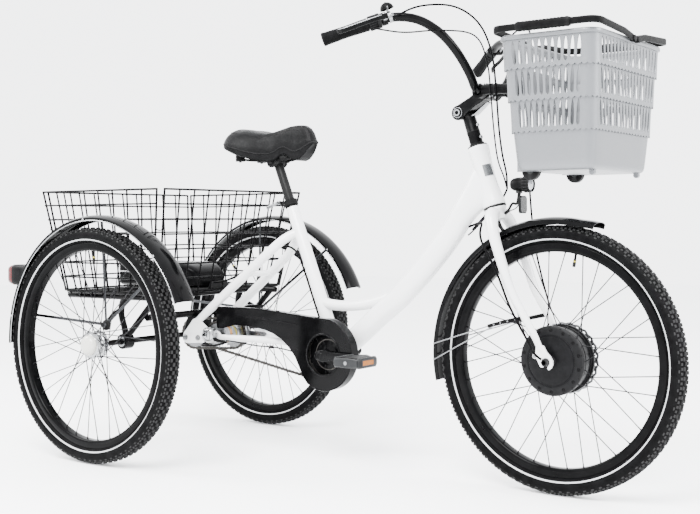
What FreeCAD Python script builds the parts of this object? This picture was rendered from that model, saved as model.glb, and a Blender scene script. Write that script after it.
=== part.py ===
import FreeCAD, Part
import Sketcher
import math
import os

# Adult tricycle with a low-step frame, front hub motor, geared middle hub,
# rear axle with two wheels, wire basket behind and a shopping basket in front.
# Row frame: +X is forwards, +Y is the rider's left, +Z is up, ground at z = 0.
# The drawing frame has the rear axle at x = 0; every placement adds row_x.

V = FreeCAD.Vector
doc = FreeCAD.newDocument("AdultTricycle")
sheet = doc.addObject("Spreadsheet::Sheet", "Sizes")

TABLE = [
    ("row_x", -628.65, "drawing frame to row frame, along X"),
    ("wheel_radius", 329.5, "tyre outside radius, all three wheels"),
    ("wheelbase", 1260.8, "rear axle to front axle"),
    ("half_track", 367.1, "centre plane to rear wheel plane"),
    ("tyre_half", 25.4, "half the tyre width"),
    ("rim_inside", 264.3, "rim inside radius"),
    ("rim_half", 15.2, "half the rim width"),
    ("spoke_size", 2.0, "spoke diameter"),
    ("axle_size", 17.0, "rear axle diameter"),
    ("run_gap", 0.06, "radial running clearance"),
    ("hub_barrel", 19.0, "rear hub barrel radius"),
    ("hub_flange", 33.0, "rear hub flange radius"),
    ("motor_radius", 85.5, "hub motor radius"),
    ("motor_half", 40.0, "half the hub motor width"),
    ("rotor_radius", 90.0, "brake rotor radius"),
    ("crank_x", 584.0, "bottom bracket, forwards of the rear axle"),
    ("crank_z", 306.0, "bottom bracket height"),
    ("crank_length", 160.0, "crank arm length"),
    ("shell_radius", 21.0, "bottom bracket shell outside radius"),
    ("shell_half", 34.0, "half the shell length"),
    ("ring_radius", 76.8, "chainring pitch radius"),
    ("cog_radius", 36.6, "hub input sprocket pitch radius"),
    ("drive_radius", 44.6, "output and axle sprocket pitch radius"),
    ("chain_line", -45.0, "first chain, y"),
    ("second_line", 28.0, "second chain, y"),
    ("hub_x", 165.0, "middle hub axle, forwards of the rear axle"),
    ("hub_z", 338.0, "middle hub axle height"),
    ("head_low_x", 1086.0, "head tube lower end x"),
    ("head_low_z", 707.0, "head tube lower end z"),
    ("head_length", 158.0, "head tube length"),
    ("head_angle", 72.0, "head angle from the ground, degrees"),
    ("steerer_radius", 14.3, "steerer tube radius"),
    ("seat_top_x", 418.0, "seat tube upper end x"),
    ("seat_top_z", 717.0, "seat tube upper end z"),
    ("seat_tube_radius", 17.5, "seat tube radius"),
    ("post_radius", 13.6, "seatpost radius"),
    ("stay_radius", 13.0, "seat stay radius"),
    ("chainstay_radius", 9.5, "chainstay radius"),
    ("brace_radius", 14.5, "brace tube radius"),
    ("down_depth", 66.0, "down tube depth"),
    ("down_width", 50.0, "down tube width"),
    ("dropout_y", 62.0, "dropout plate middle, y"),
    ("plate_size", 6.0, "dropout plate thickness"),
    ("rail_y", 245.0, "carrier rail y"),
    ("rail_z", 457.0, "carrier rail z"),
    ("rail_radius", 9.0, "carrier rail radius"),
    ("basket_top_z", 765.0, "rear basket rim height"),
    ("basket_floor_z", 468.0, "rear basket floor height"),
    ("basket_bottom_half", 265.0, "rear basket half width at the floor"),
    ("basket_top_half", 303.0, "rear basket half width at the rim"),
    ("wire", 4.0, "basket wire size"),
    ("battery_length", 350.0, "battery length"),
    ("battery_width", 156.0, "battery width"),
    ("battery_height", 76.0, "battery height"),
    ("fender_radius", 366.0, "rear fender outside radius"),
    ("fender_half", 33.0, "half the fender width"),
    ("front_fender_radius", 350.0, "front fender outside radius"),
    ("bar_radius", 11.1, "handlebar radius"),
    ("grip_radius", 16.5, "grip radius"),
    ("fork_half", 62.0, "fork leg y"),
    ("saddle_length", 268.0, "saddle length"),
    ("saddle_half", 116.0, "half the saddle width"),
    ("box_top_half", 197.0, "front basket half width at the rim"),
    ("box_low_half", 162.0, "front basket half width at the bottom"),
    ("box_low_z", 784.0, "front basket bottom height"),
    ("box_top_z", 1098.0, "front basket rim height"),
    ("box_wall", 3.0, "front basket wall"),
    ("handle_rod", 5.0, "carry handle rod radius"),
    ("cable_radius", 2.5, "outer cable radius"),
    ("shell_thickness", 2.5, "fender and guard sheet thickness"),
]


class Q:
    """A number together with the sheet expression that gives it."""

    def __init__(self, v, s):
        self.v = float(v)
        self.s = s

    @staticmethod
    def wrap(o):
        return o if isinstance(o, Q) else Q(o, "(%r)" % float(o))

    def __add__(self, o):
        o = Q.wrap(o)
        return Q(self.v + o.v, "(%s + %s)" % (self.s, o.s))

    def __sub__(self, o):
        o = Q.wrap(o)
        return Q(self.v - o.v, "(%s - %s)" % (self.s, o.s))

    def __mul__(self, o):
        o = Q.wrap(o)
        return Q(self.v * o.v, "(%s * %s)" % (self.s, o.s))

    def __truediv__(self, o):
        o = Q.wrap(o)
        return Q(self.v / o.v, "(%s / %s)" % (self.s, o.s))

    def __radd__(self, o):
        return Q.wrap(o) + self

    def __rsub__(self, o):
        return Q.wrap(o) - self

    def __rmul__(self, o):
        return Q.wrap(o) * self

    def __neg__(self):
        return Q(-self.v, "(0 - %s)" % self.s)


S = {}
for i, (alias, value, note) in enumerate(TABLE):
    cell = "B%d" % (i + 2)
    sheet.set("A%d" % (i + 2), note)
    sheet.set(cell, repr(value))
    sheet.setAlias(cell, alias)
    S[alias] = Q(value, "Sizes.%s" % alias)
doc.recompute()

ROW = S["row_x"]
NODES = []


def val(q):
    return q.v if isinstance(q, Q) else float(q)


def bind(o, prop, q):
    if isinstance(q, Q):
        setattr(o, prop, q.v)
        o.setExpression(prop, q.s)
    else:
        setattr(o, prop, float(q))


def at(o, base, rot=None):
    b = [val(c) for c in base]
    o.Placement = FreeCAD.Placement(V(*b), rot or FreeCAD.Rotation())
    for name, c in zip("xyz", base):
        if isinstance(c, Q):
            o.setExpression("Placement.Base.%s" % name, c.s)


def along(d, from_axis=V(0, 0, 1)):
    return FreeCAD.Rotation(from_axis, V(*d))


def origin_plane(body, role):
    return [f for f in body.Origin.OriginFeatures if f.Role == role][0]


def polygon(sk, pts):
    """Closed polygon whose corners are driven by the sheet."""
    n0 = sk.GeometryCount
    n = len(pts)
    for i in range(n):
        a, b = pts[i], pts[(i + 1) % n]
        sk.addGeometry(Part.LineSegment(V(val(a[0]), val(a[1]), 0), V(val(b[0]), val(b[1]), 0)), False)
    for i in range(n):
        sk.addConstraint(Sketcher.Constraint("Coincident", n0 + i, 2, n0 + (i + 1) % n, 1))
    for i, p in enumerate(pts):
        for kind, c in (("DistanceX", p[0]), ("DistanceY", p[1])):
            k = sk.addConstraint(Sketcher.Constraint(kind, -1, 1, n0 + i, 1, val(c)))
            if isinstance(c, Q):
                sk.setExpression("Constraints[%d]" % k, c.s)


def circle(sk, cx, cy, r):
    g = sk.addGeometry(Part.Circle(V(val(cx), val(cy), 0), V(0, 0, 1), val(r)), False)
    for kind, c in (("DistanceX", cx), ("DistanceY", cy)):
        k = sk.addConstraint(Sketcher.Constraint(kind, -1, 1, g, 3, val(c)))
        if isinstance(c, Q):
            sk.setExpression("Constraints[%d]" % k, c.s)
    k = sk.addConstraint(Sketcher.Constraint("Radius", g, val(r)))
    if isinstance(r, Q):
        sk.setExpression("Constraints[%d]" % k, r.s)


def new_body(name, role):
    body = doc.addObject("PartDesign::Body", name)
    body.Label = name
    sk = body.newObject("Sketcher::SketchObject", name + "_sketch")
    sk.AttachmentSupport = [(origin_plane(body, role), "")]
    sk.MapMode = "FlatFace"
    return body, sk


def turned(name, prof, angle=360.0, start=None):
    """Revolved body: profile (radius, height along the body's Z)."""
    body, sk = new_body(name, "XZ_Plane")
    polygon(sk, prof)
    rev = body.newObject("PartDesign::Revolution", name + "_turn")
    rev.Profile = sk
    rev.ReferenceAxis = (sk, ["V_Axis"])
    rev.Angle = angle
    body.Tip = rev
    return body


def plate(name, outline, length, holes=(), round_holes=(), midplane=True, role="XY_Plane"):
    """Padded body: outline polygon with polygon holes and round holes."""
    body, sk = new_body(name, role)
    if len(outline) == 3 and not isinstance(outline[0], tuple):
        circle(sk, *outline)
    else:
        polygon(sk, outline)
    for h in holes:
        polygon(sk, h)
    for h in round_holes:
        circle(sk, *h)
    pad = body.newObject("PartDesign::Pad", name + "_pad")
    pad.Profile = sk
    bind(pad, "Length", length)
    if midplane:
        try:
            pad.Midplane = True
        except Exception:
            pad.SideType = "Symmetric"
    body.Tip = pad
    return body


def cylinder(name, r, h, base, d=(0, 0, 1)):
    o = doc.addObject("Part::Cylinder", name)
    o.Label = name
    bind(o, "Radius", r)
    bind(o, "Height", h)
    at(o, base, along(d))
    return o


def box(name, size, base, rot=None):
    o = doc.addObject("Part::Box", name)
    o.Label = name
    for prop, q in zip(("Length", "Width", "Height"), size):
        bind(o, prop, q)
    at(o, base, rot)
    return o


def cone(name, r1, r2, h, base, d=(0, 0, 1)):
    o = doc.addObject("Part::Cone", name)
    o.Label = name
    bind(o, "Radius1", r1)
    bind(o, "Radius2", r2)
    bind(o, "Height", h)
    at(o, base, along(d))
    return o


def torus(name, r1, r2, base, d=(0, 0, 1)):
    o = doc.addObject("Part::Torus", name)
    o.Label = name
    bind(o, "Radius1", r1)
    bind(o, "Radius2", r2)
    at(o, base, along(d))
    return o


def fused(name, parts):
    o = doc.addObject("Part::MultiFuse", name)
    o.Label = name
    o.Shapes = parts
    o.Refine = True
    return o


def minus(name, base, tool):
    o = doc.addObject("Part::Cut", name)
    o.Label = name
    o.Base = base
    o.Tool = tool
    o.Refine = True
    return o


def group(name, parts):
    o = doc.addObject("Part::Compound", name)
    o.Label = name
    o.Links = parts
    return o


def node(o, label=None):
    """Move a finished sub-part into the row frame and register it."""
    if label:
        o.Label = label
    p = o.Placement
    if o.TypeId == "PartDesign::Body" or o.TypeId in ("Part::Cylinder", "Part::Box", "Part::Cone"):
        old = dict((k, e) for k, e in o.ExpressionEngine)
        e = old.get(".Placement.Base.x") or old.get("Placement.Base.x")
        text = "(%s + (%r))" % (ROW.s, p.Base.x) if e is None else "(%s + %s)" % (ROW.s, e)
        o.Placement = FreeCAD.Placement(V(p.Base.x + ROW.v, p.Base.y, p.Base.z), p.Rotation)
        o.setExpression("Placement.Base.x", text)
    else:
        o.Placement = FreeCAD.Placement(V(ROW.v, 0, 0), FreeCAD.Rotation())
        o.setExpression("Placement.Base.x", ROW.s)
    NODES.append(o)
    return o


def shape_node(label, shape):
    """Sub-part whose shape comes from Part's own functions."""
    o = doc.addObject("Part::Feature", label)
    o.Label = label
    o.Shape = shape
    o.Placement = FreeCAD.Placement(V(ROW.v, 0, 0), FreeCAD.Rotation())
    o.setExpression("Placement.Base.x", ROW.s)
    NODES.append(o)
    return o


def raw(name, shape):
    o = doc.addObject("Part::Feature", name)
    o.Label = name
    o.Shape = shape
    return o


# ---------------------------------------------------------------- paths
def route(points, radius=None, report=None):
    """Straight runs joined by tangent arcs through the given corners."""
    pts = [V(*p) for p in points]
    edges = []
    prev = pts[0]
    radii = []
    for i in range(1, len(pts) - 1):
        a, b, c = pts[i - 1], pts[i], pts[i + 1]
        u = (b - a).normalize()
        w = (c - b).normalize()
        turn = math.acos(max(-1.0, min(1.0, u.dot(w))))
        run = min((b - a).Length, (c - b).Length)
        t = 0.45 * run
        if radius is not None:
            t = min(t, radius * math.tan(turn / 2))
        r = t / math.tan(turn / 2)
        radii.append(r)
        p1 = b - u * t
        p2 = b + w * t
        bis = (w - u).normalize()
        centre = b + bis * (math.sqrt(r * r + t * t))
        mid = centre - bis * r
        if (p1 - prev).Length > 1e-4:
            edges.append(Part.LineSegment(prev, p1).toShape())
        edges.append(Part.Arc(p1, mid, p2).toShape())
        prev = p2
    edges.append(Part.LineSegment(prev, pts[-1]).toShape())
    if report:
        print(report, "smallest bend radius %.1f mm" % min(radii))
    return Part.Wire(edges)


def tube(points, r, inner=None, radius=None, report=None):
    wire = route(points, radius, report)
    p0 = V(*points[0])
    d = V(*points[1]) - p0
    prof = Part.Wire([Part.Circle(p0, d, r).toShape()])
    s = wire.makePipeShell([prof], True, False)
    if inner:
        prof2 = Part.Wire([Part.Circle(p0, d, inner).toShape()])
        s = s.cut(wire.makePipeShell([prof2], True, False))
    if report:
        want = math.pi * r * r * wire.Length
        print(report, "length %.0f mm, volume ratio %.4f" % (wire.Length, s.Volume / want))
    return one(s)


def one(s):
    if s.ShapeType == "Solid":
        return s
    sol = s.Solids
    return sol[0] if len(sol) == 1 else s


def rod(p, q, r):
    p = V(*p)
    q = V(*q)
    return Part.makeCylinder(r, (q - p).Length, p, q - p)


def comp(shapes):
    out = []
    for s in shapes:
        out += s.Solids
    return Part.makeCompound(out)


# ---------------------------------------------------------------- wheels
R = S["wheel_radius"]
W = S["tyre_half"]


def tyre(label, x, y):
    outer = [(-49.0, 12.3 / 25.4), (-43.3, 12.3 / 25.4), (-40.5, 0.70), (-32.5, 0.94), (-23.5, 1.0),
             (-14.5, 0.945), (-6.5, 0.75), (-1.5, 0.39), (0.0, 0.12)]
    inner = [(-49.0, 8.5 / 25.4), (-42.5, 9.5 / 25.4), (-38.5, 0.57), (-32.5, 0.76), (-23.5, 0.82),
             (-15.5, 0.77), (-10.0, 0.55), (-6.8, 0.25), (-6.5, 0.0)]
    prof = [(R + a, W * (-k)) for a, k in outer] + [(R + a, W * k) for a, k in reversed(outer)]
    prof += [(R + a, W * k) for a, k in inner] + [(R + a, W * (-k)) for a, k in reversed(inner[:-1])]
    b = turned(label, prof)
    at(b, (x, y, R), along((0, 1, 0)))
    return node(b)


def rim(label, x, y):
    h = S["rim_half"]
    r0 = S["rim_inside"]
    half = [(0.0, -4.2), (2.7, 0.0), (21.2, 0.0), (21.2, -2.6), (5.7, -2.6), (4.2, -5.2)]
    prof = [(r0 + a, -(h + k)) for a, k in half] + [(r0 + a, h + k) for a, k in reversed(half)]
    b = turned(label, prof)
    at(b, (x, y, R), along((0, 1, 0)))
    return node(b)


def spokes(x, y, z, n, r_hub, y_hub, r_rim, lean, s=1.0):
    out = []
    for k in range(n):
        side = 1 if k % 2 == 0 else -1
        cross = 1 if (k // 2) % 2 == 0 else -1
        a1 = 2 * math.pi * (k + 0.5) / n
        a0 = a1 + cross * lean
        off = y_hub + (1.6 if cross > 0 else -1.6)
        p = V(x + r_hub * math.cos(a0), y + side * off, z + r_hub * math.sin(a0))
        q = V(x + r_rim * math.cos(a1), y + side * 1.5, z + r_rim * math.sin(a1))
        out.append(Part.makeCylinder(s, (q - p).Length, p, q - p))
    return out


FX = S["wheelbase"]
T = S["half_track"]
tyre("front_tyre", FX, 0.0)
rim("front_rim", FX, 0.0)
tyre("rear_tyre_right", 0.0, -T)
rim("rear_rim_right", 0.0, -T)
tyre("rear_tyre_left", 0.0, T)
rim("rear_rim_left", 0.0, T)

sr = S["spoke_size"].v / 2
rim_in = S["rim_inside"].v - 0.5
ax = S["axle_size"] / 2


def rear_hub(label, side, bore):
    # barrel, two flanges and an end cap outboard; body Z points outboard
    b = turned(label + "_shell", [
        (bore, -30.0), (S["hub_barrel"] + 2, -30.0), (S["hub_barrel"] + 2, -26.0), (S["hub_flange"], -26.0),
        (S["hub_flange"], -23.4), (S["hub_barrel"], -20.0), (S["hub_barrel"], 0.0), (S["hub_flange"], 3.4),
        (S["hub_flange"], 6.0), (S["hub_barrel"] + 2, 6.0), (S["hub_barrel"] + 2, 13.0),
        (15.0, 19.5), (7.0, 22.4), (0.0, 23.0), (0.0, 19.0), (bore, 19.0)])
    y = T * side
    at(b, (0.0, y, R), along((0, side, 0)))
    doc.recompute()
    # spokes run from the outside faces of the flanges; the hub sits 8 mm inboard of its own middle
    yh = y.v - side * 10.0
    sp = []
    n = 36
    for k in range(n):
        fl = -24.7 if k % 2 == 0 else 4.7
        cross = 1 if (k // 2) % 2 == 0 else -1
        a1 = 2 * math.pi * (k + 0.5) / n
        a0 = a1 + cross * 0.95
        off = (1.3 + sr + 0.05) * (1 if cross > 0 else -1)
        r0 = 27.0
        p = V(r0 * math.cos(a0), y.v + side * (fl + off), R.v + r0 * math.sin(a0))
        q = V(rim_in * math.cos(a1), y.v + (1.5 if (fl > 0) == (side > 0) else -1.5), R.v + rim_in * math.sin(a1))
        sp.append(Part.makeCylinder(sr, (q - p).Length, p, q - p))
    spk = raw(label + "_spokes", comp(sp))
    return node(fused(label, [b, spk]))


rear_hub("rear_hub_right", -1, ax)
rear_hub("rear_hub_left", 1, ax + S["run_gap"])

# front motor hub: domed covers, screw ring, spoke flanges
mr = S["motor_radius"]
mh = S["motor_half"]
motor = turned("motor_shell", [
    (6.06, -(mh + 3.0)), (20.0, -(mh + 3.0)), (24.0, -(mh - 1.0)), (mr - 24, -(mh - 2.0)), (mr - 19, -(mh - 6.0)),
    (mr - 4, -(mh - 9.0)), (mr, -(mh - 13.0)), (mr, -(mh - 16.0)), (mr - 8, -(mh - 18.0)),
    (mr - 8, mh - 18), (mr, mh - 16), (mr, mh - 13), (mr - 4, mh - 9), (mr - 19, mh - 6), (mr - 24, mh - 2),
    (24.0, mh - 1), (20.0, mh + 3), (6.06, mh + 3)])
at(motor, (FX, 0.0, R), along((0, 1, 0)))
doc.recompute()
sp = []
for k in range(36):
    fl = (mh.v - 14.5) * (-1 if k % 2 == 0 else 1)
    cross = 1 if (k // 2) % 2 == 0 else -1
    a1 = 2 * math.pi * (k + 0.5) / 36
    a0 = a1 + cross * 0.42
    r0 = mr.v - 0.6
    # spokes start in the flange groove edge and lean one way or the other
    p = V(FX.v + r0 * math.cos(a0), fl, R.v + r0 * math.sin(a0))
    q = V(FX.v + rim_in * math.cos(a1), 1.5 * (1 if fl > 0 else -1), R.v + rim_in * math.sin(a1))
    d = (q - p).normalize()
    p = p + d * 1.6
    sp.append(Part.makeCylinder(sr, (q - p).Length, p, q - p))
node(fused("hub_motor", [motor, raw("motor_spokes", comp(sp))]))

# rotor: ring with holes, on the left
rr = S["rotor_radius"]
holes = []
for i in range(24):
    a = 2 * math.pi * i / 24
    holes.append(((rr - 8) * math.cos(a), (rr - 8) * math.sin(a), 3.6))
rotor = plate("brake_rotor", (0.0, 0.0, rr), 1.9, round_holes=holes + [(0.0, 0.0, 12.0)], midplane=False)
at(rotor, (FX, mh + 3.0, R), along((0, 1, 0)))
node(rotor)

# motor axle with nuts, held in the fork
axle = fused("motor_axle", [
    cylinder("motor_rod", 6.0, 150.0, (FX, -75.0, R), (0, 1, 0)),
    cylinder("motor_nut_right", 10.5, 8.0, (FX, -74.5, R), (0, 1, 0)),
    cylinder("motor_nut_left", 10.5, 8.0, (FX, 66.5, R), (0, 1, 0))])
node(axle)

# ---------------------------------------------------------------- rear axle
RA = turned("rear_axle", [
    (0.0, -385.0), (ax, -385.0), (ax, second := S["second_line"] - 12), (16.0, second),
    (16.0, S["second_line"] - 2), (S["drive_radius"] - 2.5, S["second_line"] - 2), (S["drive_radius"] - 2.5, S["second_line"] + 2),
    (ax, S["second_line"] + 2), (ax, 385.0), (0.0, 385.0)])
at(RA, (0.0, 0.0, R), along((0, 1, 0)))
node(RA)

# ---------------------------------------------------------------- middle hub
HX, HZ = S["hub_x"], S["hub_z"]
cl, sl = S["chain_line"], S["second_line"]
gh = turned("geared_hub", [
    (6.06, -51.0), (15.0, -51.0), (15.0, cl - 2), (S["cog_radius"] - 2.5, cl - 2), (S["cog_radius"] - 2.5, cl + 2),
    (22.0, cl + 2), (22.0, -38.0), (29.0, -34.0), (29.0, -30.0), (25.0, -27.0), (25.0, 18.0), (29.0, 20.0), (29.0, 24.0),
    (29.0, sl - 2), (S["drive_radius"] - 2.5, sl - 2), (S["drive_radius"] - 2.5, sl + 2), (18.0, sl + 2), (18.0, 33.5), (6.06, 33.5)])
at(gh, (HX, 0.0, HZ), along((0, 1, 0)))
node(gh)

hub_axle = fused("hub_brake", [
    cylinder("hub_rod", 6.0, 158.0, (HX, -84.0, HZ), (0, 1, 0)),
    cylinder("hub_nut_right", 11.0, 5.5, (HX, -71.5, HZ), (0, 1, 0)),
    cylinder("hub_nut_left", 11.0, 8.0, (HX, 65.6, HZ), (0, 1, 0)),
    cylinder("brake_drum", 38.0, 14.0, (HX, 35.0, HZ), (0, 1, 0)),
    cylinder("brake_fins", 44.0, 3.0, (HX, 49.0, HZ), (0, 1, 0)),
    cylinder("brake_cap", 20.0, 6.5, (HX, 52.0, HZ), (0, 1, 0)),
    box("brake_arm", (110.0, 3.0, 16.0), (HX, 48.3, HZ - 8))])
node(hub_axle)

# chrome shift box outside the right dropout, with its guard loop
bc = turned("bell_crank_body", [(6.05, 0.0), (24.0, 0.0), (24.0, 12.0), (19.0, 22.0), (8.0, 26.0), (0.0, 26.0), (0.0, 12.6), (6.05, 12.6)])
at(bc, (HX + 4, -71.6, HZ + 3), along((0, -1, 0)))
doc.recompute()
bcs = bc.Shape.copy()
bcs = bcs.cut(Part.makeCylinder(11.2, 6.0, V(HX.v, -65.5, HZ.v), V(0, -1, 0)))
bcs = bcs.cut(Part.makeCylinder(6.1, 20.0, V(HX.v, -65.5, HZ.v), V(0, -1, 0)))
plate_arm = Part.makeBox(58, 4, 14, V(HX.v + 10, -76.0, HZ.v - 18)).cut(bcs).cut(Part.makeCylinder(24.0, 30.0, V(HX.v + 4, -60, HZ.v + 3), V(0, -1, 0)))
body2 = bcs.fuse(plate_arm)
shape_node("shift_bell_crank", comp([body2]))

# ---------------------------------------------------------------- frame
ca = math.radians(S["head_angle"].v)
HU = V(-math.cos(ca), 0, math.sin(ca))
HL = V(S["head_low_x"].v, 0, S["head_low_z"].v)
HN = S["head_length"]


def hp(s, side=0.0, fwd=0.0):
    """Point at distance s along the steering axis from the head tube's lower end."""
    f = V(math.sin(ca), 0, math.cos(ca))
    p = HL + HU * s + f * fwd
    return (p.x, p.y + side, p.z)


sb = S["steerer_radius"]
head = turned("head_shell", [
    (17.3, 0.0), (29.0, 0.0), (29.0, 12.0), (26.3, 24.0), (24.0, 42.0), (22.6, 70.0), (22.6, 92.0), (23.6, 118.0),
    (26.0, 144.0), (26.0, HN), (17.3, HN)])
at(head, (S["head_low_x"], 0.0, S["head_low_z"]), along(tuple(HU)))
cup_low = turned("cup_low", [(sb + S["run_gap"], -6.0), (29.5, -6.0), (29.5, 0.0), (17.3, 0.0), (17.3, 12.0), (sb + S["run_gap"], 12.0)])
at(cup_low, (S["head_low_x"], 0.0, S["head_low_z"]), along(tuple(HU)))
cup_top = turned("cup_top", [(sb + S["run_gap"], HN - 12), (17.3, HN - 12), (17.3, HN), (26.0, HN), (25.0, HN + 6), (sb + S["run_gap"], HN + 6)])
at(cup_top, (S["head_low_x"], 0.0, S["head_low_z"]), along(tuple(HU)))
node(group("head_tube", [head, cup_low, cup_top]))
head_solid = Part.makeCylinder(17.3, HN.v + 60, HL - HU * 30, HU)
doc.recompute()
head_full = head.Shape.fuse(head_solid).fuse(Part.makeCylinder(29.5, 6.0, HL - HU * 6, HU)).fuse(Part.makeCylinder(26.0, 6.0, HL + HU * HN.v, HU))

# down tube: oval sections along a curved centre line, deeper at the head
DT = [(1062, 752, 1.28), (1040, 757 - 26, 1.30), (1014, 704, 1.12), (989, 678, 1.04), (962, 645, 1.0), (935, 612, 1.0),
      (902, 575, 1.0), (869, 540, 0.98), (833, 505, 0.97), (796, 470, 0.95), (758, 440, 0.94), (720, 411, 0.93), (690, 386, 0.92),
      (660, 362, 0.92), (620, 331, 0.9), (588, 308, 0.88)]
wires = []
for i, (x, z, k) in enumerate(DT):
    a = DT[max(i - 1, 0)]
    b = DT[min(i + 1, len(DT) - 1)]
    t = V(b[0] - a[0], 0, b[1] - a[1]).normalize()
    n = V(-t.z, 0, t.x)
    ra = S["down_depth"].v / 2 * k
    rb = S["down_width"].v / 2
    if ra < rb:
        ra = rb + 0.2
    e = Part.Ellipse(V(x, 0, z) + n * ra, V(x, rb, z), V(x, 0, z))
    wires.append(Part.Wire([e.toShape()]))
down = Part.makeLoft(wires, True, True)
cx, cz = S["crank_x"].v, S["crank_z"].v
shell_full = Part.makeCylinder(S["shell_radius"].v, 90, V(cx, -45, cz), V(0, 1, 0))
down = down.cut(head_full).cut(shell_full)
down = max(down.Solids, key=lambda q: q.Volume)
shape_node("down_tube", down)

# seat tube with its clamp collar
st_top = V(S["seat_top_x"].v, 0, S["seat_top_z"].v)
st_dir = (V(cx, 0, cz) - st_top).normalize()
st_len = (V(cx, 0, cz) - st_top).Length
seat = Part.makeCylinder(S["seat_tube_radius"].v, st_len, st_top, st_dir)
pb = S["post_radius"].v + S["run_gap"].v
seat = seat.cut(Part.makeCylinder(pb, 330, st_top, st_dir)).cut(shell_full).cut(down)
seat = max(seat.Solids, key=lambda q: q.Volume)
col = Part.makeCylinder(21.0, 18, st_top - st_dir * 18, st_dir).cut(Part.makeCylinder(pb, 40, st_top - st_dir * 30, st_dir))
lug = Part.makeBox(22, 9, 12, V(0, -4.5, 0))
lug.Placement = FreeCAD.Placement(st_top - st_dir * 15, FreeCAD.Rotation(V(0, 1, 0), 0)).multiply(FreeCAD.Placement(V(-41, 0, -6), FreeCAD.Rotation()))
col = one(col.fuse(lug.cut(Part.makeCylinder(20.0, 60, st_top - st_dir * 40, st_dir))))
shape_node("seat_tube", comp([seat, col]))
seat_solid = Part.makeCylinder(S["seat_tube_radius"].v, st_len, st_top, st_dir)

# curved brace from the seat tube to the down tube
br = tube([(524, 0, 446), (585, 0, 438), (650, 0, 441), (715, 0, 453), (790, 0, 482)], S["brace_radius"].v)
br = br.cut(seat_solid).cut(down)
br = max(br.Solids, key=lambda q: q.Volume)
shape_node("brace_tube", br)

# bottom bracket shell with bearing cups
shell = turned("shell_tube", [(17.0, -S["shell_half"]), (S["shell_radius"], -S["shell_half"]), (S["shell_radius"], S["shell_half"]), (17.0, S["shell_half"])])
at(shell, (S["crank_x"], 0.0, S["crank_z"]), along((0, 1, 0)))
cups = []
for side in (-1, 1):
    c = turned("shell_cup_%s" % ("right" if side < 0 else "left"), [
        (8.5 + 0.06, S["shell_half"] - 14), (17.0, S["shell_half"] - 14), (17.0, S["shell_half"]), (20.0, S["shell_half"]),
        (20.0, S["shell_half"] + 1.5), (8.5 + 0.06, S["shell_half"] + 1.5)])
    at(c, (S["crank_x"], 0.0, S["crank_z"]), along((0, side, 0)))
    cups.append(c)
node(group("bottom_bracket_shell", [shell] + cups))

# dropout plates, then the stays that reach them
dy = S["dropout_y"].v
pt = S["plate_size"].v


def dropout(side):
    pts = [(48, 316), (60, 311), (178, 318), (196, 326), (197, 345), (186, 352), (150, 356), (112, 384), (92, 384), (62, 352), (47, 338)]
    w = Part.makePolygon([V(x, side * dy - pt / 2, z) for x, z in pts + pts[:1]])
    p = Part.Face(w).extrude(V(0, pt, 0))
    for hx, hz, r in ((58, 328, 5.05), (109, 329, 5.05), (HX.v, HZ.v, 6.02)):
        p = p.cut(Part.makeCylinder(r, 30, V(hx, side * dy - 15, hz), V(0, 1, 0)))
    return p


plates = {s: dropout(s) for s in (-1, 1)}
plate_block = {s: Part.makeBox(300, pt, 140, V(20, s * dy - pt / 2, 290)) for s in (-1, 1)}
cs = []
for s in (-1, 1):
    c = tube([(566, s * 20, 313), (500, s * 26, 322), (440, s * 33, 330), (360, s * 55, 335), (300, s * 62, 335), (176, s * 62, 335)], S["chainstay_radius"].v)
    c = c.cut(shell_full).cut(down).cut(seat_solid)
    c = c.cut(plates[s]).cut(Part.makeBox(50, 60, 80, V(140, s * 62 - 30, 300)).cut(Part.makeBox(2, 2, 2, V(0, 0, 0))))
    c = max(c.Solids, key=lambda q: q.Volume)
    cs.append(c)
# plates end at x = 197; the stay starts at x = 200 and a flattened tip closes the joint
tips = []
for s in (-1, 1):
    t = Part.makeBox(22, 5, 14, V(178 + 19.2, s * 62 - 2.5, 328))
    tips.append(t.cut(cs[0 if s < 0 else 1]).cut(plates[s]))
bolts = []
for s in (-1, 1):
    for hx, hz in ((58, 328), (109, 329)):
        y0 = s * (dy + pt / 2)
        b = Part.makeCylinder(8.0, 4.5, V(hx, y0, hz), V(0, s, 0)).fuse(
            Part.makeCylinder(5.0, pt + 11.5, V(hx, y0 + s * 2, hz), V(0, -s, 0)))
        bolts.append(one(b))
shape_node("chain_stays", comp(cs + [plates[-1], plates[1]] + bolts))

ss = None
for s in (-1, 1):
    c = tube([(440, s * 6, 640), (404, s * 34, 612), (360, s * 49, 573), (300, s * 54, 527), (200, s * 58, 451), (96, s * 62, 372)], S["stay_radius"].v)
    c = c.cut(seat_solid)
    c = max(c.Solids, key=lambda q: q.Volume)
    ss = c if ss is None else ss.fuse(c)
ss = ss.fuse(rod((292, -52, 521), (292, 52, 521), 8.0))
for s in (-1, 1):
    ss = ss.cut(plates[s])
    ss = ss.cut(Part.makeBox(200, 200, 80, V(-60, -100, 304)))
ss = max(ss.Solids, key=lambda q: q.Volume)
shape_node("seat_stays", ss)

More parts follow.
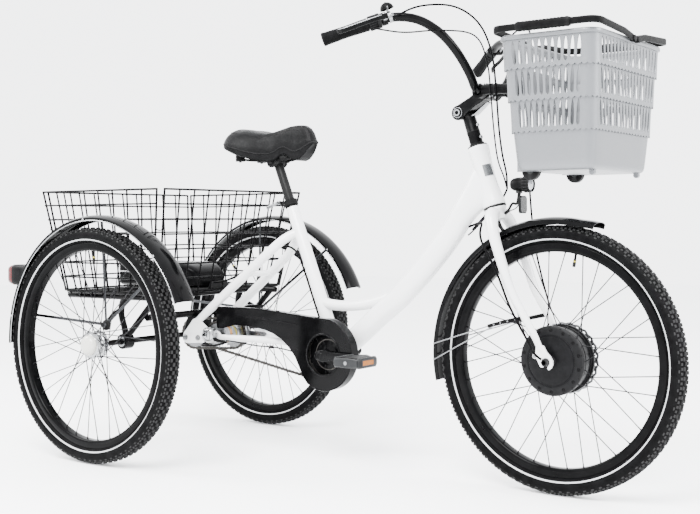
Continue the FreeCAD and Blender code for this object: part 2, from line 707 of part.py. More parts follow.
# ---------------------------------------------------------------- rear subframe
ry, rz, rr9 = S["rail_y"].v, S["rail_z"].v, S["rail_radius"].v
RZ = R.v
housings = []
for s in (-1, 1):
    b = turned("axle_bearing_%s" % ("right" if s < 0 else "left"), [
        (ax + S["run_gap"], -16.0), (22.0, -16.0), (22.0, 16.0), (ax + S["run_gap"], 16.0)])
    at(b, (0.0, S["rail_y"] * s, R), along((0, 1, 0)))
    housings.append(b)
node(group("axle_bearings", housings))
sub = []
for s in (-1, 1):
    hous = Part.makeCylinder(22.0, 60, V(0, s * ry - 30, RZ), V(0, 1, 0))
    rail = rod((-242, s * ry, rz), (142, s * ry, rz), rr9)
    up = tube([(0, s * ry, 340), (-6, s * ry, 372), (-20, s * ry, 404), (-14, s * ry, 432), (-2, s * ry, 456)], 10.0).cut(hous).cut(rail)
    up = max(up.Solids, key=lambda q: q.Volume)
    fwd = rod((0, s * ry, RZ), (122, s * ry, rz), 9.0).cut(hous).cut(rail).cut(up)
    fwd = max(fwd.Solids, key=lambda q: q.Volume)
    sub += [rail, up, fwd]
rails = comp(sub)
cross = []
for x in (-150, 60):
    c = rod((x, -ry, rz), (x, ry, rz), 8.0).cut(rails)
    cross.append(max(c.Solids, key=lambda q: q.Volume))
low = rod((84, -ry, 400), (84, ry, 400), 10.0).cut(rails)
low = max(low.Solids, key=lambda q: q.Volume)
lugs = []
for s in (-1, 1):
    y0 = s * (dy - pt / 2 - 3.15) - 3.0
    w = [V(46, y0, 316), V(122, y0, 316), V(124, y0, 340), V(100, y0, 408), V(68, y0, 408), V(44, y0, 340)]
    p = Part.Face(Part.makePolygon(w + [w[0]])).extrude(V(0, 6, 0))
    p = p.cut(Part.makeCylinder(10.0, 500, V(84, -250, 400), V(0, 1, 0)))
    for hx, hz in ((58, 328), (109, 329)):
        p = p.cut(Part.makeCylinder(5.05, 500, V(hx, -250, hz), V(0, 1, 0)))
    lugs.append(max(p.cut(ss).Solids, key=lambda q: q.Volume))
shape_node("rear_subframe", comp([rails] + cross + [low] + lugs))

# ---------------------------------------------------------------- rear basket
bz, tz = S["basket_floor_z"], S["basket_top_z"]
wr = S["wire"]


def cells(width_low, width_high, height, pitch_x, rows, bar):
    """Openings of a trapezoid wire panel, as polygons in panel coordinates."""
    n = int(round(2 * width_low / pitch_x))
    out = []
    for j in range(rows):
        v0 = height * j / rows + bar / 2
        v1 = height * (j + 1) / rows - bar / 2
        if j == 0:
            v0 = bar
        if j == rows - 1:
            v1 = height - bar
        for i in range(n):
            def u(v, k):
                w = width_low + (width_high - width_low) * v / height
                return -w + 2 * w * k / n
            e0 = bar if i == 0 else bar / 2
            e1 = bar if i == n - 1 else bar / 2
            out.append([(u(v0, i) + e0, v0), (u(v0, i + 1) - e1, v0), (u(v1, i + 1) - e1, v1), (u(v1, i) + e0, v1)])
    return out


def grid_panel(width_low, width_high, height, pitch, rows, t):
    outer = Part.makePolygon([V(*p, 0) for p in [(-width_low, 0), (width_low, 0), (width_high, height), (-width_high, height), (-width_low, 0)]])
    face = Part.Face(outer)
    inner = [Part.Face(Part.makePolygon([V(*p, 0) for p in c + c[:1]])) for c in cells(width_low, width_high, height, pitch, rows, t)]
    face = face.cut(Part.makeCompound(inner))
    return face.Faces[0].extrude(V(0, 0, t))


wv = wr.v
by, ty_ = S["basket_bottom_half"].v, S["basket_top_half"].v
height = tz.v - bz.v
panels = []
for s in (-1, 1):
    # side panels lean outwards from the floor rails
    slope = math.atan2(ty_ - by, height)
    ln = height / math.cos(slope)
    p = grid_panel(190.0, 244.0, ln, 45.0, 7, wv)
    m = FreeCAD.Matrix(1, 0, 0, -50.0, 0, s * math.sin(slope), -s * math.cos(slope), s * by, 0, math.cos(slope), math.sin(slope), bz.v + 2.0, 0, 0, 0, 1)
    q = p.transformGeometry(m) if False else p.copy()
    pl = FreeCAD.Placement(V(-48.0, s * by, bz.v + 2.0), FreeCAD.Rotation(V(1, 0, 0), 90 - s * math.degrees(slope)))
    if s > 0:
        pl = FreeCAD.Placement(V(-48.0, s * by + wv, bz.v + 2.0), FreeCAD.Rotation(V(1, 0, 0), 90 - math.degrees(slope)))
    else:
        pl = FreeCAD.Placement(V(-48.0, s * by, bz.v + 2.0), FreeCAD.Rotation(V(1, 0, 0), 90 + math.degrees(slope)))
    q.Placement = pl
    panels.append(q)
for x_low, x_top, s in ((146.0, 210.0, 1), (-246.0, -291.0, -1)):
    slope = math.atan2(abs(x_top - x_low), height)
    ln = height / math.cos(slope)
    p = grid_panel(254.0, 291.0, ln, 50.0, 7, wv)
    q = p.copy()
    r1 = FreeCAD.Rotation(V(0, 0, 1), 90).multiply(FreeCAD.Rotation(V(1, 0, 0), 90 + s * math.degrees(slope)))
    q.Placement = FreeCAD.Placement(V(x_low - (wv if s > 0 else 0.0), 0, bz.v + 2.0), r1)
    panels.append(q)
shape_node("rear_basket_panels", comp(panels))
fl = grid_panel(190.0, 190.0, 520.0, 54.0, 10, wv)
fl.Placement = FreeCAD.Placement(V(-48.0, -260.0, bz.v - 2.0), FreeCAD.Rotation())
cradle = Part.makeBox(330, 120, 6, V(-205, -60, bz.v + 2.0))
cradle = cradle.fuse(Part.makeBox(12, 120, 44, V(125, -60, bz.v + 2.0)))
shape_node("rear_basket_floor", comp([fl, one(cradle)]))

# battery, rounded front end, standing in its cradle
bl, bw, bh = S["battery_length"], S["battery_width"], S["battery_height"]
bat = box("battery_case", (bl - 24, bw, bh), (-222.0, -(bw / 2), bz + 8.3))
node(bat)

# ---------------------------------------------------------------- rear fenders
fr = S["fender_radius"].v
th = S["shell_thickness"].v
fh = S["fender_half"].v


def arc_shell(cx0, cz0, radius, half, skirt, a0, a1, y0):
    """Shallow channel swept round a wheel: crown band with two skirts."""
    prof = [V(radius - skirt, 0, -half), V(radius - 5, 0, -half), V(radius, 0, -half + 7), V(radius, 0, half - 7), V(radius - 5, 0, half), V(radius - skirt, 0, half),
            V(radius - skirt, 0, half - th), V(radius - 5 - th * 0.4, 0, half - th), V(radius - th, 0, half - 7 - th * 0.6), V(radius - th, 0, -half + 7 + th * 0.6),
            V(radius - 5 - th * 0.4, 0, -half + th), V(radius - skirt, 0, -half + th)]
    f = Part.Face(Part.makePolygon(prof + [prof[0]]))
    s = f.revolve(V(0, 0, 0), V(0, 0, 1), a1 - a0)
    # body: x,y in the wheel plane; angle measured from +X towards +Z
    s.Placement = FreeCAD.Placement(V(cx0, y0, cz0), FreeCAD.Rotation(V(1, 0, 0), 90)).multiply(
        FreeCAD.Placement(V(0, 0, 0), FreeCAD.Rotation(V(0, 0, 1), a0)))
    return s


fend = [arc_shell(33.0, 327.1, fr, fh, 20.0, 22.0, 181.0, s * T.v) for s in (-1, 1)]
shape_node("rear_fenders", comp(fend))
stays = []
for s in (-1, 1):
    yk = s * 322.0
    yf = s * (T.v - fh - 1.7)
    for ang in (168.0, 95.0, 46.0):
        a = math.radians(ang)
        # flat bar from the knuckle out to the inner skirt of the fender
        p = V(6 + 10 * math.cos(a), yk, 388 + 10 * math.sin(a) - 6)
        q = V(33.0 + (fr - 7) * math.cos(a), yf, 327.1 + (fr - 7) * math.sin(a))
        stays.append(Part.makeCylinder(3.0, (q - p).Length, p, q - p))
    kn = Part.makeCylinder(15.0, 9.0, V(6, yk - 4.5, 382), V(0, 1, 0))
    arm = Part.makeBox(12, 5, 60, V(0, yk - 2.5, 325)).cut(Part.makeCylinder(10.5, 30, V(0, yk - 15, RZ), V(0, 1, 0)))
    arm2 = rod((6, yk, 382), (-13, s * ry, 420), 5.0).cut(comp([sub[1 if s < 0 else 4]]))
    arm2 = max(arm2.Solids, key=lambda q: q.Volume)
    k = kn.fuse(arm2)
    for i in range(3):
        k = k.fuse(stays[-3 + i]) if False else k
    st = stays[-3:]
    del stays[-3:]
    for b in st:
        k = k.fuse(b)
    stays.append(max(k.cut(fend[0 if s < 0 else 1]).Solids, key=lambda q: q.Volume))
shape_node("rear_fender_stays", comp(stays))
tl = Part.makeBox(106, 66, 60, V(-352, -T.v - 33, 490))
tl = tl.cut(Part.makeBox(70, 80, 80, V(-295, -T.v - 40, 480)).cut(Part.makeBox(70, 24, 40, V(-295, -T.v - 12, 500))))
shape_node("tail_light", comp([one(tl.cut(Part.makeCylinder(fr + 0.3, 120, V(33.0, -T.v - 60, 327.1), V(0, 1, 0))))]))

# ---------------------------------------------------------------- chainguard
gy0, gy1 = -69.0, -38.5
disc = Part.makeCylinder(99.0, 3.0, V(cx, gy0, cz + 1), V(0, 1, 0))
armo = [(190, 360), (188, 416), (200, 424), (345, 424), (490, 410), (560, 402), (584, 400), (584, 340), (500, 352), (430, 358)]
armp = Part.Face(Part.makePolygon([V(x, gy0, z) for x, z in armo + armo[:1]])).extrude(V(0, 3, 0))
face_plate = disc.fuse(armp).cut(Part.makeCylinder(54.0, 20, V(cx, gy0 - 5, cz + 1), V(0, 1, 0)))
lip = Part.makeTorus(55.0, 2.6, V(cx, gy0 + 0.5, cz + 1), V(0, 1, 0))
rim_wall = Part.makeCylinder(99.0, gy1 - gy0, V(cx, gy0, cz + 1), V(0, 1, 0)).cut(
    Part.makeCylinder(96.5, gy1 - gy0 + 2, V(cx, gy0 - 1, cz + 1), V(0, 1, 0)))
# wall is open behind, where the frame tubes pass, and below for the chain
rim_wall = rim_wall.cut(Part.makeBox(200, 60, 130, V(cx - 200, gy0 + 3, cz - 100))).cut(Part.makeBox(200, 60, 110, V(cx - 200 + 5, gy0 + 3, cz - 5)))
roof = [(188, 421), (200, 424), (345, 424), (490, 410), (584, 400), (584, 397), (490, 407), (345, 421), (201, 421)]
roofp = Part.Face(Part.makePolygon([V(x, gy0, z) for x, z in roof + roof[:1]])).extrude(V(0, gy1 - gy0, 0))
guard = face_plate.fuse(lip).fuse(rim_wall).fuse(roofp)
stay_clear = Part.makeCompound([seat_solid, Part.makeCylinder(30, 100, V(cx, -32, cz), V(0, 1, 0))])
guard = guard.cut(stay_clear)
guard = guard.removeSplitter()
guard = max(guard.Solids, key=lambda q: q.Volume)
shape_node("chainguard", guard)

# ---------------------------------------------------------------- chains


def belt(x1, z1, r1, x2, z2, r2, y, w, h):
    """Closed chain band round two sprockets, clear of their rims."""
    d = math.hypot(x2 - x1, z2 - z1)
    base = math.atan2(z2 - z1, x2 - x1)

    def loop(e):
        ra, rb = r1 + e, r2 + e
        g = math.acos((ra - rb) / d)
        pts = []
        for sgn in (1, -1):
            a = base + sgn * g
            pts.append((V(x1 + ra * math.cos(a), y, z1 + ra * math.sin(a)), V(x2 + rb * math.cos(a), y, z2 + rb * math.sin(a))))
        (a1, b1), (a2, b2) = pts
        m1 = V(x1 - ra * math.cos(base), y, z1 - ra * math.sin(base))
        m2 = V(x2 + rb * math.cos(base), y, z2 + rb * math.sin(base))
        return Part.Wire([Part.LineSegment(a1, b1).toShape(), Part.Arc(b1, m2, b2).toShape(),
                          Part.LineSegment(b2, a2).toShape(), Part.Arc(a2, m1, a1).toShape()])
    f = Part.Face(loop(h)).cut(Part.Face(loop(-1.9)))
    s = f.Faces[0].extrude(V(0, w, 0))
    s.translate(V(0, -w / 2, 0))
    return s


ch1 = belt(cx, cz, S["ring_radius"].v, HX.v, HZ.v, S["cog_radius"].v, cl.v, 7.0, 3.5)
ch2 = belt(HX.v, HZ.v, S["drive_radius"].v, 0.0, RZ, S["drive_radius"].v, sl.v, 7.0, 3.5)
shape_node("drive_chains", comp([ch1, ch2]))

# ---------------------------------------------------------------- cranks
cl_ = S["crank_length"]
rb = S["ring_radius"] - 2.5
spindle = turned("spindle", [
    (0.0, -80.0), (8.5, -80.0), (8.5, -36.0), (8.5, 80.0), (0.0, 80.0)])
at(spindle, (S["crank_x"], 0.0, S["crank_z"]), along((0, 1, 0)))
ringw = plate("chainring", (0.0, 0.0, rb), 3.6, round_holes=[(0.0, 0.0, 8.5)] + [
    (46 * math.cos(math.radians(72 * i + 18)), 46 * math.sin(math.radians(72 * i + 18)), 15.0) for i in range(5)])
at(ringw, (S["crank_x"], cl, S["crank_z"]), along((0, 1, 0)))
doc.recompute()
arms = []
for s, sx in ((-1, 1), (1, -1)):
    y0 = -86.0 if s < 0 else 72.0
    xe = cx + sx * cl_.v
    hub = Part.makeCylinder(17.0, 14.0, V(cx, y0, cz), V(0, 1, 0))
    end = Part.makeCylinder(13.0, 14.0, V(xe, y0, cz), V(0, 1, 0))
    w = [V(cx, y0, cz - 14), V(xe, y0, cz - 10), V(xe, y0, cz + 10), V(cx, y0, cz + 14)]
    mid = Part.Face(Part.makePolygon(w + [w[0]])).extrude(V(0, 14, 0))
    a = hub.fuse(end).fuse(mid)
    a = a.cut(Part.makeCylinder(5.0 + 0.06, 40, V(xe, y0 - 10, cz), V(0, 1, 0)))
    arms.append(a.removeSplitter())
boss = Part.makeCylinder(13.0, 24.3, V(cx, -71.9, cz), V(0, 1, 0)).cut(Part.makeCylinder(8.5, 60, V(cx, -90, cz), V(0, 1, 0)))
cr_solids = [spindle.Shape, ringw.Shape, boss]
cut_arms = []
for a in arms:
    cut_arms.append(a.cut(spindle.Shape).cut(boss))
shape_node("crankset", comp(cr_solids + cut_arms))


def pedal(label, s, sx):
    xe = cx + sx * cl_.v
    y_in = 86.0
    pin_in = 73.0
    rodp = Part.makeCylinder(5.0, 100, V(xe, s * pin_in, cz), V(0, s, 0))
    cage = Part.makeBox(84, 92, 26, V(xe - 42, (s * (y_in + 4.0)) if s > 0 else -(y_in + 4.0 + 92), cz - 13))
    core = Part.makeBox(60, 60, 30, V(xe - 30, (s * (y_in + 16)) if s > 0 else -(y_in + 16 + 60), cz - 15))
    for i in (-1, 1):
        cage = cage.cut(core.translated(V(i * 46.0, 0, 0)))
    p = cage.fuse(rodp)
    shape_node(label, comp([one(p)]))


pedal("pedal_right", -1, 1)
pedal("pedal_left", 1, -1)

# ---------------------------------------------------------------- seat
post_dir = st_dir * -1
post_top = st_top + post_dir * 128
post = Part.makeCylinder(S["post_radius"].v, 330, post_top - post_dir * 330, post_dir)
head_block = Part.makeBox(44, 46, 26, V(post_top.x - 24, -23, post_top.z - 6))
post = post.fuse(head_block)
railz = post_top.z + 12
rails2 = []
for s in (-1, 1):
    rails2.append(tube([(post_top.x + 104, s * 11, railz + 23), (post_top.x + 62, s * 20, railz), (post_top.x - 70, s * 22, railz), (post_top.x - 108, s * 38, railz + 12)], 3.6).cut(post))
els = [Part.makeCylinder(14.0, 24, V(post_top.x - 106, s * 46, 847), V(0, 0, 1)) for s in (-1, 1)]
post = one(post.removeSplitter())
rr2 = []
for r_ in rails2:
    big = [q for q in r_.Solids if q.Volume > 200]
    for q in big:
        rr2.append(q.cut(els[0]).cut(els[1]))
shape_node("seatpost", comp([post] + rr2 + els))

sn, sbk = 507.0, 507.0 - S["saddle_length"].v
half = S["saddle_half"].v
out = [(sn, 0), (sn - 6, 14), (sn - 30, 20), (sn - 90, 28), (sn - 135, 48), (sn - 170, 84), (sn - 205, half - 6), (sn - 235, half), (sbk + 12, half - 16), (sbk, half - 48)]
loop = [V(x, -y, 872) for x, y in out] + [V(x, y, 872) for x, y in reversed(out[1:])]
sad = Part.Face(Part.makePolygon(loop + [loop[0]])).extrude(V(0, 0, 74))
sad = sad.cut(Part.makeBox(300, 300, 60, V(0, 0, 0)).translated(V(0, -150, 0)))
wedge = Part.makeBox(200, 260, 60, V(0, -130, -60))
wedge.Placement = FreeCAD.Placement(V(330, 0, 906), FreeCAD.Rotation(V(0, 1, 0), -13))
sad = sad.cut(wedge)
shape_node("saddle", max(sad.Solids, key=lambda q: q.Volume))

# quick-release lever at the seat clamp
lp = st_top - st_dir * 9 + V(-34, 0, 0)
lev = tube([(lp.x - 1.0, -13.0, lp.z), (lp.x - 4.0, -30.0, lp.z - 4), (lp.x - 30, -36.0, lp.z - 12), (lp.x - 52, -34.0, lp.z - 20)], 4.0)
levb = Part.makeCylinder(6.5, 12.0, V(lp.x, -12.0, lp.z - 6), V(0, 0, 1))
shape_node("seat_clamp_lever", comp([one(lev.fuse(levb))]))

# ---------------------------------------------------------------- fork
fk = []
steer = Part.makeCylinder(sb.v, 214.0, V(*hp(-12)), HU)
crown_race = Part.makeCylinder(27.0, 10.0, V(*hp(-16.4)), HU)
crown = Part.makeBox(44, 118, 34, V(-22, -59, -34))
crown.Placement = FreeCAD.Placement(V(*hp(-14, 0, 4)), along(tuple(HU)))
legs = []
fy = S["fork_half"].v
for s in (-1, 1):
    pts = [(1106, s * 40, 668), (1119, s * 55, 628), (1141, s * fy, 566), (1163, s * fy, 503), (1200, s * fy, 443), (1236, s * (fy - 1), 381), (1254, s * (fy - 1), 347)]
    l = tube(pts, 12.0)
    legs.append(l)
fork = steer.fuse(crown_race).fuse(crown)
for l in legs:
    fork = fork.fuse(l)
drops = []
for s in (-1, 1):
    y0 = s * (fy - 1) - 3.5
    w = [V(1243, y0, 356), (V(1266, y0, 356)), V(1276, y0, 332), V(1268, y0, 313), V(1250, y0, 312), V(1240, y0, 330)]
    d = Part.Face(Part.makePolygon(w + [w[0]])).extrude(V(0, 7, 0)).cut(Part.makeCylinder(6.0, 30, V(FX.v, y0 - 10, RZ), V(0, 1, 0)))
    fork = fork.fuse(d)
fork = fork.cut(Part.makeCylinder(front_in := S["front_fender_radius"].v + 1.2, 70, V(FX.v, -35, RZ), V(0, 1, 0)))
fork = fork.cut(Part.makeCylinder(6.0, 30, V(FX.v, -80, RZ), V(0, 1, 0))).cut(Part.makeCylinder(6.0, 30, V(FX.v, 50, RZ), V(0, 1, 0)))
for y0, y1 in ((-75.5, -65.0), (65.0, 75.5)):
    fork = fork.cut(Part.makeCylinder(10.6, y1 - y0, V(FX.v, y0, RZ), V(0, 1, 0)))
fork = fork.cut(Part.makeCylinder(S["motor_radius"].v + 2.0, 2 * (mh.v + 8.0), V(FX.v, -(mh.v + 8.0), RZ), V(0, 1, 0)))
fork = max(fork.Solids, key=lambda q: q.Volume)
shape_node("fork", fork)
eye = []
for s in (-1, 1):
    y0 = s * (fy - 1) - 2.5
    e = Part.makeCylinder(6.5, 5.0, V(1232, y0, 343), V(0, 1, 0)).fuse(Part.makeBox(14, 5, 8, V(1232, y0, 340)))
    e = e.cut(Part.makeCylinder(2.5, 30, V(1232, y0 - 10, 343), V(0, 1, 0))).cut(fork)
    eye.append(max(e.Solids, key=lambda q: q.Volume))
shape_node("fork_eyelets", comp(eye))

# front fender and its wire stays
ff = arc_shell(FX.v, RZ, S["front_fender_radius"].v, 32.0, 20.0, 72.0, 192.0, 0.0)
shape_node("front_fender", comp([ff]))
joined = []
for s in (-1, 1):
    a = math.radians(176.0)
    q = (FX.v + 344 * math.cos(a), s * 34.0, RZ + 344 * math.sin(a))
    a2 = math.radians(183.0)
    q2 = (FX.v + 344 * math.cos(a2), s * 34.0, RZ + 344 * math.sin(a2))
    j = tube([(1204, s * 66.0, 434), (1150, s * 68.0, 422), (1104, s * 67.0, 410)], 4.0)
    j = j.fuse(rod((1106.0, s * 67.0, 410.4), q, 1.6)).fuse(rod((1128.0, s * 67.5, 416.0), q2, 1.6))
    joined.append(one(j.cut(fork)))
shape_node("front_fender_stays", comp(joined))

# headlight on a wire bracket from the crown, reflector plate below it
hl = Part.makeCylinder(17.5, 50.0, V(1136, 0, 762), V(1, 0, -0.06))
hl = hl.fuse(Part.makeCylinder(20.0, 16.0, V(1176, 0, 759.6), V(1, 0, -0.06)))
brk = tube([hp(-26, 0, 27.0), hp(-10, 0, 50.0), (1150, 0, 716), (1156, 0, 748)], 3.5)
brk = brk.cut(fork)
brk = max(brk.Solids, key=lambda q: q.Volume)
refl = Part.makeBox(7, 36, 44, V(1163, -18, 688))
arm = Part.makeBox(20, 8, 6, V(1146, -4, 708))
h_all = hl.fuse(brk).fuse(arm).fuse(refl)
shape_node("headlight", comp([h_all.removeSplitter()]))

# disc brake caliper on the left leg
cal = Part.makeBox(34, 22, 54, V(0, 0, 0))
cal.Placement = FreeCAD.Placement(V(1178, 34, 356), FreeCAD.Rotation(V(0, 1, 0), 28))
cal = cal.cut(Part.makeCylinder(rr.v + 2.5, 5.0, V(FX.v, mh.v + 1.9, RZ), V(0, 1, 0))).cut(
    Part.makeCylinder(S["motor_radius"].v + 3.0, 2 * (mh.v + 0.9), V(FX.v, -(mh.v + 0.9), RZ), V(0, 1, 0))).cut(fork)
cal = max(cal.Solids, key=lambda q: q.Volume)
shape_node("brake_caliper", cal)

# ---------------------------------------------------------------- stem and bar
PV = V(993, 0, 947)
CB = V(1066, 0, 996)
riser = Part.makeCylinder(17.2, 74.0, V(*hp(HN.v + 6.4)), HU)
riser = riser.fuse(Part.makeCone(17.2, 14.5, 14.0, V(*hp(HN.v + 80.4)), HU))
neck = rod(hp(HN.v + 70), (PV.x, 0, PV.z), 14.0)
barrel = Part.makeCylinder(17.0, 34.0, V(PV.x, -17, PV.z), V(0, 1, 0))
riser = riser.fuse(neck).fuse(barrel)
for ds in (22, 46):
    p = hp(HN.v + 6.4 + ds, -8.0, 17.0)
    riser = riser.fuse(Part.makeBox(18, 26, 12, V(p[0] - 6, -13, p[2] - 6)))
    riser = riser.fuse(Part.makeCylinder(5.5, 34, V(p[0] + 8, -17, p[2]), V(0, 1, 0)))
riser = riser.cut(fork).cut(Part.makeCylinder(6.5, 60, V(PV.x, -30, PV.z), V(0, 1, 0)))
riser = max(riser.Solids, key=lambda q: q.Volume)
shape_node("stem_riser", riser.removeSplitter())
arm = None
for s in (-1, 1):
    y0 = 17.8 if s > 0 else -25.8
    c = Part.makeCylinder(19.0, 8.0, V(PV.x, y0, PV.z), V(0, 1, 0))
    u = (CB - PV).normalize()
    n = V(-u.z, 0, u.x)
    w = [PV + n * 17, PV - n * 17, CB - n * 13, CB + n * 13]
    c = c.fuse(Part.Face(Part.makePolygon([V(q.x, y0, q.z) for q in w + w[:1]])).extrude(V(0, 8, 0)))
    arm = c if arm is None else arm.fuse(c)
pin = Part.makeCylinder(6.4, 51.6, V(PV.x, -25.8, PV.z), V(0, 1, 0))
u = (CB - PV).normalize()
mid = Part.makeBox(36, 51.6, 26, V(0, -25.8, -13))
mid.Placement = FreeCAD.Placement(PV + u * 40, FreeCAD.Rotation(V(1, 0, 0), V(u.x, 0, u.z)))
clamp = Part.makeCylinder(19.0, 44.0, V(CB.x, -22, CB.z), V(0, 1, 0))
arm = arm.fuse(pin).fuse(mid).fuse(clamp)
arm = arm.cut(Part.makeCylinder(S["bar_radius"].v, 80, V(CB.x, -40, CB.z), V(0, 1, 0)))
# pocket for the release lever under the arm
l0 = V(1073, 0, 962)
arm = max(arm.Solids, key=lambda q: q.Volume)
shape_node("stem_arm", arm.removeSplitter())
nn = V(u.z, 0, -u.x)
ls = PV + u * 78 + nn * 23.0
le = PV + u * 36 + nn * 25.5
slev = Part.makeBox((ls - le).Length, 20, 5, V(0, -10, -2.5))
slev.Placement = FreeCAD.Placement(le, FreeCAD.Rotation(V(1, 0, 0), ls - le))
slev = slev.fuse(Part.makeCylinder(3.6, 20, V(ls.x, -10, ls.z), V(0, 1, 0)))
slev = slev.cut(arm)
slev = max(slev.Solids, key=lambda q: q.Volume)
shape_node("stem_lever", slev)

RB = [(1066, 0, 996), (1066, 58, 996), (1073, 92, 1028), (1066, 140, 1080), (1044, 182, 1126), (1004, 222, 1158), (953, 256, 1164), (824, 360, 1106)]
bar = None
for s in (-1, 1):
    pts = [(x, s * y, z) for x, y, z in RB]
    pts[0] = (1066, s * -1.0, 996)
    b = tube(pts, S["bar_radius"].v)
    bar = b if bar is None else bar.fuse(b)
bar = max(bar.Solids, key=lambda q: q.Volume)
shape_node("handlebar", bar)


def on_grip(s, d, off=0.0, up=0.0):
    """Point d mm inboard of the bar end; off forwards/outwards, up along the third axis."""
    e = V(824, s * 360, 1106)
    g = (V(824, s * 360, 1106) - V(953, s * 256, 1164)).normalize()
    f = V(0.622, s * 0.782, 0.0)
    f = (f - g * f.dot(g)).normalize()
    n = g.cross(f) if s < 0 else f.cross(g)
    return e - g * d + f * off + n * up, g, f, n


grips = []
br_ = S["bar_radius"].v
for s in (-1, 1):
    e, g, f, n = on_grip(s, 0)
    grip_len = 118.0 if s > 0 else 112.0
    c = Part.makeCylinder(S["grip_radius"].v, grip_len, e - g * grip_len, g).cut(Part.makeCylinder(br_, 400, e - g * 380, g))
    cap = Part.makeCylinder(S["grip_radius"].v, 4.0, e, g)
    grips.append(one(c.fuse(cap)))
shape_node("grips", comp(grips))
e, g, f, n = on_grip(-1, 114.0)
tw = Part.makeCylinder(18.5, 30.0, e - g * 30.0, g).cut(Part.makeCylinder(br_ + 0.06, 90, e - g * 60, g))
shape_node("twist_shifter", tw)
fit = []
lever_data = []
for s in (-1, 1):
    d0 = 146.0 if s < 0 else 120.0
    e, g, f, n = on_grip(s, d0)
    ring = Part.makeCylinder(16.0, 14.0, e - g * 14.0, g)
    lug = Part.makeBox(26, 14, 16, V(0, -14, -8))
    rot = FreeCAD.Rotation(FreeCAD.Matrix(f.x, g.x, f.cross(g).x, 0, f.y, g.y, f.cross(g).y, 0, f.z, g.z, f.cross(g).z, 0, 0, 0, 0, 1))
    lug.Placement = FreeCAD.Placement(e, rot)
    body_ = ring.fuse(lug).cut(Part.makeCylinder(br_, 90, e - g * 60, g))
    pv = e - g * 7.0 + f * 33.0
    fit.append(one(body_))
    lever_data.append((s, pv, g, f, n, rot, e))
# bell on the right side of the bar
e, g, f, n = on_grip(-1, 164.0)
up = V(0, 0, 1)
up = (up - g * up.dot(g)).normalize()
bell_ring = Part.makeCylinder(14.5, 8.0, e - g * 8.0, g).cut(Part.makeCylinder(br_, 90, e - g * 60, g))
bp = e - g * 4.0
bell_post = Part.makeCylinder(3.5, 10.0, bp + up * 12.5, up)
dome = Part.makeSphere(17.0, V(0, 0, 0), V(0, 0, 1), 0, 90, 360)
dome.Placement = FreeCAD.Placement(bp + up * 20.0, FreeCAD.Rotation(V(0, 0, 1), up))
bell = bell_ring.fuse(bell_post).fuse(dome)
fit.append(one(bell))
fit = [max(q.cut(bar).Solids, key=lambda w_: w_.Volume) for q in fit]
shape_node("bar_fittings", comp(fit))
for (s, pv, g, f, n, rot, e) in lever_data:
    name = "brake_lever_right" if s < 0 else "brake_lever_left"
    piv = Part.makeCylinder(6.0, 14.0, pv - n * 7.0, n)
    a0 = pv
    pts = [a0, a0 + g * 14 + f * 6, a0 + g * 60 + f * 9, a0 + g * 104 + f * 4, a0 + g * 118 + f * 10]
    bl_ = tube([tuple(p) for p in pts], 5.0)
    lv = piv.fuse(bl_)
    fitc = comp(fit)
    lv = lv.cut(Part.makeCylinder(16.6, 16.0, e - g * 15.0, g))
    keep = max(lv.Solids, key=lambda q: q.Volume)
    for q in fit[:2]:
        keep = keep.cut(q)
        keep = max(keep.Solids, key=lambda w_: w_.Volume)
    shape_node(name, keep)
    print(name, "pivot", [round(c, 2) for c in pv], "axis", [round(c, 4) for c in n])
e, g, f, n = on_grip(-1, 0)
print("grip axis right", [round(c, 5) for c in g], "point", [round(c, 2) for c in e])

# adapter that carries the front basket on the bar
ad = None
for s in (-1, 1):
    ringa = Part.makeCylinder(18.0, 22.0, V(CB.x, s * 26.2 if s > 0 else -48.2, CB.z), V(0, 1, 0))
    ringa = ringa.fuse(Part.makeCylinder(17.0, 118, V(CB.x + 2, s * 37, CB.z + 2), V(1, 0, 0)))
    ad = ringa if ad is None else ad.fuse(ringa)
plate_ = Part.makeBox(12, 120, 84, V(1180, -60, 952))
ad = ad.fuse(plate_).cut(Part.makeCylinder(br_, 200, V(CB.x, -100, CB.z), V(0, 1, 0))).cut(bar).cut(arm)
shape_node("basket_carrier", max(ad.Solids, key=lambda q: q.Volume).removeSplitter())

# ---------------------------------------------------------------- front basket


def rounded(x0, x1, hy, z, r):
    a = [V(x0, -hy + r, z), V(x0, hy - r, z), V(x0 + r, hy, z), V(x1 - r, hy, z), V(x1, hy - r, z), V(x1, -hy + r, z), V(x1 - r, -hy, z), V(x0 + r, -hy, z)]
    k = r * (1 - math.sqrt(0.5))
    c = [(V(x0, hy - r, z), V(x0 + k, hy - k, z), V(x0 + r, hy, z)), (V(x1 - r, hy, z), V(x1 - k, hy - k, z), V(x1, hy - r, z)),
         (V(x1, -hy + r, z), V(x1 - k, -hy + k, z), V(x1 - r, -hy, z)), (V(x0 + r, -hy, z), V(x0 + k, -hy + k, z), V(x0, -hy + r, z))]
    e = [Part.LineSegment(a[0], a[1]).toShape(), Part.Arc(*c[0]).toShape(), Part.LineSegment(a[2], a[3]).toShape(), Part.Arc(*c[1]).toShape(),
         Part.LineSegment(a[4], a[5]).toShape(), Part.Arc(*c[2]).toShape(), Part.LineSegment(a[6], a[7]).toShape(), Part.Arc(*c[3]).toShape()]
    return Part.Wire(e)


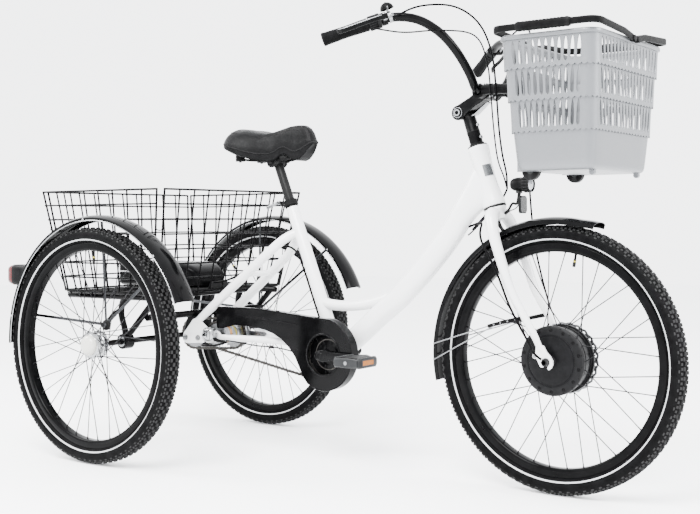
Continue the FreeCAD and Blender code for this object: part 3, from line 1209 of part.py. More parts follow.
th_, tl_, zl, zt = S["box_top_half"].v, S["box_low_half"].v, S["box_low_z"].v, S["box_top_z"].v
bwall = S["box_wall"].v
ob = Part.makeLoft([rounded(1232, 1428, tl_, zl, 26), rounded(1208, 1456, th_, zt, 30)], True, True)
ib = Part.makeLoft([rounded(1232 + bwall, 1428 - bwall, tl_ - bwall, zl + 4, 24), rounded(1208 + bwall, 1456 - bwall, th_ - bwall, zt + 4, 28)], True, True)
lipb = Part.makeLoft([rounded(1203, 1461, th_ + 5, zt - 12, 33), rounded(1203, 1461, th_ + 5, zt, 33)], True, True)
bx = ob.fuse(lipb).cut(ib)
bx = bx.fuse(Part.makeBox(28, 96, 78, V(1192.4, -48, 955)).cut(ib))
for s in (-1, 1):
    bx = bx.fuse(Part.makeBox(14, 10, 14, V(1408, s * 127 - 5, zl - 11)))
    # wheel wells under the back edge hold the two rollers
    bx = bx.cut(Part.makeBox(58, 22, 30, V(1225, s * 118 - 11, zl - 1)))
    well = Part.makeBox(64, 28, 33, V(1222, s * 118 - 14, zl)).cut(Part.makeBox(58, 22, 30, V(1225, s * 118 - 11, zl - 0.001)))
    bx = bx.fuse(well)
bx = bx.cut(Part.makeCylinder(4.06, 400, V(1254, -200, zl + 4), V(0, 1, 0)))
bx = max(bx.Solids, key=lambda q: q.Volume)
shape_node("front_basket", bx.removeSplitter())
rol = []
axr = Part.makeCylinder(4.0, 2 * 131.0, V(1254, -131.0, zl + 4), V(0, 1, 0))
rs = axr
for s in (-1, 1):
    rs = rs.fuse(Part.makeCylinder(23.0, 16.0, V(1254, s * 118 - 8, zl + 4), V(0, 1, 0)))
shape_node("basket_rollers", one(rs))
hr = S["handle_rod"].v
for s, label in ((-1, "basket_handle_right"), (1, "basket_handle_left")):
    pts = [(1466.6, s * 12, zt - 4), (1466.6, s * 60, zt + 5), (1466.6, s * 208.5, zt + 13.5), (1197.4, s * 208.5, zt + 13.5), (1197.4, s * 60, zt + 5), (1197.4, s * 12, zt - 4)]
    h_ = tube(pts, hr, radius=26)
    h_ = h_.fuse(rod((1262, s * 208.5, zt + 13.5), (1402, s * 208.5, zt + 13.5), 11.0))
    for x0 in (1461.3, 1190.7):
        h_ = h_.fuse(Part.makeCylinder(8.0, 12.0, V(x0, s * 12, zt - 4), V(1, 0, 0)))
    shape_node(label, one(h_.removeSplitter()))

# ---------------------------------------------------------------- cables
cr_ = S["cable_radius"].v


def eased(points, step=44.0):
    """Evenly spaced corners along a smooth curve through the given points."""
    pts = [V(*p) for p in points]
    ext = [pts[0] * 2 - pts[1]] + pts + [pts[-1] * 2 - pts[-2]]
    fine = []
    for i in range(1, len(ext) - 2):
        p0, p1, p2, p3 = ext[i - 1:i + 3]
        for k in range(40):
            t = k / 40.0
            fine.append((p1 * 2 + (p2 - p0) * t + (p0 * 2 - p1 * 5 + p2 * 4 - p3) * (t * t) + (p1 * 3 - p0 - p2 * 3 + p3) * (t ** 3)) * 0.5)
    fine.append(pts[-1])
    acc = [0.0]
    for a, b in zip(fine, fine[1:]):
        acc.append(acc[-1] + (b - a).Length)
    n = max(2, int(round(acc[-1] / step)))
    out = []
    j = 0
    for k in range(n + 1):
        want = acc[-1] * k / n
        while j < len(acc) - 2 and acc[j + 1] < want:
            j += 1
        f = (want - acc[j]) / max(acc[j + 1] - acc[j], 1e-9)
        out.append(fine[j] + (fine[j + 1] - fine[j]) * f)
    keep = [out[0]]
    for a, b, c in zip(out, out[1:], out[2:]):
        u_ = (b - keep[-1]).normalize()
        w_ = (c - b).normalize()
        if math.degrees(math.acos(max(-1.0, min(1.0, u_.dot(w_))))) > 0.4:
            keep.append(b)
    keep.append(out[-1])
    return [tuple(q) for q in keep]


CABLES = {
    "fork_cables": [
        ("right brake cable, bar part", 2.5, [(963, -268, 1158), (1015, -236, 1184), (1076, -180, 1186), (1114, -122, 1150), (1128, -84, 1080), (1126, -60, 990), (1118, -34, 905), (1112, -6, 836), (1107, 24, 790), (1098, 43, 752)]),
        ("shift cable, bar part", 2.0, [(929, -290, 1131), (990, -262, 1120), (1050, -200, 1128), (1108, -132, 1120), (1120, -94, 1060), (1116, -70, 985), (1108, -42, 900), (1102, -12, 824), (1098, 28, 780), (1094, 50, 750)]),
        ("left brake cable", 2.5, [(955, 276, 1158), (1012, 238, 1184), (1078, 180, 1188), (1128, 118, 1150), (1148, 80, 1070), (1152, 66, 985), (1150, 58, 880), (1150, 64, 780), (1150, 76, 690),
                                   (1156, 82, 610), (1172, 82, 540), (1190, 80, 480), (1206, 78, 430)]),
        ("motor cable", 3.0, [(1056, -18, 667), (1066, -30, 664), (1073, -48, 654), (1081, -67, 638), (1097, -80, 610), (1122, -82, 572), (1146, -79, 520), (1166, -78, 470), (1194, -78, 420), (1222, -80, 378), (1240, -86, 350), (1258, -82, 338)]),
    ],
    "rear_cables": [
        ("rear brake cable, head part", 2.5, [(1096.2, 43.6, 749.0), (1084.5, 45.5, 729.5), (1063, 44, 708), (1040, 35.5, 687), (1020, 17, 657)]),
        ("shift cable, head part", 2.0, [(1092.2, 51, 747.0), (1078, 52.5, 724), (1053, 50, 700), (1029, 39.5, 673), (1009, 17, 641)]),
        ("rear brake cable, hub part", 2.5, [(610, 26, 281), (560, 34, 276), (510, 42, 292), (460, 52, 310), (400, 70, 321), (340, 78, 324), (290, 77.5, 330)]),
        ("shift cable, hub part", 2.0, [(610, -26, 281), (560, -32, 276), (510, -40, 290), (460, -52, 308), (410, -68, 318), (350, -78, 320), (290, -80, 326), (226, -80, 334)]),
        ("battery cable", 3.0, [(138, -25, 492), (178, -25, 497), (228, -22, 514), (286, -16, 548), (346, -10, 584), (400, -6, 602), (440, -5, 585), (469, -5, 529), (495, -5, 465), (521, -5, 401), (543, -5, 345), (555, -6, 306)]),
    ],
}
for label in ("rear_cables", "fork_cables"):
    shape_node(label, comp([tube(eased(pts), r, report=name) for name, r, pts in CABLES[label]]))

# ---------------------------------------------------------------- checks and export
doc.recompute()
bad = []
for o in doc.Objects:
    if any(t in o.State for t in ("Invalid", "Error")):
        bad.append((o.Label, o.State))
labels = [o.Label for o in NODES]
for o in NODES:
    if o.Shape.isNull() or not o.Shape.isValid() or o.Shape.Volume <= 0:
        bad.append((o.Label, "shape"))
if len(labels) != len(set(labels)):
    bad.append(("labels", "not unique"))
if bad:
    raise RuntimeError("failed objects: %s" % bad)
os.makedirs("parts", exist_ok=True)
for name in os.listdir("parts"):
    if name.endswith(".step"):
        os.remove(os.path.join("parts", name))
for o in NODES:
    o.Shape.exportStep("parts/%s.step" % o.Label)
bb = FreeCAD.BoundBox()
for o in NODES:
    bb.add(o.Shape.BoundBox)
print(len(NODES), "nodes", bb)
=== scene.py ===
import bpy, bmesh, math, random
import numpy as np
from mathutils import Vector, Matrix


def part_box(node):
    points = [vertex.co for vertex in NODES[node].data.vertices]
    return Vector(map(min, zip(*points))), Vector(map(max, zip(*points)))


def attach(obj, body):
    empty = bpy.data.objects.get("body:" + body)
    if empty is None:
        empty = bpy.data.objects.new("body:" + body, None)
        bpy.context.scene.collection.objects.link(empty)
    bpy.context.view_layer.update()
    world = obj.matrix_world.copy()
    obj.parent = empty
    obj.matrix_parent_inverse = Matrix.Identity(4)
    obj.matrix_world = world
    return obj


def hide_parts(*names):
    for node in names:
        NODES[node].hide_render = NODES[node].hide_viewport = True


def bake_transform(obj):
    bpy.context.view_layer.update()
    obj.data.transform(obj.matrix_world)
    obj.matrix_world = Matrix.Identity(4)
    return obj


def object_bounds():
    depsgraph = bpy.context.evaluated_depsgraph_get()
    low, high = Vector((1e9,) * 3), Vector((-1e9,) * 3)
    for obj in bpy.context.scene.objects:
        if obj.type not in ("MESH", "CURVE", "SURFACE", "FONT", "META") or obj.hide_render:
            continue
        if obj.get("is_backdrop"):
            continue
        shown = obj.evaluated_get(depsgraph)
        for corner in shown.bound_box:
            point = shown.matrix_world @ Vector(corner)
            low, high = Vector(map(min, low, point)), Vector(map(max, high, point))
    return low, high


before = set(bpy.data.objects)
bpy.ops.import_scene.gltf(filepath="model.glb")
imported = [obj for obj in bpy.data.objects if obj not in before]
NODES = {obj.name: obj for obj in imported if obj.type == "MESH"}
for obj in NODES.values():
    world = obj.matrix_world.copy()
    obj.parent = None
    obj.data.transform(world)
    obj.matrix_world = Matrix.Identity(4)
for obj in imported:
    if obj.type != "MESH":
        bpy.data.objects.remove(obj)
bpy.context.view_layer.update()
RX = -628.65          # drawing frame to row frame, mm
pi = math.pi
sin, cos = math.sin, math.cos


def A(*p):
    return np.array(p, float)


def unit(v):
    v = np.asarray(v, float)
    return v / (np.linalg.norm(v) + 1e-12)


def T(p):
    return Vector(((p[0] + RX) / 1000, p[1] / 1000, p[2] / 1000))


# ------------------------------------------------------------------ materials
MATS = {}


def mat(name, base, rough=0.4, metallic=0.0, coat=0.0, coat_rough=0.08, var=0.04, rvar=0.06, scale=60.0, bump=0.0,
        bump_scale=200.0, kind="noise", spec=0.5, base2=None, stretch=None, sheen=0.0, alpha=1.0, transmission=0.0, edge=0.0):
    m = bpy.data.materials.new(name)
    m.use_nodes = True
    nt = m.node_tree
    nt.nodes.clear()
    N = nt.nodes.new
    L = nt.links.new
    out = N("ShaderNodeOutputMaterial")
    b = N("ShaderNodeBsdfPrincipled")
    L(b.outputs[0], out.inputs[0])
    tc = N("ShaderNodeTexCoord")
    mp = N("ShaderNodeMapping")
    L(tc.outputs["Object"], mp.inputs["Vector"])
    if stretch:
        mp.inputs["Scale"].default_value = stretch
    n1 = N("ShaderNodeTexNoise")
    n1.inputs["Scale"].default_value = scale
    n1.inputs["Detail"].default_value = 5.0
    n1.inputs["Roughness"].default_value = 0.6
    L(mp.outputs[0], n1.inputs["Vector"])
    ramp = N("ShaderNodeValToRGB")
    lo = [max(0.0, c * (1 - var * 2)) for c in base]
    hi = list(base2) if base2 else [min(1.0, c * (1 + var) + var * 0.004) for c in base]
    ramp.color_ramp.elements[0].position = 0.3
    ramp.color_ramp.elements[0].color = (*lo, 1)
    ramp.color_ramp.elements[1].position = 0.7
    ramp.color_ramp.elements[1].color = (*hi, 1)
    L(n1.outputs["Fac"], ramp.inputs["Fac"])
    col = ramp.outputs["Color"]
    # painted highlight: convex edges (by Pointiness) get a lighter copy of the base colour, as if they catch the light
    if edge > 0:
        geo = N("ShaderNodeNewGeometry")
        er = N("ShaderNodeValToRGB")
        er.color_ramp.elements[0].position = 0.52
        er.color_ramp.elements[0].color = (0, 0, 0, 1)
        er.color_ramp.elements[1].position = 0.60
        er.color_ramp.elements[1].color = (edge, edge, edge, 1)
        L(geo.outputs["Pointiness"], er.inputs["Fac"])
        edge_highlight_mix = N("ShaderNodeMix")
        edge_highlight_mix.data_type = "RGBA"
        L(er.outputs["Color"], edge_highlight_mix.inputs["Factor"])
        L(col, edge_highlight_mix.inputs["A"])
        edge_highlight_mix.inputs["B"].default_value = (*[min(1, c * 1.8 + 0.06) for c in base], 1)
        col = edge_highlight_mix.outputs["Result"]
    L(col, b.inputs["Base Color"])
    n2 = N("ShaderNodeTexNoise")
    n2.inputs["Scale"].default_value = scale * 2.3
    n2.inputs["Detail"].default_value = 6.0
    L(mp.outputs[0], n2.inputs["Vector"])
    mr = N("ShaderNodeMapRange")
    mr.inputs["From Min"].default_value = 0.25
    mr.inputs["From Max"].default_value = 0.75
    mr.inputs["To Min"].default_value = max(0.02, rough - rvar)
    mr.inputs["To Max"].default_value = min(1.0, rough + rvar)
    L(n2.outputs["Fac"], mr.inputs["Value"])
    L(mr.outputs[0], b.inputs["Roughness"])
    b.inputs["Metallic"].default_value = metallic
    b.inputs["Specular IOR Level"].default_value = spec
    b.inputs["Coat Weight"].default_value = coat
    b.inputs["Coat Roughness"].default_value = coat_rough
    b.inputs["Sheen Weight"].default_value = sheen
    b.inputs["Alpha"].default_value = alpha
    b.inputs["Transmission Weight"].default_value = transmission
    if bump > 0:
        if kind == "voronoi":
            t = N("ShaderNodeTexVoronoi")
            t.inputs["Scale"].default_value = bump_scale
            h = t.outputs["Distance"]
        elif kind == "wave":
            t = N("ShaderNodeTexWave")
            t.inputs["Scale"].default_value = bump_scale
            t.inputs["Distortion"].default_value = 1.5
            h = t.outputs["Fac"]
        elif kind == "checker":
            t = N("ShaderNodeTexVoronoi")
            t.feature = "DISTANCE_TO_EDGE"
            t.inputs["Scale"].default_value = bump_scale
            h = t.outputs["Distance"]
        else:
            t = N("ShaderNodeTexNoise")
            t.inputs["Scale"].default_value = bump_scale
            t.inputs["Detail"].default_value = 6.0
            h = t.outputs["Fac"]
        L(mp.outputs[0], t.inputs["Vector"])
        bp = N("ShaderNodeBump")
        bp.inputs["Strength"].default_value = bump
        bp.inputs["Distance"].default_value = 0.001
        L(h, bp.inputs["Height"])
        L(bp.outputs[0], b.inputs["Normal"])
    MATS[name] = m
    return m


M_WHITE = mat("white_paint", (0.60, 0.603, 0.608), 0.24, spec=0.4, coat=0.25, var=0.008, rvar=0.04, scale=14, bump=0.02, bump_scale=900)
M_BLACKG = mat("black_gloss", (0.00116, 0.00116, 0.00132), 0.11, spec=0.05, coat=0.0, var=0.2, rvar=0.05, scale=20, bump=0.015, bump_scale=700)
# edge= sets the strength of the painted edge highlight in mat()
M_BLACKS = mat("black_satin", (0.00165, 0.00165, 0.00181), 0.3, spec=0.03, var=0.25, rvar=0.08, scale=40, bump=0.06, bump_scale=900, edge=0.25)
M_BLACKM = mat("black_plastic", (0.00198, 0.00198, 0.00215), 0.38, spec=0.025, var=0.2, rvar=0.08, scale=50, bump=0.12, bump_scale=1400, edge=0.2)
M_MOTOR = mat("motor_black", (0.00198, 0.00198, 0.00231), 0.34, spec=0.05, var=0.25, rvar=0.08, scale=60, bump=0.12, bump_scale=1600, edge=0.3)
M_RIM = mat("rim_black", (0.00116, 0.00116, 0.00132), 0.14, spec=0.03, coat=0.0, var=0.2, rvar=0.06, scale=30, bump=0.02, bump_scale=600)
M_TYRE = mat("tyre_rubber", (0.00198, 0.00198, 0.00215), 0.6, spec=0.02, var=0.3, rvar=0.1, scale=45, bump=0.25, bump_scale=520, base2=(0.003, 0.003, 0.0032), edge=0.25)
M_STRIPE = mat("stripe_reflective", (0.31, 0.315, 0.32), 0.35, var=0.04, rvar=0.08, scale=120, bump=0.1, bump_scale=2000)
M_SPOKE = mat("spoke_steel", (0.004, 0.004, 0.0045), 0.3, spec=0.06, var=0.1, rvar=0.1, scale=90)
M_STEEL = mat("steel", (0.17, 0.173, 0.178), 0.3, metallic=1.0, var=0.06, rvar=0.1, scale=90, bump=0.04, bump_scale=1500)
M_DSTEEL = mat("dark_steel", (0.03, 0.031, 0.033), 0.28, metallic=1.0, var=0.08, rvar=0.1, scale=90, bump=0.03, bump_scale=1500)
M_CHROME = mat("chrome_plate", (0.26, 0.265, 0.27), 0.09, metallic=1.0, var=0.03, rvar=0.04, scale=60, bump=0.01, bump_scale=600)
M_ALU = mat("brushed_alloy", (0.27, 0.2745, 0.2835), 0.34, metallic=1.0, var=0.05, rvar=0.1, scale=60, bump=0.06, bump_scale=500, stretch=(1, 8, 1))
M_SILVER = mat("silver_plastic", (0.125, 0.130, 0.138), 0.40, metallic=0.72, coat=0.15, coat_rough=0.25, var=0.02, rvar=0.05, scale=160, bump=0.04, bump_scale=2600)
M_SADDLE = mat("saddle_vinyl", (0.00198, 0.00198, 0.00215), 0.36, spec=0.05, var=0.25, rvar=0.08, scale=70, bump=0.35, bump_scale=650, kind="voronoi", sheen=0.0)
M_RUBBER = mat("grip_rubber_black", (0.00198, 0.00198, 0.00215), 0.5, spec=0.02, var=0.2, rvar=0.08, scale=80, bump=0.8, bump_scale=520, kind="checker")
M_GREY = mat("grey_plastic", (0.012, 0.0125, 0.013), 0.34, spec=0.08, var=0.06, rvar=0.08, scale=90, bump=0.1, bump_scale=1500, edge=0.2)
M_ORANGE = mat("amber_reflector", (0.22, 0.055, 0.002), 0.16, spec=0.15, coat=0.0, var=0.12, rvar=0.04, scale=300, bump=0.7, bump_scale=420, kind="checker", base2=(0.26, 0.085, 0.004))
M_RED = mat("red_lens", (0.055, 0.0006, 0.0012), 0.14, spec=0.12, var=0.15, rvar=0.04, scale=300, bump=0.6, bump_scale=380, kind="checker")
M_LENS = mat("clear_lens", (0.36, 0.37, 0.385), 0.06, metallic=0.75, coat=0.15, var=0.08, rvar=0.03, scale=200, bump=0.5, bump_scale=260, kind="checker")
M_REFL = mat("front_reflector_lens", (0.02, 0.021, 0.022), 0.12, spec=0.2, var=0.15, rvar=0.04, scale=300, bump=0.7, bump_scale=380, kind="checker")
M_CREAM = mat("cap_plastic", (0.4, 0.395, 0.36), 0.25, coat=0.15, var=0.02, rvar=0.05, scale=60, bump=0.02, bump_scale=800)
M_WIRE = mat("wire_coated", (0.00132, 0.00132, 0.00149), 0.28, spec=0.02, var=0.2, rvar=0.06, scale=60, bump=0.08, bump_scale=700)
M_CABLE = mat("cable_sleeve", (0.00132, 0.00132, 0.00149), 0.34, spec=0.02, var=0.2, rvar=0.06, scale=120, bump=0.05, bump_scale=1500)
M_CHAIN = mat("chain_steel", (0.03, 0.028, 0.026), 0.34, metallic=0.9, var=0.2, rvar=0.1, scale=200, bump=0.06, bump_scale=1500)
M_COPPER = mat("hub_copper", (0.31, 0.165, 0.07), 0.28, metallic=1.0, var=0.06, rvar=0.08, scale=90)
M_YELLOW = mat("yellow_mark", (0.3, 0.248, 0.012), 0.4, var=0.05, rvar=0.05, scale=90)
M_BADGE = mat("badge_metal", (0.099, 0.1035, 0.108), 0.3, metallic=0.8, var=0.05, rvar=0.1, scale=150, bump=0.08, bump_scale=900, stretch=(1, 1, 6))
M_BATT = mat("battery_shell", (0.00132, 0.00132, 0.00149), 0.18, spec=0.03, coat=0.0, var=0.2, rvar=0.06, scale=40, bump=0.05, bump_scale=1500)


# ------------------------------------------------------------------ mesh builder
class MB:
    def __init__(self):
        self.v, self.f, self.m, self.n = [], [], [], 0

    def add(self, verts, faces, m=0):
        verts = np.asarray(verts, float).reshape(-1, 3)
        self.v.append(verts)
        self.f += [tuple(int(i) + self.n for i in f) for f in faces]
        self.m += [m] * len(faces) if isinstance(m, int) else list(m)
        self.n += len(verts)
        return self

    def make(self, name, mats, body, replaces=(), angle=38, bevel=0.0, bseg=2, sub=0, weld=False, solid=0.0, pieces=True):
        me = bpy.data.meshes.new(name)
        v = np.vstack(self.v)
        v = (v + A(RX, 0, 0)) / 1000
        me.from_pydata(v.tolist(), [], self.f)
        mats = mats if isinstance(mats, (list, tuple)) else [mats]
        for m in mats:
            me.materials.append(m)
        me.polygons.foreach_set("material_index", self.m)
        me.validate()
        bm = bmesh.new()
        bm.from_mesh(me)
        if weld:
            bmesh.ops.remove_doubles(bm, verts=bm.verts, dist=2e-5)
        bmesh.ops.recalc_face_normals(bm, faces=bm.faces)
        bm.to_mesh(me)
        bm.free()
        me.polygons.foreach_set("use_smooth", [True] * len(me.polygons))
        if hasattr(me, "set_sharp_from_angle"):
            me.set_sharp_from_angle(angle=math.radians(angle))
        o = bpy.data.objects.new(name, me)
        bpy.context.scene.collection.objects.link(o)
        if solid:
            s = o.modifiers.new("wall", "SOLIDIFY")
            s.thickness = abs(solid) / 1000
            s.offset = -1.0 if solid > 0 else 1.0
        if bevel:
            b = o.modifiers.new("edge", "BEVEL")
            b.width = bevel / 1000
            b.segments = bseg
            b.limit_method = "ANGLE"
            b.angle_limit = math.radians(36)
            b.harden_normals = False
        if sub:
            s = o.modifiers.new("smooth", "SUBSURF")
            s.levels = s.render_levels = sub
        if replaces:
            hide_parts(*replaces)
        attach(o, body)
        return o


def basis(axis, ref=None):
    a = unit(axis)
    if ref is None:
        ref = A(1, 0, 0) if abs(a[0]) < 0.9 else A(0, 0, 1)
    u = unit(np.asarray(ref, float) - a * np.dot(ref, a))
    return u, np.cross(a, u), a


def revolve(mb, prof, origin, axis, n=64, m=0, closed=False, ref=None, a0=0.0, a1=2 * pi, mfun=None):
    """prof: (radius, height along axis)."""
    u, w, a = basis(axis, ref)
    o = np.asarray(origin, float)
    full = abs(a1 - a0 - 2 * pi) < 1e-6
    cnt = n if full else n + 1
    verts = []
    for i in range(cnt):
        t = a0 + (a1 - a0) * i / n
        d = u * cos(t) + w * sin(t)
        for r, h in prof:
            verts.append(o + d * r + a * h)
    k = len(prof)
    faces, ms = [], []
    segs = k if closed else k - 1
    for i in range(n):
        j = (i + 1) % cnt
        for s in range(segs):
            s2 = (s + 1) % k
            f = (i * k + s, j * k + s, j * k + s2, i * k + s2)
            if prof[s][0] < 1e-6 and prof[s2][0] < 1e-6:
                continue
            if prof[s][0] < 1e-6:
                f = (i * k + s, j * k + s2, i * k + s2)
            elif prof[s2][0] < 1e-6:
                f = (i * k + s, j * k + s, i * k + s2)
            faces.append(f)
            ms.append(mfun(s) if mfun else m)
    mb.add(verts, faces, ms)
    return mb


def spline(pts, n=12, closed=False):
    """Centripetal-like Catmull-Rom through points."""
    P = [np.asarray(p, float) for p in pts]
    if closed:
        E = [P[-1]] + P + [P[0], P[1]]
    else:
        E = [2 * P[0] - P[1]] + P + [2 * P[-1] - P[-2]]
    out = []
    for i in range(1, len(E) - 2):
        p0, p1, p2, p3 = E[i - 1:i + 3]
        for k in range(n):
            t = k / n
            out.append(0.5 * (2 * p1 + (p2 - p0) * t + (2 * p0 - 5 * p1 + 4 * p2 - p3) * t * t + (3 * p1 - p0 - 3 * p2 + p3) * t ** 3))
    if not closed:
        out.append(P[-1])
    return np.array(out)


def arcs(points, radius=None, step=0.14):
    """Straight runs joined by tangent arcs, sampled."""
    P = [np.asarray(p, float) for p in points]
    out = [P[0]]
    for i in range(1, len(P) - 1):
        a, b, c = P[i - 1], P[i], P[i + 1]
        u, w = unit(b - a), unit(c - b)
        turn = math.acos(max(-1, min(1, float(np.dot(u, w)))))
        if turn < 1e-3:
            continue
        run = min(np.linalg.norm(b - a), np.linalg.norm(c - b))
        t = 0.45 * run
        if radius:
            t = min(t, radius * math.tan(turn / 2))
        r = t / math.tan(turn / 2)
        p1 = b - u * t
        nrm = unit(w - u * np.dot(u, w))
        cen = p1 + nrm * r
        k = max(2, int(math.ceil(turn / step)))
        for q in range(k + 1):
            th = turn * q / k
            out.append(cen - nrm * r * cos(th) + u * r * sin(th))
    out.append(P[-1])
    keep = [out[0]]
    for p in out[1:]:
        if np.linalg.norm(p - keep[-1]) > 0.05:
            keep.append(p)
    return np.array(keep)


def resample(path, step):
    d = np.linalg.norm(np.diff(path, axis=0), axis=1)
    s = np.concatenate([[0], np.cumsum(d)])
    n = max(2, int(round(s[-1] / step)))
    q = np.linspace(0, s[-1], n + 1)
    return np.stack([np.interp(q, s, path[:, i]) for i in range(3)], 1), s[-1]


def frames(path, up=None):
    k = len(path)
    tan = np.zeros_like(path)
    tan[1:-1] = path[2:] - path[:-2]
    tan[0] = path[1] - path[0]
    tan[-1] = path[-1] - path[-2]
    tan = np.array([unit(t) for t in tan])
    us = []
    if up is not None:
        for t in tan:
            us.append(unit(np.asarray(up, float) - t * np.dot(up, t)))
    else:
        u = basis(tan[0])[0]
        for t in tan:
            u = unit(u - t * np.dot(u, t))
            us.append(u)
    us = np.array(us)
    return tan, us, np.cross(tan, us)


def tube(mb, path, r, n=12, m=0, caps=True, up=None, closed=False, shape=None, roundcap=False):
    """r: number or list or (ru, rw) lists. shape: list of unit 2-D points for the section."""
    path = np.asarray(path, float)
    tan, us, ws = frames(path, up)
    k = len(path)
    ru = np.asarray(r[0] if isinstance(r, tuple) else r, float) * np.ones(k)
    rw = np.asarray(r[1] if isinstance(r, tuple) else r, float) * np.ones(k)
    if shape is None:
        shape = [(cos(2 * pi * i / n), sin(2 * pi * i / n)) for i in range(n)]
    n = len(shape)
    verts = []
    for i in range(k):
        for a, b in shape:
            verts.append(path[i] + us[i] * a * ru[i] + ws[i] * b * rw[i])
    faces = []
    for i in range(k if closed else k - 1):
        j = (i + 1) % k
        for s in range(n):
            s2 = (s + 1) % n
            faces.append((i * n + s, i * n + s2, j * n + s2, j * n + s))
    if caps and not closed:
        faces.append(tuple(range(n - 1, -1, -1)))
        faces.append(tuple((k - 1) * n + i for i in range(n)))
    mb.add(verts, faces, m)
    return mb


def rrect(rx, ry, c, n=4):
    """Rounded rectangle section, as points."""
    out = []
    for qx, qy, a0 in ((1, 1, 0), (-1, 1, pi / 2), (-1, -1, pi), (1, -1, 1.5 * pi)):
        for i in range(n + 1):
            a = a0 + pi / 2 * i / n
            out.append((qx * (rx - c) + c * cos(a), qy * (ry - c) + c * sin(a)))
    return out


def bar(mb, p, q, r, n=12, m=0):
    return tube(mb, np.array([p, q], float), r, n, m)


def prism(mb, poly, origin, u, w, thick, m=0, centred=False):
    """Polygon (2-D in u, w) extruded along u x w."""
    u, w = unit(u), unit(w)
    nrm = np.cross(u, w)
    o = np.asarray(origin, float)
    s0 = -thick / 2 if centred else 0.0
    k = len(poly)
    v = [o + u * a + w * b + nrm * s0 for a, b in poly] + [o + u * a + w * b + nrm * (s0 + thick) for a, b in poly]
    f = [tuple(range(k - 1, -1, -1)), tuple(range(k, 2 * k))] + [(i, (i + 1) % k, k + (i + 1) % k, k + i) for i in range(k)]
    return mb.add(v, f, m)


def block(mb, c, size, R=None, m=0):
    c = np.asarray(c, float)
    sx, sy, sz = [s / 2 for s in size]
    v = np.array([(x, y, z) for x in (-sx, sx) for y in (-sy, sy) for z in (-sz, sz)])
    if R is not None:
        v = v @ np.asarray(R, float).T
    f = [(0, 1, 3, 2), (4, 6, 7, 5), (0, 4, 5, 1), (2, 3, 7, 6), (0, 2, 6, 4), (1, 5, 7, 3)]
    return mb.add(v + c, f, m)


def bolt(mb, p, d, r=5.0, h=4.0, m=0, hexr=0.0):
    """Domed screw head with a socket."""
    prof = [(0, -1.0), (r * 1.0, -1.0), (r * 1.0, h * 0.55), (r * 0.86, h * 0.86), (r * 0.6, h), (r * 0.48, h), (r * 0.44, h * 0.35), (0, h * 0.3)]
    if hexr:
        revolve(mb, prof[:], p, d, 6, m)
    else:
        revolve(mb, prof, p, d, 20, m)
    return mb


def hexnut(mb, p, d, r=8.0, h=6.0, m=0):
    return revolve(mb, [(0, 0), (r, 0), (r, h * 0.85), (r * 0.9, h), (0, h)], p, d, 6, m)


def smoothstep(a, b, x):
    t = min(1.0, max(0.0, (x - a) / (b - a)))
    return t * t * (3 - 2 * t)


def cad_material(name, m, bevel=0.0, angle=35):
    o = NODES[name]
    o.data.materials.clear()
    o.data.materials.append(m)
    return o


R0 = 329.5
# ------------------------------------------------------------------ wheels
SIDE = [(280.5, 12.0), (283, 12.8), (286.2, 12.8), (288.2, 15.6), (291.2, 19.0), (293.2, 20.6), (293.5, 21.0), (296.3, 22.5), (296.7, 22.6),
        (301, 24.4), (306, 25.2), (311, 25.0), (316, 23.6), (320, 21.0), (323, 17.0), (325, 12.0), (326.2, 6.0), (326.5, 0.0)]


def tyre(name, cx, cy, body, node):
    mb = MB()
    prof = [(r, -z) for r, z in SIDE] + [(r, z) for r, z in reversed(SIDE[:-1])]
    k = len(SIDE)
    stripe = set((5, 6, 7))
    other = set(len(prof) - 2 - s for s in stripe)
    revolve(mb, prof, (cx, cy, R0), (0, 1, 0), 150, closed=True, mfun=lambda s: 1 if (s in stripe or s in other) else 0)
    # tread blocks
    zz = np.array([z for r, z in reversed(SIDE)])
    rr = np.array([r for r, z in reversed(SIDE)])

    def surf(z):
        z = abs(z)
        r = float(np.interp(z, zz[:7], rr[:7]))
        r2 = float(np.interp(z + 0.5, zz[:7], rr[:7]))
        sl = (r2 - r) / 0.5
        n = unit(A(1, 0, 0) * 1 + A(0, 1, 0) * 0) if False else unit(np.array([1.0, -sl]))
        return r, n
    N = 92
    vs, fs = [], []
    cnt = 0
    for i in range(N):
        for z0, ph, lc, lw, h in ((4.3, 0.0, 10.5, 6.4, 3.0), (-4.3, 0.5, 10.5, 6.4, 3.0), (12.0, 0.5, 9.0, 5.6, 3.1), (-12.0, 0.0, 9.0, 5.6, 3.1),
                                  (18.2, 0.0, 6.5, 4.4, 2.7), (-18.2, 0.5, 6.5, 4.4, 2.7), (18.2, 0.5, 6.5, 4.4, 2.7), (-18.2, 0.0, 6.5, 4.4, 2.7),
                                  (22.6, 0.25, 7.5, 3.6, 1.9), (-22.6, 0.75, 7.5, 3.6, 1.9)):
            ang = 2 * pi * (i + ph) / N
            r, nn = surf(z0)
            s = 1 if z0 > 0 else -1
            er = A(cos(ang), 0, sin(ang))
            et = A(-sin(ang), 0, cos(ang))
            ey = A(0, 1, 0)
            nrm = er * nn[0] + ey * nn[1] * s
            side = np.cross(nrm, et)
            c = A(cx, cy, R0) + er * r + ey * z0
            base, top = c - nrm * 1.2, c + nrm * min(h, 1e9)
            for lev, sc in ((base, 1.08), (top, 0.82)):
                for a, b in ((-1, -1), (1, -1), (1, 1), (-1, 1)):
                    vs.append(lev + et * a * lc / 2 * sc + side * b * lw / 2 * sc)
            fs += [(cnt + 4, cnt + 5, cnt + 6, cnt + 7), (cnt, cnt + 1, cnt + 5, cnt + 4), (cnt + 1, cnt + 2, cnt + 6, cnt + 5),
                   (cnt + 2, cnt + 3, cnt + 7, cnt + 6), (cnt + 3, cnt, cnt + 4, cnt + 7)]
            cnt += 8
    mb.add(vs, fs, 0)
    o = mb.make(name, [M_TYRE, M_STRIPE], body, (node,), angle=32)
    return o


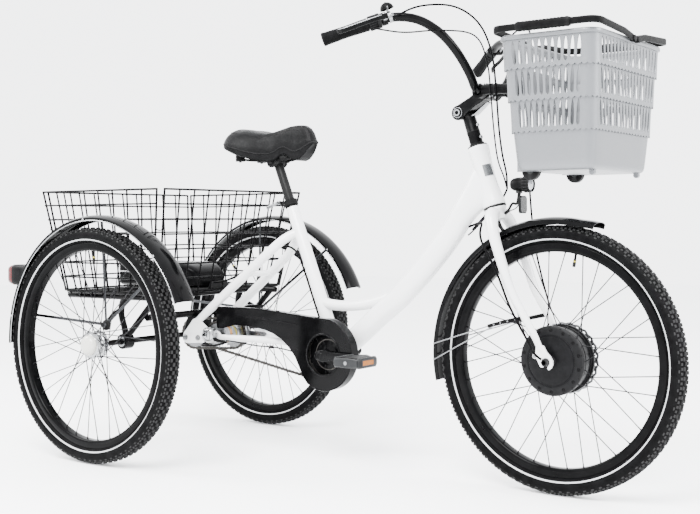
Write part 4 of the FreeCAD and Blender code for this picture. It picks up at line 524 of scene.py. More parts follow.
RIMP = [(264.0, 0), (264.0, -8.5), (264.6, -11.2), (266.3, -13.6), (269.0, -14.9), (272.0, -15.2), (284.3, -15.2), (285.6, -14.6), (285.6, -13.3), (284.4, -12.7), (276, -12.6), (271, -11.5), (270, -9), (270, 0)]


def rim(name, cx, cy, body, node, valve_ang, hub):
    mb = MB()
    prof = RIMP + [(r, -z) for r, z in reversed(RIMP[:-1])][:-1]
    revolve(mb, prof, (cx, cy, R0), (0, 1, 0), 150, closed=True)
    o = mb.make(name, [M_RIM], body, (node,), angle=40)
    # nipples
    mb = MB()
    for p, q in hub:
        d = unit(np.asarray(p) - np.asarray(q))
        revolve(mb, [(0, -2), (2.3, -2), (2.3, 1.8), (1.7, 2.6), (1.5, 10.0), (1.1, 11.0), (0, 11.0)], q, d, 8)
    o2 = mb.make(name + "_nipples", [M_SPOKE], body, ())
    # valve
    mb = MB()
    er = A(cos(valve_ang), 0, sin(valve_ang))
    base = A(cx, cy, R0) + er * 264.5
    revolve(mb, [(0, 0), (4.2, 0), (4.2, 2.0), (3.0, 2.6), (3.0, 15), (3.7, 15.2), (3.7, 17.5)], base, -er, 16, 0)
    revolve(mb, [(3.7, 17.5), (3.8, 17.6), (3.8, 20.5), (3.7, 20.6)], base, -er, 16, 1)
    revolve(mb, [(3.7, 20.6), (4.1, 21), (4.1, 31), (3.0, 33), (0, 33.2)], base, -er, 16, 0)
    mb.make(name + "_valve", [M_BLACKM, M_YELLOW], body, ())
    return o


def spoke_lines(cx, cy, yh_list, r_hub, lean, out_side=1.0, side=1, n=36):
    res = []
    for k in range(n):
        fl = yh_list[k % 2]
        cross = 1 if (k // 2) % 2 == 0 else -1
        a1 = 2 * pi * (k + 0.5) / n
        a0 = a1 + cross * lean
        off = 2.2 * (1 if cross > 0 else -1)
        p = A(cx + r_hub * cos(a0), cy + side * (fl + off), R0 + r_hub * sin(a0))
        q = A(cx + 264 * cos(a1), cy + side * 1.5 * (1 if fl > 0 else -1), R0 + 264 * sin(a1))
        res.append((p, q))
    return res


def spokes(name, lines, body, replaces=()):
    mb = MB()
    for p, q in lines:
        bar(mb, p, q, 1.35, 7)
    return mb.make(name, [M_SPOKE], body, replaces, angle=60)


FX, TR = 1260.8, 367.1
tyre("front_tyre_tread", FX, 0.0, "front_wheel", "front_tyre")
tyre("rear_tyre_tread_right", 0.0, -TR, "drive_axle", "rear_tyre_right")
tyre("rear_tyre_tread_left", 0.0, TR, "left_wheel", "rear_tyre_left")
fl_ = spoke_lines(FX, 0.0, (-24.6, 24.6), 84.3, 0.42)
rr_ = spoke_lines(0.0, -TR, (-24.7, 4.7), 35.0, 0.95, side=-1)
rl_ = spoke_lines(0.0, TR, (-24.7, 4.7), 35.0, 0.95, side=1)
rim("front_rim_black", FX, 0.0, "front_wheel", "front_rim", math.radians(79), fl_)
rim("rear_rim_black_right", 0.0, -TR, "drive_axle", "rear_rim_right", math.radians(88), rr_)
rim("rear_rim_black_left", 0.0, TR, "left_wheel", "rear_rim_left", math.radians(128), rl_)

# front motor
mb = MB()
mp = [(6.5, -44.0), (14, -44.0), (15, -42.4), (15.5, -41), (24, -40.2), (56, -38.6), (59.5, -37.6), (60.5, -36.4), (63.0, -36.4), (64.0, -37.4), (67, -37.6), (80, -35.4), (84.2, -33.4),
      (85.5, -31.0), (85.5, -24.6), (84.6, -23.6), (80.5, -23.2), (78.5, -21.6), (78.5, -8), (79.6, -7), (79.6, 7), (78.5, 8), (78.5, 21.6), (80.5, 23.2), (84.6, 23.6), (85.5, 24.6), (85.5, 31.0), (84.2, 33.4), (80, 35.4), (67, 37.6),
      (64, 37.4), (60, 37.2), (40, 38.4), (34, 39.4), (33.5, 42.6), (24, 43), (6.5, 43)]
revolve(mb, mp, (FX, 0, R0), (0, 1, 0), 96)
for s in (-1, 1):
    for i in range(14):
        a = 2 * pi * (i + 0.5) / 14
        p = A(FX + 74.5 * cos(a), s * 36.2, R0 + 74.5 * sin(a))
        revolve(mb, [(0, -1), (4.3, -1), (4.3, 0.6), (3.7, 1.3), (2.4, 1.6), (2.1, 0.5), (0, 0.4)], p, (0, s, 0), 14, 1)
    # spoke holes along the flange edge
    for i in range(18):
        a = 2 * pi * i / 18 + (0.06 if s > 0 else 0.22)
        p = A(FX + 81.0 * cos(a), s * 34.8, R0 + 81.0 * sin(a))
        revolve(mb, [(0, -0.4), (2.0, -0.4), (2.0, 0.5), (1.4, 0.5), (1.1, 0.0), (0, 0.0)], p, (0, s, 0), 10, 1)
mb.make("motor_case", [M_MOTOR, M_BLACKG], "front_wheel", ("hub_motor",), angle=30)
spokes("front_spokes", fl_, "front_wheel")

# rotor: perforated wavy ring and arms
mb = MB()
y0, y1 = 43.0, 44.9
nc = 24
for i in range(nc):
    a_0, a_1 = 2 * pi * i / nc, 2 * pi * (i + 1) / nc

    def pt(u, v):
        a = a_0 + (a_1 - a_0) * (u + 1) / 2
        ro = 88.2 + 1.7 * cos(nc * a + pi)
        ri = 71.0 + 1.2 * cos(nc * a)
        r = ri + (ro - ri) * v
        return a, r
    bnd = [(-1, 0), (-.5, 0), (0, 0), (.5, 0), (1, 0), (1, .25), (1, .5), (1, .75), (1, 1), (.5, 1), (0, 1), (-.5, 1), (-1, 1), (-1, .75), (-1, .5), (-1, .25)]
    vv = []
    for y in (y0, y1):
        for u, v in bnd:
            a, r = pt(u, v)
            vv.append(A(FX + r * cos(a), y, R0 + r * sin(a)))
        for j, (u, v) in enumerate(bnd):
            t = math.atan2((v - 0.5) * 17.0, u * 10.0)
            am, rm = pt(0, 0.5)
            dr, dt = 4.2 * sin(t), 4.2 * cos(t)
            a = am + dt / rm
            r = rm + dr
            vv.append(A(FX + r * cos(a), y, R0 + r * sin(a)))
    ff = []
    for j in range(16):
        k2 = (j + 1) % 16
        ff.append((j, k2, 16 + k2, 16 + j))
        ff.append((32 + j, 48 + j, 48 + k2, 32 + k2))
        ff.append((16 + j, 16 + k2, 48 + k2, 48 + j))
    for j in (0, 1, 2, 3):
        ff.append((j, 32 + j, 33 + j, j + 1))
    for j in (8, 9, 10, 11):
        ff.append((j, 32 + j, 33 + j, j + 1))
    mb.add(vv, ff, 0)
for i in range(6):
    a = 2 * pi * i / 6
    pth = np.array([A(FX + r * cos(a + (r - 22) * 0.009), 43.95, R0 + r * sin(a + (r - 22) * 0.009)) for r in np.linspace(20, 73, 8)])
    tube(mb, pth, (0.95, np.linspace(7.0, 4.2, 8)), up=(0, 1, 0), shape=[(1, 1), (-1, 1), (-1, -1), (1, -1)])
revolve(mb, [(12.2, 43.0), (24, 43.0), (24, 44.9), (12.2, 44.9)], (FX, 0, R0), (0, 1, 0), 48, closed=True)
for i in range(6):
    a = 2 * pi * i / 6 + 0.3
    bolt(mb, A(FX + 18.5 * cos(a), 44.6, R0 + 18.5 * sin(a)), (0, 1, 0), 3.6, 2.2, 1)
mb.make("rotor_disc", [M_ALU, M_BLACKM], "front_wheel", ("brake_rotor",), angle=35, weld=False)


def rear_hub(name, side, body, node, lines):
    mb = MB()
    o = A(0, side * TR, R0)
    revolve(mb, [(8.7, -32), (16, -32), (18, -30.5), (24, -29.4), (30, -28.4), (36, -27.2), (38.6, -26.2), (39.4, -25.2), (39.4, -24.0), (38.4, -23.2), (30, -21.6), (27, -19), (25.5, -15),
                 (25.5, -2), (26.5, 1.0), (31, 2.4), (38.0, 3.4), (39.0, 4.3), (39.0, 5.4), (38.0, 6.2), (33, 7.0), (29.5, 8.0), (28.5, 9.0)], o, (0, side, 0), 56, 0)
    for fl in (-25.2, 5.2):
        for i in range(18):
            a = 2 * pi * i / 18 + (0.1 if fl < 0 else 0.27)
            p = o + A(35.0 * cos(a), side * (fl + 1.6), 35.0 * sin(a))
            revolve(mb, [(0, 0), (1.9, 0), (1.6, 0.9), (0, 1.1)], p, (0, side, 0), 8, 0)
    o1 = mb.make(name, [M_CHROME], body, (node,), angle=34)
    mb = MB()
    revolve(mb, [(28.2, 8.0), (28.6, 10.0), (28.2, 14.0), (26.4, 18.6), (22.6, 22.6), (17.0, 25.6), (10.5, 27.4), (4.0, 28.1), (0, 28.2)], o, (0, side, 0), 48, 0)
    mb.make(name + "_cap", [M_CREAM], body, (), angle=50)
    spokes(name + "_spokes", lines, body)
    return o1


rear_hub("hub_chrome_right", -1, "drive_axle", "rear_hub_right", rr_)
rear_hub("hub_chrome_left", 1, "left_wheel", "rear_hub_left", rl_)

# motor axle: rod, washers and nuts
mb = MB()
revolve(mb, [(0, -75), (5.0, -75), (6, -74), (6, 74), (5, 75), (0, 75)], (FX, 0, R0), (0, 1, 0), 24)
for s in (-1, 1):
    revolve(mb, [(6, 64.8), (10.4, 64.8), (10.4, 66.4), (6, 66.4)], (FX, 0, R0), (0, s, 0), 32, 0, closed=True)
    hexnut(mb, A(FX, s * 66.4, R0), (0, s, 0), 10.2, 6.5, 0)
    revolve(mb, [(0, 72.5), (7.0, 72.5), (7.0, 74.8), (6, 75), (0, 75.0)], (FX, 0, R0), (0, s, 0), 24, 0)
mb.make("front_axle_nuts", [M_BLACKS], "steering", ("motor_axle",), angle=30)

# ------------------------------------------------------------------ frame
DT = [(1062, 752, 1.42), (1040, 731, 1.42), (1014, 702, 1.20), (989, 677, 1.08), (962, 645, 1.0), (935, 612, 1.0),
      (902, 575, 1.0), (869, 540, 0.98), (833, 505, 0.97), (796, 470, 0.95), (758, 440, 0.94), (720, 411, 0.93), (690, 386, 0.92),
      (660, 362, 0.92), (620, 331, 0.9), (592, 309, 0.88)]
st = []
for (tx, tz), (bx, bz) in (((1046, 838), (1082, 704)), ((1027, 808), (1053, 697)), ((1003, 765), (1031, 680)), ((983, 735), (1010, 657))):
    st.append(((tx + bx) / 2, (tz + bz) / 2, (tx - bx) / 2, (tz - bz) / 2))
for q_ in range(4, len(DT)):
    x_, z_, k_ = DT[q_]
    xa, za, _k = DT[q_ - 1]
    xb, zb2, _k = DT[min(q_ + 1, len(DT) - 1)]
    t_ = unit(A(xb - xa, 0, zb2 - za))
    nx, nz = t_[2], -t_[0]
    if nz < 0:
        nx, nz = -nx, -nz
    st.append((x_, z_, nx * 33.0 * k_, nz * 33.0 * k_))
sc_ = spline([(a_, 0, b_) for a_, b_, c_, d_ in st], 5)
su_ = spline([(c_, 0, d_) for a_, b_, c_, d_ in st], 5)
mb = MB()
nseg = 48
vs, fs = [], []
for q_ in range(len(sc_)):
    hw = 25.0 * (1 - 0.10 * (1 - smoothstep(0, 18, q_)))
    for i in range(nseg):
        a_ = 2 * pi * i / nseg
        vs.append(sc_[q_] + su_[q_] * cos(a_) + A(0, hw, 0) * sin(a_))
for q_ in range(len(sc_) - 1):
    for i in range(nseg):
        j_ = (i + 1) % nseg
        fs.append((q_ * nseg + i, q_ * nseg + j_, (q_ + 1) * nseg + j_, (q_ + 1) * nseg + i))
mb.add(vs, fs)
mb.make("down_tube_shell", [M_WHITE], "frame", ("down_tube",), angle=60)

HU = A(-cos(math.radians(72)), 0, sin(math.radians(72)))
HF = A(sin(math.radians(72)), 0, cos(math.radians(72)))
HL = A(1086, 0, 707)


def hp(s, side=0.0, fwd=0.0):
    return HL + HU * s + HF * fwd + A(0, side, 0)


mb = MB()
pr = [(17.3, 0), (28.6, 0), (29.2, 1.0), (29.2, 9), (28.4, 14), (26.8, 24), (25.2, 38), (24.2, 54), (23.6, 72), (23.8, 92), (24.8, 112), (26.6, 132), (28.0, 147), (28.4, 156.5), (27.8, 158), (17.3, 158)]
pr2 = [(r, h) for r, h in pr]
revolve(mb, pr2, HL, HU, 64)
revolve(mb, [(14.4, -6), (28.4, -6), (29.4, -5), (29.4, -0.6), (28.8, 0), (17, 0)], HL, HU, 56, 1)
revolve(mb, [(17, 158), (26.6, 158.2), (26.8, 159.2), (25.4, 162.5), (22, 164), (14.4, 164)], HL, HU, 56, 1)
mb.make("head_tube_shell", [M_WHITE, M_BLACKS], "frame", ("head_tube",), angle=34)
# blank badge plate on the front right of the head tube
mb = MB()
u_, w_, a_ = basis(HU, HF)
for k, (r0, r1, t0, t1, h0, h1) in enumerate([(23.3, 25.3, -1.18, -0.16, 76, 106)]):
    nb = 14
    vs = []
    for r in (r0, r1):
        for h in (h0, h1):
            for i in range(nb + 1):
                t = t0 + (t1 - t0) * i / nb
                vs.append(HL + (u_ * cos(t) + w_ * sin(t)) * r + a_ * h)
    k1 = nb + 1
    fs = []
    for i in range(nb):
        fs.append((2 * k1 + i, 2 * k1 + i + 1, 3 * k1 + i + 1, 3 * k1 + i))
        fs.append((i, k1 + i, k1 + i + 1, i + 1))
        fs.append((i, i + 1, 2 * k1 + i + 1, 2 * k1 + i))
        fs.append((k1 + i, 3 * k1 + i, 3 * k1 + i + 1, k1 + i + 1))
    fs += [(0, 2 * k1, 3 * k1, k1), (nb, k1 + nb, 3 * k1 + nb, 2 * k1 + nb)]
    mb.add(vs, fs)
mb.make("head_badge", [M_BADGE], "frame", (), bevel=0.5)

# seat tube, collar
st_top = A(418, 0, 717)
BBc = A(584, 0, 306)
sd = unit(BBc - st_top)
mb = MB()
L_ = np.linalg.norm(BBc - st_top)
revolve(mb, [(13.7, 0), (17.2, 0), (17.5, 0.8), (17.5, L_ - 4)], st_top, sd, 48)
mb.make("seat_tube_shell", [M_WHITE], "frame", ("seat_tube",), angle=40)
mb = MB()
revolve(mb, [(13.7, -16), (19.2, -16), (20.0, -15), (20.0, -1), (19.4, 0), (17, 0), (17, 6), (18.2, 6), (18.2, -0.5)], st_top, sd, 48)
cb = st_top - sd * 8
block(mb, cb + A(-25, 0, 0), (18, 9, 12))
mb.make("seat_collar", [M_BLACKM], "frame", (), bevel=0.8)
mb = MB()
lp = A(418 - sd[0] * 9 - 34, 0, 717 - sd[2] * 9)
revolve(mb, [(0, -6), (6, -6), (6.5, -5.4), (6.5, 5.4), (6, 6), (0, 6)], lp + A(0, -12, 0), (0, 0, 1), 24)
pth = spline([lp + A(1, -13, 0), lp + A(3, -22, -1), lp + A(0, -30, -4), lp + A(-12, -33.5, -9), lp + A(-27, -33.0, -15)], 6)
tube(mb, pth, (np.linspace(4.6, 2.4, len(pth)), np.linspace(4.0, 5.0, len(pth))), 14, up=(0, 1, 0))
revolve(mb, [(0, 4.6), (5.2, 4.6), (6.4, 6), (6.4, 9), (5, 11), (0, 11.5)], lp, (0, 1, 0), 24)
bar(mb, lp + A(0, -8, 0), lp + A(0, 6, 0), 2.6, 12)
mb.make("seat_clamp_arm", [M_STEEL], "seat_clamp", ("seat_clamp_lever",), angle=40)

# brace
mb = MB()
tube(mb, spline([(524, 0, 446), (560, 0, 439.5), (600, 0, 437.5), (650, 0, 440), (700, 0, 448), (745, 0, 461), (795, 0, 482)], 8), (14.5, 14.5), 32)
mb.make("brace_shell", [M_WHITE], "frame", ("brace_tube",), angle=60)

# bottom bracket
mb = MB()
revolve(mb, [(17, -34), (20.4, -34), (21, -33.2), (21, 33.2), (20.4, 34), (17, 34)], BBc, (0, 1, 0), 48)
for s in (-1, 1):
    revolve(mb, [(8.8, 34.2), (19.4, 34.2), (19.8, 35.4), (8.8, 35.4)], BBc, (0, s, 0), 40, 1)
mb.make("bracket_shell_paint", [M_WHITE, M_BLACKS], "frame", ("bottom_bracket_shell",), angle=34)

# chain stays, seat stays, dropouts
dy = 62.0
mb = MB()
for s in (-1, 1):
    p = arcs([(566, s * 20, 313), (500, s * 26, 322), (440, s * 33, 330), (360, s * 55, 335), (300, s * 62, 335), (196, s * 62, 335)])
    p, _ = resample(p, 8.0)
    x = p[:, 0]
    ru = np.interp(x, [190, 205, 240, 360, 566], [4.0, 6.0, 9.5, 9.5, 9.5])
    tube(mb, p, (np.interp(x, [190, 215, 260, 566], [7.5, 8.5, 9.5, 9.5]), ru), 24, up=(0, 0, 1))
    poly = [(48, 317), (53, 313), (60, 311), (150, 316), (178, 319), (193, 325), (197, 331), (197, 342), (192, 349), (184, 353), (150, 357), (128, 372), (113, 384), (100, 387), (88, 383), (62, 354), (49, 341), (46, 330)]
    prism(mb, poly, (0, s * dy + 3.0, 0), (1, 0, 0), (0, 0, 1), 6.0)
o = mb.make("chain_stay_pair", [M_WHITE], "frame", ("chain_stays",), angle=38, bevel=0.9)
mb = MB()
for s in (-1, 1):
    for hx, hz in ((58, 328), (109, 329)):
        revolve(mb, [(0, 0), (8.4, 0), (8.4, 1.2), (7.4, 1.5)], A(hx, s * 65, hz), (0, s, 0), 24)
        hexnut(mb, A(hx, s * 66.4, hz), (0, s, 0), 7.4, 4.2)
        revolve(mb, [(0, 0), (3.4, 0), (3.2, 3.2), (0, 3.4)], A(hx, s * 69, hz), (0, s, 0), 16)
mb.make("dropout_bolts", [M_STEEL], "frame", (), angle=32)
mb = MB()
for s in (-1, 1):
    p = spline([(440, s * 4, 640), (420, s * 20, 628), (400, s * 36, 610), (362, s * 49, 575), (300, s * 54, 527), (248, s * 56, 488), (196, s * 58, 448), (148, s * 60, 411), (101, s * 62, 375.5)], 8)
    x = p[:, 0]
    tube(mb, p, (np.interp(x, [96, 130, 160, 440], [10.0, 12.0, 13.0, 13.0]), np.interp(x, [96, 125, 160, 440], [4.5, 8.0, 13.0, 13.0])), 28, up=(0, 0, 1))
bar(mb, (292, -50, 521), (292, 50, 521), 8.2, 24)
mb.make("seat_stay_pair", [M_WHITE], "frame", ("seat_stays",), angle=50)

# ------------------------------------------------------------------ rear subframe
mb = MB()
for s in (-1, 1):
    y = s * 245.0
    bar(mb, (-242, y, 457), (142, y, 457), 9.0, 24)
    for xe in (-242, 142):
        revolve(mb, [(9.2, -1.0), (9.2, 1.5), (7.5, 2.6), (0, 2.8)] if xe > 0 else [(0, -2.8), (7.5, -2.6), (9.2, -1.5), (9.2, 1.0)], (xe, y, 457), (1, 0, 0), 20)
    p = spline([(0, y, 340), (-6, y, 368), (-18, y, 404), (-16, y, 432), (-4, y, 455)], 8)
    tube(mb, p, (np.linspace(9.5, 12.0, len(p)), np.linspace(9.0, 6.0, len(p))), 20, up=(1, 0, 0))
    bar(mb, (4, y, 340), (122, y, 455), 9.0, 20)
for x in (-150, 60):
    bar(mb, (x, -240, 457), (x, 240, 457), 8.0, 20)
bar(mb, (84, -242, 400), (84, 242, 400), 10.0, 24)
for s in (-1, 1):
    y0 = s * 55.85 + 3.0
    prism(mb, [(46, 316), (122, 316), (124, 340), (104, 404), (96, 410), (72, 410), (64, 404), (44, 340)], (0, y0, 0), (1, 0, 0), (0, 0, 1), 6.0)
mb.make("carrier_frame", [M_BLACKG], "frame", ("rear_subframe",), angle=38, bevel=0.6)
mb = MB()
for s in (-1, 1):
    revolve(mb, [(8.7, -16), (20, -16), (22, -14.5), (22, 14.5), (20, 16), (8.7, 16)], (0, s * 245, R0), (0, 1, 0), 40)
    for d in (-1, 1):
        revolve(mb, [(9.5, 16), (15, 16), (15, 17.2), (9.5, 17.4)], (0, s * 245, R0), (0, d, 0), 28, 1)
mb.make("bearing_blocks", [M_BLACKG, M_STEEL], "frame", ("axle_bearings",), angle=34)
mb = MB()
revolve(mb, [(0, -384.6), (7.6, -384.6), (8.5, -383.6), (8.5, 383.6), (7.6, 384.6), (0, 384.6)], (0, 0, R0), (0, 1, 0), 28)


def sprocket(mb, c, y, w, rp, teeth, m=0, hole=0.0, phase=0.0):
    pts = []
    for i in range(teeth):
        for f, r in ((0.0, rp - 2.6), (0.18, rp - 2.2), (0.38, rp + 2.2), (0.5, rp + 3.0), (0.62, rp + 2.2), (0.82, rp - 2.2)):
            a = 2 * pi * (i + f) / teeth + phase
            pts.append((r * cos(a), r * sin(a)))
    if not hole:
        prism(mb, pts, (c[0], y + w / 2, c[2]), (1, 0, 0), (0, 0, 1), w, m)
    else:
        k = len(pts)
        inner = [(hole * cos(2 * pi * j / k + phase), hole * sin(2 * pi * j / k + phase)) for j in range(k)]
        v = []
        for yy in (y - w / 2, y + w / 2):
            v += [A(c[0] + a, yy, c[2] + b) for a, b in pts] + [A(c[0] + a, yy, c[2] + b) for a, b in inner]
        f = []
        for j in range(k):
            j2 = (j + 1) % k
            f += [(j, j2, k + j2, k + j), (2 * k + j, 3 * k + j, 3 * k + j2, 2 * k + j2), (j, 2 * k + j, 2 * k + j2, j2), (k + j, k + j2, 3 * k + j2, 3 * k + j)]
        mb.add(v, f, m)


sprocket(mb, (0, 0, R0), 28.0, 4.0, 44.6 - 1.5, 22, 1)
revolve(mb, [(8.5, 14), (16, 14), (17, 15), (17, 26), (8.5, 26)], (0, 0, R0), (0, 1, 0), 32, 0)
mb.make("axle_shaft", [M_BLACKG, M_STEEL], "drive_axle", ("rear_axle",), angle=34)

# ------------------------------------------------------------------ middle hub
HX, HZ = 165.0, 338.0
mb = MB()
revolve(mb, [(6.2, -50.8), (13, -50.8), (15, -50), (15, -47.2), (22, -47.2), (22, -43), (23, -42), (23, -38), (28, -35), (29, -33.6), (29, -30.6), (28, -29.6), (26, -28), (25, -25), (25, -14)], (HX, 0, HZ), (0, 1, 0), 48, 0)
revolve(mb, [(25, -14), (25.6, -13.5), (25.6, -4), (25, -3.5)], (HX, 0, HZ), (0, 1, 0), 48, 2)
revolve(mb, [(25, -3.5), (25, 4), (26.4, 6), (26.4, 9), (25, 10)], (HX, 0, HZ), (0, 1, 0), 48, 0)
revolve(mb, [(25, 10), (25.4, 10.2), (25.4, 15), (25, 15.4)], (HX, 0, HZ), (0, 1, 0), 48, 3)
revolve(mb, [(25, 15.4), (25, 18), (28, 19.6), (29, 20.6), (29, 26), (18, 26), (18, 33), (6.2, 33)], (HX, 0, HZ), (0, 1, 0), 48, 0)
sprocket(mb, (HX, 0, HZ), -45.0, 3.2, 36.6 - 1.5, 18, 1)
sprocket(mb, (HX, 0, HZ), 28.0, 4.0, 44.6 - 1.5, 22, 1)
mb.make("middle_hub_shell", [M_ALU, M_STEEL, M_COPPER, M_YELLOW], "middle_hub", ("geared_hub",), angle=34)
mb = MB()
revolve(mb, [(0, -83.5), (5.4, -83.5), (6, -82.6), (6, 73.4), (5.4, 74), (0, 74)], (HX, 0, HZ), (0, 1, 0), 24, 1)
for s, y in ((-1, 66.2), (1, 65.8)):
    hexnut(mb, A(HX, s * y, HZ), (0, s, 0), 10.5, 5.2, 1)
revolve(mb, [(6.2, 35.2), (36, 35.2), (38, 36.5), (38, 48), (36.5, 49), (43, 49.3), (44, 50), (44, 51.4), (43, 52), (21, 52.2), (20, 53), (20, 57.5), (18, 58.5), (6.2, 58.5)], (HX, 0, HZ), (0, 1, 0), 56, 0)
for i in range(24):
    a = 2 * pi * i / 24
    block(mb, A(HX + 33 * cos(a), 52.4, HZ + 33 * sin(a)), (16, 1.4, 1.8), R=[[cos(a), 0, -sin(a)], [0, 1, 0], [sin(a), 0, cos(a)]], m=0)
prism(mb, [(HX + 30, HZ - 8), (HX + 104, HZ - 7), (HX + 110, HZ - 3), (HX + 110, HZ + 3), (HX + 104, HZ + 7), (HX + 30, HZ + 8)], (0, 51.3, 0), (1, 0, 0), (0, 0, 1), 3.0, 1)
mb.make("roller_brake", [M_ALU, M_STEEL], "frame", ("hub_brake",), angle=34, bevel=0.3)
mb = MB()
c0 = A(HX + 4, -71.8, HZ + 3)
sec = spline([(23.5, 0, 2), (20, 0, 19), (2, 0, 24), (-16, 0, 19), (-21, 0, 2), (-17, 0, -17), (2, 0, -22), (20, 0, -17)], 5, closed=True)
rings = [(0.98, 0.0), (1.0, -1.5), (1.0, -9), (0.94, -16), (0.80, -21.5), (0.58, -24.6), (0.30, -25.8)]
vs = []
for sc, y in rings:
    for q in sec:
        vs.append(c0 + A(q[0] * sc, y, q[2] * sc))
k = len(sec)
fs = []
for i in range(len(rings) - 1):
    for j in range(k):
        j2 = (j + 1) % k
        fs.append((i * k + j, i * k + j2, (i + 1) * k + j2, (i + 1) * k + j))
fs.append(tuple(range(k)))
fs.append(tuple((len(rings) - 1) * k + j for j in reversed(range(k))))
mb.add(vs, fs)
pth = spline([c0 + A(14, -8, -8), c0 + A(30, -8, -13), c0 + A(46, -7, -15), c0 + A(60, -7, -14)], 6)
tube(mb, pth, np.linspace(6.0, 3.4, len(pth)), 16, 1)
for i in range(6):
    p = pth[3 + i * 2]
    revolve(mb, [(3.0, -0.8), (6.0 - 0.25 * i, 0), (3.0, 0.8)], p, pth[4 + i * 2] - p, 16, 1)
mb.make("shift_box", [M_CHROME, M_BLACKM], "frame", ("shift_bell_crank",), angle=40)
mb = MB()
tube(mb, spline([(150, -66.5, 320), (148, -86, 314), (160, -99, 312), (200, -101, 314), (222, -92, 318), (226, -67, 322)], 8), 3.0, 12)
mb.make("shift_guard_loop", [M_BLACKG], "frame", (), angle=60)

# ------------------------------------------------------------------ rear basket
mb = MB()
bz, tz = 470.0, 766.0


def panel(mb, O, U, Vv, wl, wh, height, pitch, rows, rw=2.4, rf=2.9, top_split=False):
    n = int(round(2 * wl / pitch))
    U, Vv = unit(U), unit(Vv)
    N_ = np.cross(U, Vv)

    def P3(u, v, d=0.0):
        return np.asarray(O, float) + U * u + Vv * v + N_ * d

    def w(v):
        return wl + (wh - wl) * v / height
    for i in range(n + 1):
        f = -1 + 2 * i / n
        edge = i in (0, n)
        bar(mb, P3(f * (w(0) - rf), 2.0), P3(f * (w(height) - rf), height - 2.0), rf if edge else rw, 8)
    for j in range(rows + 1):
        v = min(max(height * j / rows, 2.4), height - 2.4)
        edge = j in (0, rows)
        d = 0.0 if edge else rw * 1.5
        bar(mb, P3(-(w(v) - 1.0), v, d), P3(w(v) - 1.0, v, d), rf if edge else rw, 8)


h = tz - bz
for s in (-1, 1):
    sl = math.atan2(38.0, h)
    panel(mb, (-48.0, s * 266.5, bz), (1, 0, 0), (0, s * sin(sl), cos(sl)), 190.0, 244.0, h / cos(sl), 45.0, 7)
for x0, x1, s in ((144.0, 207.0, 1), (-244.5, -288.0, -1)):
    sl = math.atan2(abs(x1 - x0), h)
    panel(mb, (x0, 0, bz), (0, 1, 0), (s * sin(sl), 0, cos(sl)), 254.0, 291.0, h / cos(sl), 50.0, 7)
# corner clips
for sx, sy in ((1, 1), (1, -1), (-1, 1), (-1, -1)):
    for v in (0.62, 0.30):
        z = bz + h * v
        x = (144 + 63 * v) if sx > 0 else (-244.5 - 43.5 * v)
        y = sy * (266.5 + 38 * v)
        xs = -48 + sx * (190 + 54 * v)
        ys = sy * (254 + 37 * v)
        tube(mb, spline([(xs - sx * 4, y, z + 6), (xs + sx * 2, y, z - 2), (x, ys + sy * 4, z - 4), (x, ys - sy * 6, z + 4)], 5), 1.5, 8)
mb.make("basket_wires", [M_WIRE], "frame", ("rear_basket_panels",), angle=60)
mb = MB()
for i in range(9):
    x = -236 + 376 * i / 8
    bar(mb, (x, -259, 468), (x, 259, 468), 1.9, 8)
for j in range(11):
    y = -258 + 516 * j / 10
    bar(mb, (-237, y, 468.0 + (0.0 if j in (0, 10) else 0.0)), (141, y, 468.0), 1.9 if j not in (0, 10) else 2.0, 8)
mb.make("basket_floor_wires", [M_WIRE], "frame", ("rear_basket_floor",), angle=60)
mb = MB()
prism(mb, [(-205, -60), (125, -60), (125, 60), (-205, 60)], (0, 0, 470.2), (1, 0, 0), (0, 1, 0), 5.6)
prism(mb, [(-205, 470.4), (-205, 476), (120, 476), (126, 488), (130, 494), (137, 494), (137, 470.4)], (0, 34, 0), (1, 0, 0), (0, 0, 1), 68.0)
mb.make("battery_cradle", [M_BLACKM], "frame", (), bevel=1.6)

# battery: rounded long body, silver side lines
mb = MB()
x0, x1 = -222.0, 104.0
xs = np.concatenate([np.linspace(x0, x0 + 10, 4), np.linspace(x0 + 24, x1 - 100, 6), x1 - 100 + 100 * np.sin(np.linspace(0.15, pi / 2, 11))])
sec = rrect(1.0, 1.0, 0.34, 6)
vs, ks = [], []
for x in xs:
    f = max(0.0, (x - (x1 - 100)) / 100)
    sc = math.sqrt(max(0.0, 1 - f ** 2.6)) if f > 0 else 1.0
    b = min(1.0, 0.90 + 0.10 * math.sqrt(max(0.0, min(1.0, (x - x0) / 10))))
    hw = 77.5 * b * (0.55 + 0.45 * sc)
    hh = 37.6 * b * (0.30 + 0.70 * sc)
    zc = 476.6 + 37.8 - (37.6 * b - hh) * 0.9
    for a, bb in sec:
        vs.append((x, a * hw, zc + bb * hh))
k = len(sec)
fs = [tuple(range(k)), tuple((len(xs) - 1) * k + j for j in reversed(range(k)))]
for i in range(len(xs) - 1):
    for j in range(k):
        j2 = (j + 1) % k
        fs.append((i * k + j, i * k + j2, (i + 1) * k + j2, (i + 1) * k + j))
mb.add(vs, fs)
mb.make("battery_pack", [M_BATT], "battery", ("battery_case",), angle=50)
mb = MB()
for s in (-1, 1):
    tube(mb, np.array([(x, s * 77.3, 521.0) for x in np.linspace(-214, 10, 8)]), (2.2, 1.2), 10, up=(0, 0, 1))
    tube(mb, spline([(10, s * 77.0, 521), (40, s * 74.6, 519.5), (66, s * 68, 517), (84, s * 60, 513)], 6), (2.2, 1.2), 10, up=(0, 0, 1))
block(mb, (-60, 0, 552.6), (120, 20, 1.6))
for i in range(4):
    revolve(mb, [(0, 0), (3.0, 0), (2.6, 1.0), (0, 1.2)], (30 + i * 12, 0, 551.8), (0, 0, 1), 16)
mb.make("battery_trim", [M_ALU], "battery", (), angle=40)

